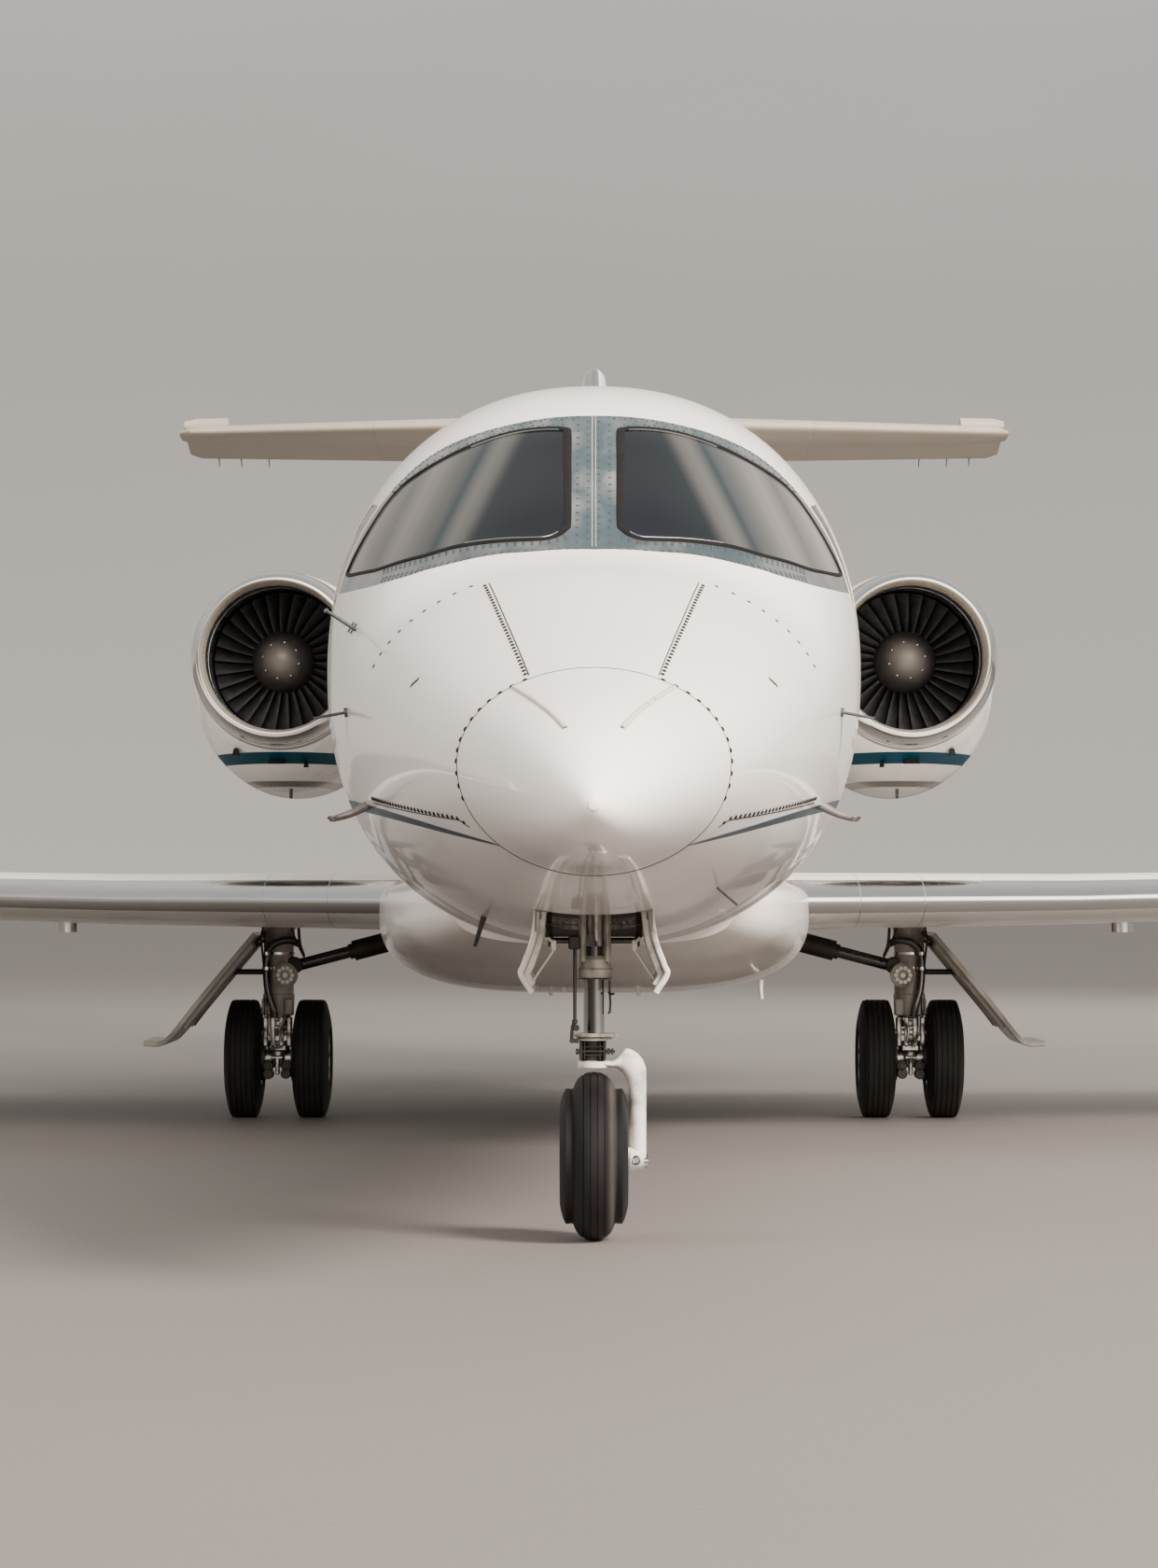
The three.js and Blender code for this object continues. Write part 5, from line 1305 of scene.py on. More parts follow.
@material("cowl_enamel", Coat_Roughness=0.06)
def cowl_paint(place, x, y, z):
    """Enamel with a teal stripe and a thin tan band that run level along the lower cowl."""
    stripe = z.near(ENGINE_STRIPE, ENGINE_STRIPE_HALF, 0.0008)
    band = z.near(ENGINE_BAND, ENGINE_BAND_HALF, 0.0008)
    tint = place.noise(1.5, 4).mix((0.84, 0.81, 0.76), (0.89, 0.87, 0.835))
    tint = band.mix(stripe.mix(tint, (0.0, 0.1, 0.17)), (0.1, 0.09, 0.075))
    first, second = (y.near(at - MIDDLE, 0.001) for at in COWL_JOINTS)
    joint = first.largest(second)
    joint = joint.largest(y.near(LIP_REAR + 0.018 - MIDDLE, 0.014))
    joint = joint.largest(z.near(ENGINE[1], 0.001) * y.over(COWL_JOINTS[0] - MIDDLE))
    soot = place.noise(6, 5).over(0.5, 0.3) * y.over(11.2 - MIDDLE, 0.4)
    tint = (soot * 0.5).mix((joint * 0.8).mix(tint, (0.05, 0.05, 0.05)), (0.16, 0.14, 0.12))
    return {"Base_Color": tint, "Roughness": place.noise(3, 5).range(0.2, 0.36) + stripe * 0.25,
        "Metallic": stripe * 0.95,
        "Coat_Weight": (1 - stripe) * 0.35,
        "Normal": (place.noise(260, 2) * 0.00005 - joint * 0.001).bump(1.0, 0.6)}


@material("spinner", Metallic=0.35)
def spinner_paint(place, x, y, z):
    """Grey-mauve painted spinner, with a painted highlight that pales its tip."""
    tint = place.noise(12, 5).mix((0.06, 0.052, 0.052), (0.085, 0.077, 0.075))
    # Paler towards the tip: a painted highlight.
    tip_highlight = y.under(FAN_FRONT + 0.05 - MIDDLE, 0.06)
    return {"Base_Color": (tip_highlight * 0.3).mix(tint, (0.17, 0.155, 0.125)),
        "Roughness": place.noise(18, 4).range(0.38, 0.52)}


@material("inlet_lip")
def lip_metal(place, x, y, z):
    """Polished outside; inside, a cream satin ring painted as the light the inner lip shows, then the grey duct
    liner.
    """
    out = x.math("POWER", abs(x) - ENGINE[0], 2) + z.math("POWER", z - ENGINE[1], 2)
    inner = out.under((HIGHLIGHT - 0.004) ** 2, 0.003)
    liner = inner * y.over(LINER_FRONT - MIDDLE, 0.012)
    swirl = place.noise(10, 5)
    # The cream ring inside the lip is painted light: it stands in for what the polished inner lip shows.
    tint = inner.mix(swirl.mix((0.66, 0.65, 0.63), (0.8, 0.79, 0.77)), (0.62, 0.55, 0.46))
    return {"Base_Color": liner.mix(tint, (0.055, 0.06, 0.064)), "Metallic": 1 - inner * 0.4,
        "Roughness": swirl.range(0.07, 0.2) + inner * 0.1, "Normal": place.noise(3.5, 2).bump(0.002, 0.15)}


blade_metal = clouded("fan_blades", (30, 5), ((0.022, 0.022, 0.024), (0.085, 0.084, 0.085)), (0.28, 0.5),
    (0.0002, 0.5, 120, 3), Metallic=0.8)
core_metal = clouded("engine_core", (9, 5), ((0.02, 0.02, 0.02), (0.09, 0.08, 0.07)), (0.4, 0.65, 14, 4),
    Metallic=0.7)

cone_turn = np.linspace(0, np.pi / 2, 24)
cone = np.column_stack([FAN_FACE - (FAN_FACE - FAN_FRONT) * np.cos(cone_turn) ** 1.15, HUB * np.sin(cone_turn)])
hub_end = [(FAN_REAR, HUB), (FAN_REAR + 0.03, HUB * 0.75), (FAN_REAR + 0.03, 0)]
spinner = turned(np.vstack([cone, hub_end]), ENGINE, 64)
screw_turn = np.arange(8) * np.pi / 4 + 0.2
screw_radius, screw_station = 0.078, np.interp(0.078, cone[:, 1], cone[:, 0])
screw_out = np.column_stack([np.cos(screw_turn), np.zeros(8), np.sin(screw_turn)])
screw_points = (ENGINE[0], screw_station - MIDDLE, ENGINE[1]) + screw_radius * screw_out
screw_normals = (screw_out + (0, -0.85, 0)) / np.hypot(1, 0.85)
screws = studs(screw_points, screw_normals, 0.0052, 0.003, 10)
lining = turned([(LIP_REAR + 0.003, THROAT + 0.003), (9.12, THROAT + 0.004), (9.16, DUCT - 0.01),
        (FAN_REAR, DUCT - 0.01), (FAN_REAR, DUCT - 0.003), (9.16, DUCT - 0.003),
        (LIP_REAR + 0.003, THROAT + 0.008), (LIP_REAR + 0.003, THROAT + 0.003)], ENGINE, 96)
pylon_u = foil_round(30)
pylon_height = foil(pylon_u[0][None], 0.1) * 1.75 * pylon_u[1][None]
pylon = loft(foil_points(PYLON, np.tile(pylon_u[0], (2, 1)), np.tile(pylon_height, (2, 1))), closed=True, caps=True)
fan_blades, lip_shape, cowl_shape = blades(), lip(), cowl()
lip_seam = turned([(LIP_REAR - 0.01, LIP_OUTER - 0.006), (LIP_REAR - 0.01, LIP_OUTER + 0.0006),
        (LIP_REAR + 0.01, LIP_OUTER + 0.0026), (LIP_REAR + 0.01, LIP_OUTER - 0.006),
        (LIP_REAR - 0.01, LIP_OUTER - 0.006)], ENGINE, 96)
pair("inlet_lip_skin_#", lip_shape, lip_metal, "bare_metal", sharp=60, stands_for="inlet_lip_#")
pair("cowl_skin_#", cowl_shape, cowl_paint, "composite_white", sharp=40, stands_for="nacelle_#")
pair("inlet_lining_#", lining, lip_metal, "engine_metal", sharp=40)
pair("inlet_seam_#", lip_seam, rubber, "tyre")
pair("fan_blades_#", fan_blades, blade_metal, "engine_metal", "fan_#_body", "fan_#", sharp=50)
pair("spinner_#", spinner, spinner_paint, "engine_metal", "fan_#_body")
pair("spinner_screws_#", screws, bright, "bare_metal", "fan_#_body")
pair("pylon_skin_#", pylon, paint, "paint_white", stands_for="pylon_#")
for side in ("left", "right"):
    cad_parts[f"engine_core_{side}"].material_slots[0].material = core_metal

# The main gear
# A painted steel leg with twin wheels each side, a black folding brace and its actuator, a landing
# light, brake hoses held by clamps, and a curved outer door that hangs from the leg by a link.

LEG_X, LEG_STATION, LEG_TOP = 1.252, 8.1, 0.8447
MAIN_TYRE, MAIN_WIDTH, MAIN_BEAD, WHEEL_SPACING, MAIN_AXLE = 0.233, 0.147, 0.118, 0.268, 0.036
BRACE_OUTER, BRACE_INNER, BRACE_RADIUS = (1.19, 0.599), (0.777, 0.706), 0.024
LAMP_PLACE, LAMP_RADIUS, LAMP_CELLS = (1.22, 7.985, 0.565), 0.05, 10
MAIN_DOOR_CURVE = [(1.33, 0.728), (1.44, 0.596), (1.57, 0.438), (1.655, 0.33), (1.7, 0.299), (1.765, 0.3)]
MAIN_DOOR_STATIONS, MAIN_DOOR_THICK, LINK_HEIGHT = (7.85, 8.35), 0.02, 0.576
GROOVE_DEPTH, GROOVE_HALF = 0.005, 0.0026


def wheel_turned(profile, centre, count=72):
    """A profile of (side distance, radius) turned about a line along X."""
    profile = np.asarray(profile, float)
    angle = whole_turn(count)[None]
    out = profile[:, 1:]
    return ringed(centre[0] + profile[:, :1], centre[1] + out * np.cos(angle), centre[2] + out * np.sin(angle),
        caps=False)


def tyre(half, centre, grooves, share=1.0):
    """Half a section from bead to crown, mirrored, with grooves cut in the crown, turned."""
    half = curve_through(half, 60)
    whole = np.vstack([half, half[-2::-1] * (-1, 1)])
    reach, cut = max(grooves) + 3 * GROOVE_HALF, share * GROOVE_HALF
    tread = (np.abs(whole[:, 0]) < reach) & (whole[:, 1] > 0.8 * whole[:, 1].max())
    edges = np.add.outer(grooves, np.array([-1.0, -0.7, 0.7, 1.0]) * cut).ravel()
    side = np.sort(np.concatenate([np.linspace(-reach, reach, 20), edges]))[::-1]
    height = np.interp(-side, -whole[tread, 0], whole[tread, 1])
    near = np.abs(side[:, None] - np.asarray(grooves)[None]).min(1)
    height -= share * GROOVE_DEPTH * (near < 0.8 * cut)
    first, last = np.flatnonzero(tread)[[0, -1]]
    ring = np.vstack([whole[:first], np.column_stack([side, height]), whole[last + 1:]])
    return wheel_turned(np.vstack([ring, ring[:1]]), centre, 80)


@material("tyre_rubber", IOR=1.35)
def tyre_rubber(place, x, y, z):
    """Black rubber, greyed by dust on the sidewalls and browner towards the floor."""
    dust = place.noise(14, 5)
    tint = dust.range(-0.2, 1.1).mix((0.004, 0.0038, 0.0036), (0.019, 0.017, 0.015))
    low = z.under(0.08, 0.05)
    return {"Base_Color": (low * 0.4).mix(tint, (0.035, 0.03, 0.025)),
        "Roughness": dust.range(0.55, 0.9),
        "Normal": place.noise(220, 3).bump(0.0004, 0.6)}


@material("forged_metal")
def forging(place, x, y, z):
    """Bright forged and machined metal with grease in its corners."""
    grease = place.noise(28, 5)
    tint = grease.ramp((0.36, (0.03, 0.028, 0.025)), (0.5, (0.42, 0.4, 0.37)), (0.7, (0.72, 0.7, 0.66)))
    return {"Base_Color": tint, "Roughness": grease.range(0.25, 0.5), "Metallic": grease.over(0.42, 0.1),
        "Normal": place.noise(90, 3).bump(0.0008, 0.5)}


leg_paint = clouded("leg_paint", (16, 5, (1, 1, 0.25)), ((0.3, (0.12, 0.105, 0.09)), (0.5, (0.3, 0.27, 0.235)),
        (0.75, (0.42, 0.385, 0.34))), (0.35, 0.6), (0.0006, 0.5, 70, 4), Coat_Weight=0.3)
black_gloss = clouded("black_gloss", (24, 5), ((0.01, 0.01, 0.011), (0.045, 0.043, 0.04)), (0.12, 0.35),
    Coat_Weight=0.8, Coat_Roughness=0.05)
door_paint = clouded("gear_door_paint", (7, 6, (1, 1, 0.5)),
    ((0.3, (0.16, 0.145, 0.125)), (0.52, (0.36, 0.335, 0.3)),
        (0.75, (0.56, 0.53, 0.48))), (0.3, 0.55), (0.0006, 0.4, 50, 3), Coat_Weight=0.2)

MAIN_SECTION = [(0.0615, MAIN_BEAD), (0.069, 0.128), (0.073, 0.142), (0.07, 0.164), (0.0645, 0.19),
    (0.058, 0.213), (0.052, 0.2265), (0.044, 0.2318), (0.03, 0.2328), (0.0, 0.233)]
MAIN_GROOVES = (-0.042, -0.021, 0.0, 0.021, 0.042)


def main_wheel(centre, face):
    """A dished rim: hub cap, web, bead seat and the inner drum, turned. Face is its outer side."""
    half = MAIN_WIDTH / 2
    rim = [(half - 0.024, 0), (half - 0.024, 0.026), (half - 0.03, 0.03), (half - 0.03, 0.046),
        (half - 0.042, 0.052), (half - 0.046, 0.078), (half - 0.026, 0.094), (half - 0.013, 0.106),
        (half - 0.011, MAIN_BEAD - 0.0004), (0.011 - half, MAIN_BEAD - 0.0004), (0.014 - half, 0.106),
        (0.03 - half, 0.094), (0.034 - half, 0.05), (0.026 - half, 0.046), (0.026 - half, 0)]
    return wheel_turned(np.array(rim) * (face, 1), centre, 64)


def wheel_bolts(centre, side, radius, count, size):
    """A ring of bolt heads on a wheel's face."""
    turn = np.arange(count) * 2 * np.pi / count
    points = np.column_stack([np.full(count, centre[0] + side), centre[1] - MIDDLE + radius * np.cos(turn),
            centre[2] + radius * np.sin(turn)])
    return studs(points, np.tile([np.sign(side), 0.0, 0.0], (count, 1)), size, size * 0.9, 6)


def disc(centre, radius, depth, count=40, edge=0.15):
    """A short round body along Y with chamfered rims: front station, radius, depth."""
    x, station, z = centre
    cut = radius * edge
    profile = [(station, 0), (station, radius - cut), (station + cut, radius), (station + depth, radius),
        (station + depth, 0)]
    return turned(profile, (x, z), count)


def upright(x, station, *rings, count=40):
    """Rings of (height, radius) about an upright line."""
    height, radius = np.array(rings).T[..., None]
    angle = whole_turn(count)[None]
    return ringed(x + radius * np.cos(angle), station + radius * np.sin(angle), height)


def line(*points, count=24):
    """A straight line or a curve through points given as (side, station, height)."""
    points = np.array(points) - (0, MIDDLE, 0)
    return curve_through(points, count) if len(points) > 2 else np.linspace(*points, 3)


def bar(radius, sides, *points, count=24):
    """A rod along such a line."""
    return rod(line(*points, count=count), radius, sides)


def plate(curve, stations, thick, bevel=0.003):
    """A plate: a curve of (side, height) thickened across itself and carried between stations."""
    curve = np.asarray(curve, float)
    along = unit(np.gradient(curve, axis=0))
    across = np.column_stack([-along[:, 1], along[:, 0]]) * thick / 2
    rows = []
    for station, inset in ((stations[0], bevel), (stations[0] + bevel, 0), (stations[1] - bevel, 0),
            (stations[1], bevel)):
        share = 1 - inset * 2 / thick
        outline = np.vstack([curve + across * share, (curve - across * share)[::-1]])
        rows.append(np.column_stack([outline[:, 0], np.full(len(outline), station - MIDDLE), outline[:, 1]]))
    points = np.array(rows)
    count = len(curve)
    shape, faces = loft(points, closed=True)
    index = np.arange(points.shape[0] * points.shape[1]).reshape(points.shape[:2])
    ends = []
    for row in (index[0], index[-1]):
        front, back = row[:count], row[count:][::-1]
        ends.append(np.column_stack([front[:-1], front[1:], back[1:], back[:-1]]))
    return shape, np.vstack([faces, *ends])


def pin(radius, sides, start, end, station, height):
    """A rod along X from one side distance to another."""
    return bar(radius, sides, (start, station, height), (end, station, height))


axle_height = MAIN_TYRE
outer_wheel = (LEG_X + WHEEL_SPACING / 2, LEG_STATION, axle_height)
inner_wheel = (LEG_X - WHEEL_SPACING / 2, LEG_STATION, axle_height)
tyres = {"outer": tyre(MAIN_SECTION, outer_wheel, MAIN_GROOVES),
    "inner": tyre(MAIN_SECTION, inner_wheel, MAIN_GROOVES)}
axle = bar(MAIN_AXLE, 32, inner_wheel, outer_wheel)
wheels = joined(main_wheel(outer_wheel, 1), main_wheel(inner_wheel, -1), axle)
bolts = joined(wheel_bolts(outer_wheel, MAIN_WIDTH / 2 - 0.0455, 0.066, 10, 0.0055),
    wheel_bolts(inner_wheel, -(MAIN_WIDTH / 2 - 0.0455), 0.066, 10, 0.0055))
leg = joined(
    upright(LEG_X, LEG_STATION, (0.402, 0.05), (0.405, 0.06), (0.48, 0.0635), (0.487, 0.0635), (0.49, 0.06),
        (0.69, 0.06), (0.697, 0.0635), (0.742, 0.0635), (0.75, 0.068),
        (0.775, 0.068), (0.782, 0.06), (LEG_TOP, 0.06)),
    upright(LEG_X, LEG_STATION, (0.772, 0.08), (0.776, 0.105), (0.786, 0.108), (0.79, 0.09)),
    *[box_shape((LEG_X + low, 8.032, 0.404), (LEG_X + high, 8.06, 0.472), 0.006)
        for low, high in ((-0.062, -0.024), (0.018, 0.046), (0.05, 0.064))])
fitting = joined(
    upright(LEG_X, LEG_STATION, (0.215, 0.034), (0.222, 0.044), (0.404, 0.046)),
    *[box_shape((LEG_X + a - 0.01, 8.022, 0.282), (LEG_X + a + 0.01, 8.08, 0.4), 0.005)
        for a in (-0.046, -0.016, 0.018, 0.048)],
    *[box_shape((LEG_X - half, front, low), (LEG_X + half, 8.085, high), 0.006)
        for half, front, low, high in ((0.06, 8.03, 0.3, 0.33), (0.05, 8.026, 0.35, 0.366),
            (0.056, 8.032, 0.382, 0.398), (0.036, 8.034, 0.262, 0.29))],
    pin(0.013, 16, LEG_X - 0.072, LEG_X + 0.072, 8.04, 0.338),
    bar(0.006, 10, (LEG_X - 0.03, 8.02, 0.396), (LEG_X - 0.01, 8.01, 0.35), (LEG_X - 0.018, 8.014, 0.3)),
    bar(0.005, 10, (LEG_X + 0.034, 8.02, 0.4), (LEG_X + 0.03, 8.008, 0.34), (LEG_X + 0.008, 8.014, 0.28)),
    box_shape((LEG_X - 0.024, 8.014, 0.232), (LEG_X + 0.024, 8.07, 0.246), 0.004),
    box_shape((LEG_X - 0.008, 8.014, 0.17), (LEG_X + 0.008, 8.07, 0.24), 0.004),
    bar(0.04, 32, (LEG_X, LEG_STATION, 0.29), (LEG_X, LEG_STATION, 0.2)))
brakes = joined(
    *[disc((LEG_X + side, 8.004, height), 0.021, 0.07, 28) for side, height in
        ((-0.036, 0.206), (0.036, 0.206), (-0.034, 0.176), (0.036, 0.174))],
    *[disc((LEG_X + side, 7.998, 0.206), 0.011, 0.01, 20) for side in (-0.036, 0.036)],
    *[pin(0.088, 40, LEG_X + start, LEG_X + end, LEG_STATION, axle_height)
        for start, end in ((-0.052, -0.07), (0.052, 0.07))],
    disc((LEG_X + 0.06, 8.03, 0.32), 0.022, 0.04, 24))
brace = bar(BRACE_RADIUS, 24, (BRACE_OUTER[0], LEG_STATION, BRACE_OUTER[1]),
    (BRACE_INNER[0], LEG_STATION, BRACE_INNER[1]))
actuator = joined(
    bar(0.04, 28, (0.955, LEG_STATION, 0.6595), (0.8, LEG_STATION, 0.7)),
    bar(0.03, 28, (0.972, LEG_STATION, 0.655), (0.95, LEG_STATION, 0.6607)),
    disc((0.777, LEG_STATION - 0.042, 0.706), 0.036, 0.084, 32),
    upright(0.777, LEG_STATION, (0.686, 0.03), (0.845, 0.03), count=24),
    disc((1.19, LEG_STATION - 0.046, 0.602), 0.034, 0.06, 28),
    bar(0.006, 10, (1.15, 8.064, 0.64), (1.165, 8.046, 0.69), (1.172, 8.05, 0.77)),
    bar(0.004, 10, (1.14, 8.07, 0.615), (1.18, 8.04, 0.7), (1.205, 8.04, 0.775)))
hose = joined(
    bar(0.015, 16, (1.176, 8.06, 0.69), (1.2, 8.028, 0.702), (1.24, 8.018, 0.698), (1.275, 8.022, 0.678),
        (1.294, 8.026, 0.64), (1.296, 8.024, 0.58), (1.29, 8.018, 0.51), (1.27, 8.01, 0.44),
        (1.262, 8.014, 0.4), count=70),
    bar(0.0045, 10, (1.312, 8.06, 0.76), (1.318, 8.05, 0.7), (1.308, 8.044, 0.6), (1.298, 8.034, 0.48),
        (1.3, 8.03, 0.4), count=50))
clamps = joined(*[upright(LEG_X, LEG_STATION, (h - 0.006, 0.0632), (h - 0.005, 0.0655), (h + 0.005, 0.0655),
            (h + 0.006, 0.0632)) for h in (0.65, 0.591)],
    *[bar(0.0175, 16, (1.296, 8.024, h - 0.006), (1.296, 8.024, h + 0.006)) for h in (0.65, 0.591)])
door_line = curve_through(MAIN_DOOR_CURVE, 40)
link_x = np.interp(-LINK_HEIGHT, -door_line[:, 1], door_line[:, 0]) - MAIN_DOOR_THICK / 2 + 0.004
link = joined(pin(0.011, 16, LEG_X + 0.05, link_x, LEG_STATION, LINK_HEIGHT),
    bar(0.014, 16, (link_x - 0.012, LEG_STATION - 0.02, LINK_HEIGHT),
        (link_x - 0.012, LEG_STATION + 0.02, LINK_HEIGHT)),
    bar(0.008, 12, (1.3, 8.06, 0.735), (1.345, 8.05, 0.69)),
    bar(0.006, 12, (1.308, 8.06, 0.7), (1.356, 8.05, 0.668)))
door_plate = plate(door_line, MAIN_DOOR_STATIONS, MAIN_DOOR_THICK, 0.004)
rib_line = door_line[(door_line[:, 1] > 0.36) & (door_line[:, 1] < 0.7)] - (0.012, 0.008)
ribs = joined(*[plate(rib_line, (s - 0.008, s + 0.008), 0.022, 0.002) for s in (7.9, 8.02, 8.18, 8.3)])


def landing_light():
    """A drum with a rolled rim; in it a dark bowl with a ring of bright round cells and one middle."""
    x, station, z = LAMP_PLACE
    bowl = [(station + 0.03, LAMP_RADIUS), (station + 0.004, LAMP_RADIUS), (station, LAMP_RADIUS - 0.003),
        (station + 0.001, LAMP_RADIUS - 0.007), (station + 0.012, LAMP_RADIUS - 0.009), (station + 0.012, 0)]
    back = [(station + 0.03, LAMP_RADIUS), (station + 0.052, 0.036), (station + 0.09, 0.02), (station + 0.09, 0)]
    drum = turned(bowl[::-1] + back, (x, z), 48)
    turn = np.arange(LAMP_CELLS) * 2 * np.pi / LAMP_CELLS
    cells = [disc((x + 0.0285 * np.cos(t), station + 0.0045, z + 0.0285 * np.sin(t)), 0.008, 0.009, 18, 0.3)
        for t in turn]
    return drum, joined(*cells, disc((x, station + 0.0045, z), 0.0105, 0.009, 18, 0.3))


lamp_drum, lamp_cells = landing_light()
cell_glass = clouded("lamp_cells", (160, 2), ((0.72, 0.69, 0.58), (0.95, 0.93, 0.85)), (0.08, 0.3, 90, 2),
    Coat_Weight=1.0)
for place, shape in tyres.items():
    pair(f"main_tyre_#_{place}_tread", shape, tyre_rubber, "tyre", "main_wheels_#", f"main_tyre_#_{place}",
        sharp=40)
pair("main_rims_#", wheels, forging, "gear_metal", "main_wheels_#", "main_wheel_#")
pair("main_wheel_bolts_#", bolts, bright, "gear_metal", "main_wheels_#")
pair("main_leg_#", leg, leg_paint, "gear_metal", stands_for="main_strut_#")
pair("main_door_plate_#", joined(door_plate, ribs), door_paint, "gear_white", stands_for="main_gear_door_#")
for name, shape, finish, slot in (
        ("main_leg_fitting_#", fitting, forging, "gear_metal"), ("main_brakes_#", brakes, core_metal, "gear_metal"),
        ("main_brace_#", brace, black_gloss, "gear_metal"), ("main_actuator_#", actuator, core_metal, "gear_metal"),
        ("main_hoses_#", hose, black_gloss, "tyre"), ("main_hose_clamps_#", clamps, bright, "bare_metal"),
        ("main_door_link_#", link, core_metal, "gear_metal"), ("landing_light_#", lamp_drum, leg_paint,
            "gear_metal"),
        ("landing_light_cells_#", lamp_cells, cell_glass, "glass")):
    pair(name, shape, finish, slot)

# The nose gear
# One painted leg with a chromed piston, a bolted collar and a one-sided fork. Its single tyre has a
# shelf moulded round each shoulder to throw water clear of the engines; two doors close the bay.

NOSE_STATION, NOSE_RADIUS, NOSE_BEAD, NOSE_AXLE = 1.95, 0.2175, 0.095, 0.018
NOSE_SECTION = [(0.064, NOSE_BEAD), (0.078, 0.1), (0.087, 0.112), (0.088, 0.128), (0.082, 0.154),
    (0.0745, 0.172), (0.069, 0.1745), (0.058, 0.1735), (0.0535, 0.176), (0.05, 0.185),
    (0.042, 0.199), (0.028, 0.211), (0.013, 0.2163), (0.0, NOSE_RADIUS)]
NOSE_GROOVES = (-0.027, -0.009, 0.009, 0.027)
FORK_OUTER = [(0.03, 0.4655), (0.045, 0.464), (0.058, 0.472), (0.07, 0.486), (0.0834, 0.496), (0.101, 0.491),
    (0.12, 0.476), (0.131, 0.456), (0.1354, 0.428), (0.1354, 0.32), (0.1354, 0.2)]
FORK_INNER = [(0.03, 0.446), (0.0447, 0.4455), (0.056, 0.444), (0.066, 0.439), (0.0762, 0.43), (0.083, 0.419),
    (0.088, 0.404), (0.0905, 0.386), (0.0919, 0.36), (0.093, 0.3), (0.0935, 0.24)]
FORK_DEPTH = [0.034, 0.032, 0.03, 0.029, 0.028, 0.027, 0.026, 0.025, 0.024, 0.023, 0.023]
NOSE_DOOR_CURVE = [(0.1457, 0.892), (0.1462, 0.85), (0.156, 0.78), (0.179, 0.715), (0.186, 0.69), (0.158, 0.644)]
NOSE_DOOR_STATIONS, NOSE_DOOR_THICK = (1.77, 2.27), 0.015


@material("hard_chrome", Metallic=1.0)
def chrome(place, x, y, z):
    """Hard chrome with a dark streak down its middle: a painted reflection."""
    chrome_noise = place.noise(20, 4, (1, 1, 0.3))
    # A dark band down the middle, wobbled by the noise: a painted reflection of the dark ground behind the camera.
    streak = (x + chrome_noise * 0.006).near(-0.002, 0.011, 0.007)
    return {"Base_Color": (streak * 0.85).mix(chrome_noise.mix((0.46, 0.46, 0.46), (0.62, 0.61, 0.6)), (0.03, 0.03, 0.03)),
        "Roughness": chrome_noise.range(0.03, 0.1)}


@material("nose_tyre_rubber", IOR=1.4)
def nose_tyre_rubber(place, x, y, z):
    """Black rubber with a blue-grey sheen, and a worn dusty brown band on one shoulder."""
    dust = place.noise(16, 5)
    tint = dust.range(0.0, 1.1).mix((0.003, 0.003, 0.0035), (0.011, 0.0105, 0.0105))
    worn = x.near(0.047, 0.007, 0.008) * dust.range(0.5, 1.0)
    return {"Base_Color": (worn * 0.8).mix(tint, (0.075, 0.06, 0.05)), "Roughness": dust.range(0.45, 0.8),
        "Normal": place.noise(240, 3).bump(0.0004, 0.5)}


cream = clouded("cream_enamel", (22, 5), ((0.3, (0.4, 0.37, 0.32)), (0.46, (0.66, 0.63, 0.575)),
        (0.7, (0.74, 0.71, 0.66))), (0.2, 0.4), (0.0004, 0.4, 60, 3), Coat_Weight=0.5, Coat_Roughness=0.1)
casting_paint = clouded("casting_paint", (30, 5, (1, 1, 0.4)), ((0.33, (0.08, 0.07, 0.058)),
        (0.5, (0.3, 0.275, 0.235)), (0.72, (0.44, 0.41, 0.36))), (0.3, 0.55),
    (0.0008, 0.6, 120, 4), Coat_Weight=0.15)


def fork_arm(count=56, around=28):
    """Ellipses across the fork's outline: each spans the outer and inner curves and has its depth."""
    outer, inner = (curve_through(curve, count) for curve in (FORK_OUTER, FORK_INNER))
    depth = np.interp(np.linspace(0, 1, count), np.linspace(0, 1, len(FORK_DEPTH)), FORK_DEPTH)
    middle, half = (outer + inner) / 2, (outer - inner) / 2
    turn = whole_turn(around)[None]
    x = middle[:, :1] + half[:, :1] * np.cos(turn)
    z = middle[:, 1:] + half[:, 1:] * np.cos(turn)
    return ringed(x, NOSE_STATION + depth[:, None] * np.sin(turn), z)


def nose_wheel(centre):
    """A dished rim with a bead flange on each side, turned."""
    half = np.array([(0.052, 0), (0.052, 0.026), (0.04, 0.032), (0.03, 0.06), (0.044, 0.078), (0.064, 0.086),
            (0.068, 0.092), (0.066, NOSE_BEAD - 0.0004)])
    return wheel_turned(np.vstack([half, half[::-1] * (-1, 1)]), centre, 64)


nose_centre = (0.0, NOSE_STATION, NOSE_RADIUS)
casting = joined(
    upright(0.004, NOSE_STATION, (0.677, 0.034), (0.679, 0.0435), (0.683, 0.0445), (0.7, 0.0445), (0.704, 0.041),
        (0.726, 0.039), (0.735, 0.03)),
    *[box_shape((low, 1.915, 0.715), (high, 1.985, 1.12), 0.006)
        for low, high in ((-0.038, -0.02), (0.026, 0.044))],
    box_shape((-0.038, 1.962, 0.73), (0.044, 1.985, 1.15), 0.006),
    bar(0.007, 16, (-0.01, 1.935, 0.79), (-0.01, 1.935, 1.12)),
    bar(0.009, 16, (0.014, 1.945, 0.76), (0.014, 1.945, 1.12)),
    pin(0.03, 28, -0.1457, 0.1457, NOSE_STATION, 1.05))
casting_foot = upright(0.003, NOSE_STATION, (0.6745, 0.03), (0.6748, 0.0475), (0.6768, 0.0475), (0.677, 0.03))
finger = bar(np.linspace(0.006, 0.003, 24), 14, (0.006, 1.905, 0.845), (0.006, 1.903, 0.8), (0.007, 1.903, 0.774))
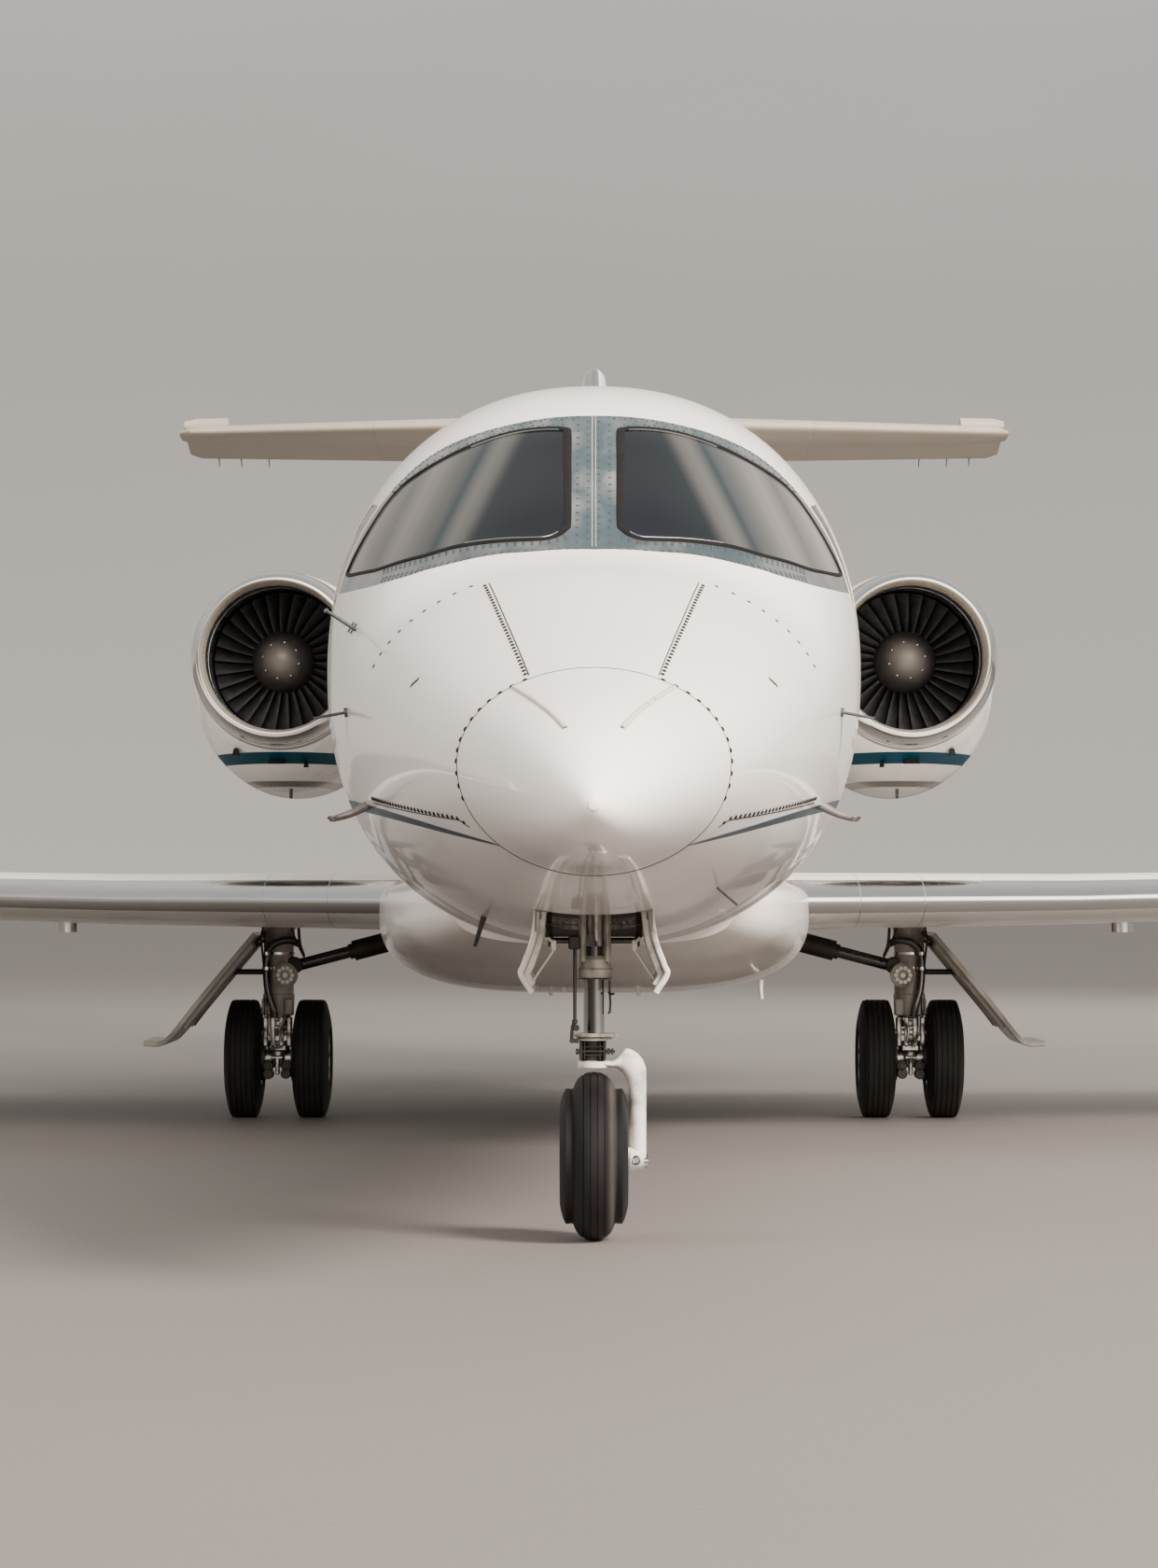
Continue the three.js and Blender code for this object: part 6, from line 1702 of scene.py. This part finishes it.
steering_rod = joined(
    bar(0.0046, 14, (-0.0494, 1.905, 0.765), (-0.0494, 1.905, 0.566)),
    box_shape((-0.066, 1.895, 0.752), (-0.036, 1.96, 0.788), 0.004),
    upright(-0.0494, 1.905, (0.56, 0.0035), (0.562, 0.0075), (0.57, 0.0075), (0.572, 0.0035), count=16),
    disc((-0.0455, 1.892, 0.55), 0.0082, 0.026, 20),
    box_shape((-0.06, 1.894, 0.522), (-0.054, 1.912, 0.558), 0.002),
    bar(0.0045, 12, (-0.0494, 1.905, 0.566), (-0.056, 1.905, 0.548), (-0.057, 1.905, 0.522), (-0.052, 1.906, 0.517),
        (-0.04, 1.908, 0.515)),
    disc((-0.057, 1.896, 0.517), 0.0065, 0.016, 16))
hook = joined(plate([(0.04, 0.672), (0.0405, 0.645), (0.0425, 0.612), (0.041, 0.59), (0.036, 0.586)],
        (1.94, 1.952), 0.006, 0.001),
    bar(0.0028, 10, (0.038, 1.938, 0.64), (0.046, 1.93, 0.6365), (0.052, 1.926, 0.638)))
piston = upright(0.0, NOSE_STATION, (0.515, 0.0271), (0.69, 0.0271), (0.69, 0.02), (0.76, 0.02))
collar = joined(
    upright(0.0, NOSE_STATION, (0.526, 0.05), (0.5265, 0.0585), (0.5278, 0.06), (0.5335, 0.06), (0.5348, 0.0585),
        (0.535, 0.03), count=64),
    upright(0.0, NOSE_STATION, (0.517, 0.045), (0.5172, 0.0565), (0.5205, 0.057), (0.521, 0.045), count=64),
    upright(0.0, NOSE_STATION, (0.52, 0.046), (0.527, 0.046), count=64))
hub = joined(
    upright(-0.003, NOSE_STATION, (0.464, 0.02), (0.4645, 0.03), (0.47, 0.0335), (0.516, 0.035), (0.52, 0.03)),
    *[box_shape((low, 1.908, 0.4665), (high, 1.932, 0.518), 0.003)
        for low, high in ((-0.0375, -0.029), (-0.026, -0.0225), (0.0125, 0.018), (0.0225, 0.031))],
    *[box_shape((-0.026, 1.909, h - 0.0022), (0.022, 1.93, h + 0.0022), 0.001)
        for h in (0.501, 0.48)],
    pin(0.004, 12, -0.044, 0.054, 1.912, 0.489),
    pin(0.0075, 6, -0.047, -0.0385, 1.912, 0.489),
    pin(0.008, 6, 0.033, 0.042, 1.912, 0.489),
    pin(0.0085, 6, 0.045, 0.05, 1.912, 0.489))
fork = joined(
    fork_arm(),
    upright(0.0, NOSE_STATION, (0.446, 0.034), (0.447, 0.0425), (0.463, 0.0435), (0.4645, 0.03), count=56),
    pin(0.0305, 40, 0.0945, 0.129, NOSE_STATION, NOSE_RADIUS - 0.006),
    pin(0.024, 32, 0.072, 0.096, NOSE_STATION, NOSE_RADIUS))
fork_nuts = joined(
    disc((0.1085, NOSE_STATION - 0.034, 0.2085), 0.009, 0.012, 24, 0.3),
    pin(0.019, 6, 0.127, 0.1385, NOSE_STATION, 0.204),
    pin(0.008, 16, 0.129, 0.14, NOSE_STATION - 0.012, 0.206))
fork_ring = disc((0.1085, NOSE_STATION - 0.031, 0.2085), 0.0125, 0.006, 24)
nose_door_line = curve_through(NOSE_DOOR_CURVE, 46)
nose_door = joined(
    plate(nose_door_line, NOSE_DOOR_STATIONS, NOSE_DOOR_THICK, 0.004),
    *[plate(nose_door_line[(nose_door_line[:, 1] < 0.868) & (nose_door_line[:, 1] > 0.665)] - (0.014, 0.004),
            (station - 0.01, station + 0.01), 0.02, 0.003) for station in (1.8, 1.93, 2.11, 2.24)])
nose_door_liner = plate(
    nose_door_line[(nose_door_line[:, 1] < 0.88) & (nose_door_line[:, 1] > 0.655)] - (0.0085, 0.003),
    (NOSE_DOOR_STATIONS[0] + 0.018, NOSE_DOOR_STATIONS[1] - 0.018), 0.004, 0.001)
nose_door_brace = joined(
    bar(0.0032, 12, (0.102, 1.86, 0.754), (0.162, 1.86, 0.665)),
    box_shape((0.0975, 1.85, 0.75), (0.112, 1.872, 0.778), 0.003),
    bar(0.004, 10, (0.105, 1.85, 0.77), (0.119, 1.852, 0.783)))
bay_tube = pin(0.0085, 20, -0.114, 0.114, 2.285, 0.77)
bay_fittings = both(joined(
        box_shape((0.108, 2.255, 0.754), (0.122, 2.298, 0.786), 0.003),
        box_shape((0.112, 2.275, 0.78), (0.122, 2.29, 0.94), 0.002),
        bar(0.0012, 8, (0.04, 1.8, 0.816), (0.09, 1.8, 0.818), (0.134, 1.8, 0.815), count=12),
        bar(0.004, 8, (0.134, 1.99, 0.93), (0.124, 1.985, 0.84), (0.12, 1.98, 0.78), count=12)))

piece("nose_tyre_tread", tyre(NOSE_SECTION, nose_centre, NOSE_GROOVES, 0.55), nose_tyre_rubber, "tyre",
    "nose_wheels",
    stands_for="nose_tyre", sharp=50)
piece("nose_wheel_rim", nose_wheel(nose_centre), cream, "gear_white", "nose_wheels", stands_for="nose_wheel")
piece("nose_wheel_bolts", joined(wheel_bolts(nose_centre, 0.041, 0.046, 8, 0.005),
        wheel_bolts(nose_centre, -0.041, 0.046, 8, 0.005)), bright, "gear_metal",
    "nose_wheels")
piece("nose_axle", pin(NOSE_AXLE, 28, -0.058, 0.11, NOSE_STATION, NOSE_RADIUS),
    forging, "gear_metal", "nose_leg")
piece("nose_casting", casting, casting_paint, "gear_metal", stands_for="nose_strut")
piece("nose_casting_seal", casting_foot, black_gloss, "tyre")
piece("nose_bay_finger", finger, cream, "gear_white")
piece("nose_steering_rod", steering_rod, core_metal, "gear_metal")
piece("nose_hook", hook, core_metal, "gear_metal")
piece("nose_piston", piston, chrome, "bare_metal", "nose_leg", stands_for="nose_fork")
piece("nose_collar", collar, casting_paint, "gear_metal", "nose_leg")
piece("nose_hub", hub, core_metal, "gear_metal", "nose_leg")
piece("nose_fork_arm", fork, cream, "gear_white", "nose_leg")
piece("nose_fork_nuts", fork_nuts, bright, "bare_metal", "nose_leg")
piece("nose_fork_ring", fork_ring, black_gloss, "tyre", "nose_leg")
pair("nose_door_plate_#", nose_door, cream, "gear_white", stands_for="nose_gear_door_#")
pair("nose_door_liner_#", nose_door_liner, casting_paint, "gear_white")
pair("nose_door_brace_#", nose_door_brace, cream, "gear_white")
# Black gloss, darker than the bay's sheet: painted shade, so the tube reads as the shaded bay does.
piece("nose_bay_tube", bay_tube, black_gloss, "gear_white")
piece("nose_bay_fittings", bay_fittings, core_metal, "gear_metal")

# Probes, seams and small fittings
# What is screwed to the skin: pitot masts, vanes, drains, lightning strips on the radome, the seams
# and screws of the two nose doors, engine scoops and latches, and wicks on the elevators.

PANEL_EDGE = np.array([(0.836, 0.152), (2.12, 0.276)])            # station, side distance
SIDE_EDGE = np.array([(0.93, 1.0545), (0.985, 1.072), (2.356, 1.139)])    # station, height
SCREW_RING, RIVET_GAP = 2.163, 0.04
WICK_PLACES, WICK_END = (1.786, 1.937, 2.06), 14.825


def seam(flat, radius=0.0016):
    """A dark sealed joint: a thin bead along flat (station, angle x ARC) points."""
    return rod(hull(flat[:, 0], flat[:, 1] / ARC), radius, 6)


def tapered(*points, sizes, count=18, sides=14):
    """A rod whose radius follows the sizes along its length."""
    path = line(*points, count=count)
    return rod(path, np.interp(np.linspace(0, 1, len(path)), np.linspace(0, 1, len(sizes)), sizes), sides)


def vane(points, thick):
    """A flat blade: an outline of (side, station, height) given twice, apart by its thickness in z."""
    outline = np.array(points) - (0, MIDDLE, 0)
    rows = [outline * 0.1 + outline.mean(0) * 0.9, outline, outline, outline * 0.1 + outline.mean(0) * 0.9]
    lift = np.array([-0.5, -0.35, 0.35, 0.5])[:, None, None] * np.array([0, 0, thick])
    return loft(np.array(rows) + lift, closed=True, caps=True)


def across_top(edge, count=60):
    """The line through (station, side distance) points, on the upper skin."""
    station = np.linspace(edge[0, 0], edge[-1, 0], count)
    side = np.interp(station, *edge.T)
    return np.column_stack([station, angle_at_side(station, side, True) * ARC])


def along_side(edge, count=60):
    """The line through (station, height) points, on the side skin."""
    station = np.linspace(edge[0, 0], edge[-1, 0], count)
    return np.column_stack([station, angle_at_height(station, np.interp(station, *edge.T)) * ARC])


# Near black heads for the nose's screws, rivets and latches.
dark_head = clouded("near_black_heads", (90, 3), ((0.003, 0.003, 0.003), (0.03, 0.027, 0.024)), (0.5, 0.8, 50, 2),
    IOR=1.3)
ring_turn = np.linspace(-np.pi, np.pi, 181)
radome_seam = rod(hull(np.full(181, RADOME_END), ring_turn, 0.0004), 0.0017, 6)
panel_line, side_line = across_top(PANEL_EDGE), along_side(SIDE_EDGE)
panel_rivets = spaced(panel_line + (0, -0.017), RIVET_GAP)
side_rivets = spaced(side_line + (0, 0.016), 0.052)
ring_turn = np.radians(np.arange(-18, 66, 6.5))
radome_screws = np.column_stack([np.full(len(ring_turn), RADOME_END + 0.01), ring_turn * ARC])
frame_turn = np.arange(0.3, 1.02, 0.055 / 0.62)
frame_screws = np.column_stack([np.full(len(frame_turn), SCREW_RING), frame_turn * ARC])
screw_points, screw_normals = two_sides(*on_hull(np.vstack([radome_screws, frame_screws])))
rivet_points, rivet_normals = two_sides(*on_hull(np.vstack([panel_rivets, side_rivets])))
strip_station, strip_x = np.linspace(0.29, 0.79, 40), np.linspace(0.063, 0.188, 40)
strip_flat = np.column_stack([strip_station, angle_at_side(strip_station, strip_x, True) * ARC])
strip_ends, strip_normals = two_sides(*on_hull(strip_flat[[0, -1]]))
latch_points, latch_normals = two_sides(*on_hull(along_side(np.array([(1.515, 1.43), (1.535, 1.418)]), 3)))
piece("nose_seams", joined(radome_seam, both(joined(seam(panel_line), seam(side_line)))), rubber, "composite_white")
piece("nose_screws", studs(screw_points, screw_normals, 0.0066, 0.0024, 8), dark_head, "bare_metal")
piece("nose_rivets", studs(rivet_points, rivet_normals, 0.0056, 0.0045, 6), dark_head, "bare_metal")
piece("nose_latches", studs(latch_points, latch_normals, 0.008, 0.0016, 10), dark_head, "bare_metal")
# A tan sealant bed wider than each strip, its exposed edge a painted shadow line beside the strip.
piece("radome_strip_shadow_beds", both(rod(hull(strip_flat[:, 0], strip_flat[:, 1] / ARC, 0.0095), 0.012, 12)), sealant,
    "composite_white")
piece("radome_lightning_strips", both(rod(hull(strip_flat[:, 0], strip_flat[:, 1] / ARC, 0.0), 0.005, 10)), cream,
    "bare_metal")
piece("radome_strip_screws", studs(strip_ends + strip_normals * 0.003, strip_normals, 0.0045, 0.0012, 8),
    rivet_metal,
    "bare_metal")

mast_metal = clouded("probe_metal", (40, 4), ((0.1, 0.09, 0.08), (0.3, 0.28, 0.26)), (0.2, 0.45), Metallic=0.5)
pitot = joined(
    tapered((0.6, 2.64, 1.15), (0.66, 2.64, 1.118), (0.708, 2.63, 1.102), (0.716, 2.61, 1.1),
        sizes=(0.015, 0.011, 0.009, 0.008)),
    tapered((0.717, 2.63, 1.1), (0.716, 2.56, 1.1), (0.714, 2.45, 1.1), sizes=(0.0085, 0.0085, 0.005)))
pitot_boot = disc((0.716, 2.444, 1.1), 0.005, 0.02, 16)
vanes = joined(
    tapered((0.66, 2.59, 1.394), (0.72, 2.596, 1.384), (0.768, 2.604, 1.375), sizes=(0.004, 0.0042, 0.003)),
    vane([(0.69, 2.59, 1.388), (0.69, 2.64, 1.388), (0.768, 2.65, 1.375), (0.768, 2.604, 1.375)], 0.004),
    bar(0.013, 20, (0.664, 2.595, 1.393), (0.684, 2.595, 1.39)))
icing_probe = joined(
    tapered((-0.65, 2.69, 1.618), (-0.7, 2.684, 1.65), (-0.735, 2.68, 1.673), sizes=(0.0055, 0.005, 0.0045)),
    tapered((-0.742, 2.7, 1.676), (-0.738, 2.68, 1.676), (-0.735, 2.65, 1.676), sizes=(0.005, 0.006, 0.004)),
    tapered((-0.672, 2.686, 1.612), (-0.656, 2.688, 1.64), sizes=(0.003, 0.003)),
    tapered((-0.679, 2.686, 1.616), (-0.663, 2.688, 1.644), sizes=(0.003, 0.003)))
low_probe = tapered((-0.298, 2.64, 0.845), (-0.312, 2.64, 0.8), (-0.324, 2.636, 0.76), (-0.325, 2.6, 0.754),
    sizes=(0.01, 0.007, 0.006, 0.005))
low_blade = vane([(0.308, 1.8, 0.917), (0.308, 1.88, 0.917), (0.366, 1.87, 0.868), (0.368, 1.836, 0.868)], 0.008)
drains = joined(*[tapered((x, 6.42, 0.58), (x, 6.424, 0.545), (x + 0.003, 6.434, foot), sizes=(0.01, 0.007, 0.007))
        for x, foot in ((-0.157, 0.526), (0.157, 0.526), (-0.11, 0.54), (0.6, 0.512))],
    vane([(-0.196, 6.1, 0.56), (-0.196, 6.22, 0.56), (-0.2, 6.21, 0.552), (-0.2, 6.12, 0.552)], 0.02))
piece("pitot_masts", both(pitot), mast_metal, "paint_white")
piece("pitot_mouths", both(pitot_boot), black_gloss, "bare_metal")
piece("angle_vanes", both(vanes), rivet_metal, "bare_metal")
piece("icing_probe", icing_probe, rivet_metal, "bare_metal")
piece("lower_probes", joined(low_probe, low_blade), core_metal, "bare_metal")
piece("belly_drains", drains, cream, "paint_white")


def on_cowl(x, z):
    """Where a line from ahead at (x, z) first meets the cowl, nearly."""
    points = cowl_shape[0]
    near = points[(np.abs(points[:, 0] - x) < 0.03) & (np.abs(points[:, 2] - z) < 0.02)]
    return near[:, 1].min() + MIDDLE


def scoop(x, z, wide, tall):
    """A wedge on the skin with a dark mouth: its roof runs back into the cowl."""
    station = on_cowl(x, z)
    rows = [[(x - wide * a, station - 0.012 + back, z - tall / 2),
            (x + wide * a, station - 0.012 + back, z - tall / 2),
            (x + wide * a * 0.55, station - 0.006 + back, z + tall / 2), (x - wide * a * 0.55,
                station - 0.006 + back, z + tall / 2)]
        for a, back in ((0.5, 0.0), (0.5, 0.05))]
    return loft(np.array(rows) - (0, MIDDLE, 0), closed=True, caps=True)


scoops = joined(scoop(1.337, 1.4425, 0.072, 0.022), scoop(1.508, 1.481, 0.03, 0.03),
    scoop(1.215, 1.428, 0.02, 0.02))
cowl_latch = scoop(1.6, 1.671, 0.022, 0.05)
cowl_drain = tapered((1.287, 9.3, 1.33), (1.287, 9.303, 1.3), (1.287, 9.308, 1.29), sizes=(0.008, 0.007, 0.006))
wick_points, wicks = elevator[0], []
for x in WICK_PLACES:
    near = wick_points[np.abs(wick_points[:, 0] - x) < 0.3]
    tip = near[np.argsort(near[:, 1])[-8:]]
    y = np.interp(x, *tip[np.argsort(tip[:, 0])][:, :2].T)
    z = np.interp(x, tip[np.argsort(tip[:, 0])][:, 0], tip[np.argsort(tip[:, 0])][:, 2])
    wicks.append(tapered((x, y + MIDDLE - 0.01, z + 0.002), (x, min(y + MIDDLE + 0.05, WICK_END - 0.01), z - 0.02),
            (x, min(y + MIDDLE + 0.1, WICK_END), z - 0.045), sizes=(0.004, 0.003, 0.002)))
pair("cowl_drains_#", cowl_drain, core_metal, "bare_metal")
pair("cowl_scoops_#", joined(scoops, cowl_latch), rubber, "composite_white")
pair("elevator_wicks_#", joined(*wicks), black_gloss, "tyre", "elevator_#_body")

# The interior
# Padded leather seats on painted frames, a carpeted floor, a dark hood over three blank screens with
# two control wheels, seen dimly through the glass and the open door.

FLOOR_TOP = 1.0103
# (side distance, station, which way the back lies)
SEATS = [("pilot", -0.3, 3.42, 1), ("pilot", 0.3, 3.42, 1)] + [
    ("cabin", side * 0.33, station, facing)
    for station, facing in ((5.35, -1), (6.5, 1), (7.35, 1), (8.1, 1)) for side in (1, -1)]
# half width, half depth, half thickness, ahead, height, lean in degrees
PADS = [("cushion", 0.195, 0.19, 0.062, -0.06, 0.315, 4), ("back", 0.19, 0.27, 0.052, 0.182, 0.61, 101),
    ("headrest", 0.125, 0.075, 0.04, 0.215, 0.835, 101)]


@material("cabin_carpet")
def carpet(place, x, y, z):
    """Short wool pile."""
    pile = place.noise(700, 3)
    return {"Base_Color": pile.mix((0.075, 0.068, 0.06), (0.19, 0.175, 0.155)), "Roughness": 0.95 - pile * 0.1,
        "Normal": pile.bump(0.002, 0.8)}


leather = clouded("seat_leather", (9, 4), ((0.3, 0.235, 0.17), (0.44, 0.36, 0.275)), (0.42, 0.62, 900, 2),
    (0.0004, 0.6, 900, 2))
hood = clouded("panel_hood", (6, 3), ((0.012, 0.012, 0.013), (0.03, 0.029, 0.028)), (0.6, 0.85, 500, 3),
    (0.0006, 0.6, 500, 3))


def pad(half, ahead, height, lean, place, facing, count=56, rows=25):
    """A pillow: a rounded rectangle in plan, drawn in between its corners and crowned above."""
    around = whole_turn(count)[None]
    rise = np.linspace(-np.pi / 2, np.pi / 2, rows)[:, None]
    square = lambda value, power: np.sign(value) * np.abs(value) ** power
    pull = 1 - 0.03 * np.cos(2 * around) ** 2
    x = half[0] * square(np.cos(around), 0.35) * pull * square(np.cos(rise), 0.35)
    y = half[1] * square(np.sin(around), 0.35) * pull * square(np.cos(rise), 0.35)
    crown = 0.72 + 0.28 * np.clip(1 - (x / half[0]) ** 2, 0, 1) * np.clip(1 - (y / half[1]) ** 2, 0, 1)
    z = half[2] * square(np.sin(rise), 0.75) * crown
    for line_at in (-0.36, 0.36):
        z = z - 0.1 * half[2] * np.exp(-((x / half[0] - line_at) / 0.035) ** 2) * np.sign(z) * (
            np.abs(np.cos(rise)) > 0.2)
    points = np.stack([x, y, z], -1)
    turn = np.radians(lean)
    spin = np.array([[1, 0, 0], [0, np.cos(turn), -np.sin(turn)], [0, np.sin(turn), np.cos(turn)]])
    points = points @ spin.T + (0, ahead, height)
    piping = np.column_stack([half[0] * square(np.cos(around[0]), 0.35) * pull[0],
            half[1] * square(np.sin(around[0]), 0.35) * pull[0], 0 * around[0]])
    piping = np.vstack([piping, piping[:1]]) @ spin.T + (0, ahead, height)
    set_down = lambda shape: (shape[0] * (1, facing, 1) + (place[0], place[1] - MIDDLE, FLOOR_TOP), shape[1])
    return set_down(loft(points, closed=True)), set_down(rod(piping, 0.0035, 8))


def seat_frame(x, station, facing):
    """A pedestal on rails, a tray, a back shell and two arm rests."""
    parts = [box_shape((low, MIDDLE + front, foot), (high, MIDDLE + rear, top), bevel)
        for low, high, front, rear, foot, top, bevel in (
            (-0.15, -0.11, -0.15, 0.15, 0, 0.024, 0.003), (0.11, 0.15, -0.15, 0.15, 0, 0.024, 0.003),
            (-0.12, 0.12, -0.12, 0.11, 0.024, 0.225, 0.012), (-0.185, 0.185, -0.235, 0.13, 0.225, 0.258, 0.01),
            (-0.22, -0.18, -0.18, 0.15, 0.44, 0.475, 0.01), (0.18, 0.22, -0.18, 0.15, 0.44, 0.475, 0.01))]
    shell = np.array([(0.145, 0.235), (0.235, 0.33), (0.262, 0.52), (0.292, 0.7), (0.296, 0.865)])
    curve = curve_through(shell, 30)
    back = plate(curve, (MIDDLE - 0.175, MIDDLE + 0.175), 0.014, 0.003)
    parts.append((back[0][:, [1, 0, 2]], back[1][:, ::-1]))
    for side in (-0.2, 0.2):
        parts.append(rod([(side, 0.12, 0.45), (side, 0.16, 0.38), (side, 0.15, 0.26)], 0.012, 12))
    points, faces = joined(*parts)
    return points * (1, facing, 1) + (x, station - MIDDLE, FLOOR_TOP), faces


frames, pipings = {"pilot": [], "cabin": []}, []
for number, (kind, x, station, facing) in enumerate(SEATS):
    for label, wide, deep, thick, ahead, height, lean in PADS:
        cushion, piping = pad((wide, deep, thick), ahead, height, lean, (x, station), facing)
        pipings.append(piping)
        piece(f"seat_{number + 1}_{label}", cushion, leather, "seat_leather", sharp=60)
    frames[kind].append(seat_frame(x, station, facing))
for kind, shapes in frames.items():
    piece(f"{kind}_seat_frames", joined(*shapes), hood, "gear_metal", stands_for=f"{kind}_seats")
piece("seat_piping", joined(*pipings), leather, "seat_leather")
for name, finish in (("cabin_floor", carpet), ("instrument_panel", hood), ("aft_bulkhead", trim)):
    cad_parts[name].material_slots[0].material = finish
screens = joined(*[box_shape((x - 0.115, 3.021, 1.47), (x + 0.115, 3.027, 1.64), 0.003)
        for x in (-0.3, 0.0, 0.3)])
yokes = joined(*[joined(
            bar(0.016, 16, (x, 3.03, 1.38), (x, 3.12, 1.36), count=3),
            bar(0.014, 14, (x - 0.14, 3.135, 1.47), (x - 0.14, 3.13, 1.37), (x - 0.06, 3.125, 1.345),
                (x, 3.122, 1.355), (x + 0.06, 3.125, 1.345), (x + 0.14, 3.13, 1.37), (x + 0.14, 3.135, 1.47),
                count=50))
        for x in (-0.3, 0.3)])
piece("cockpit_screens", screens, black_gloss, "cabin_trim")
piece("control_wheels", yokes, hood, "gear_metal")
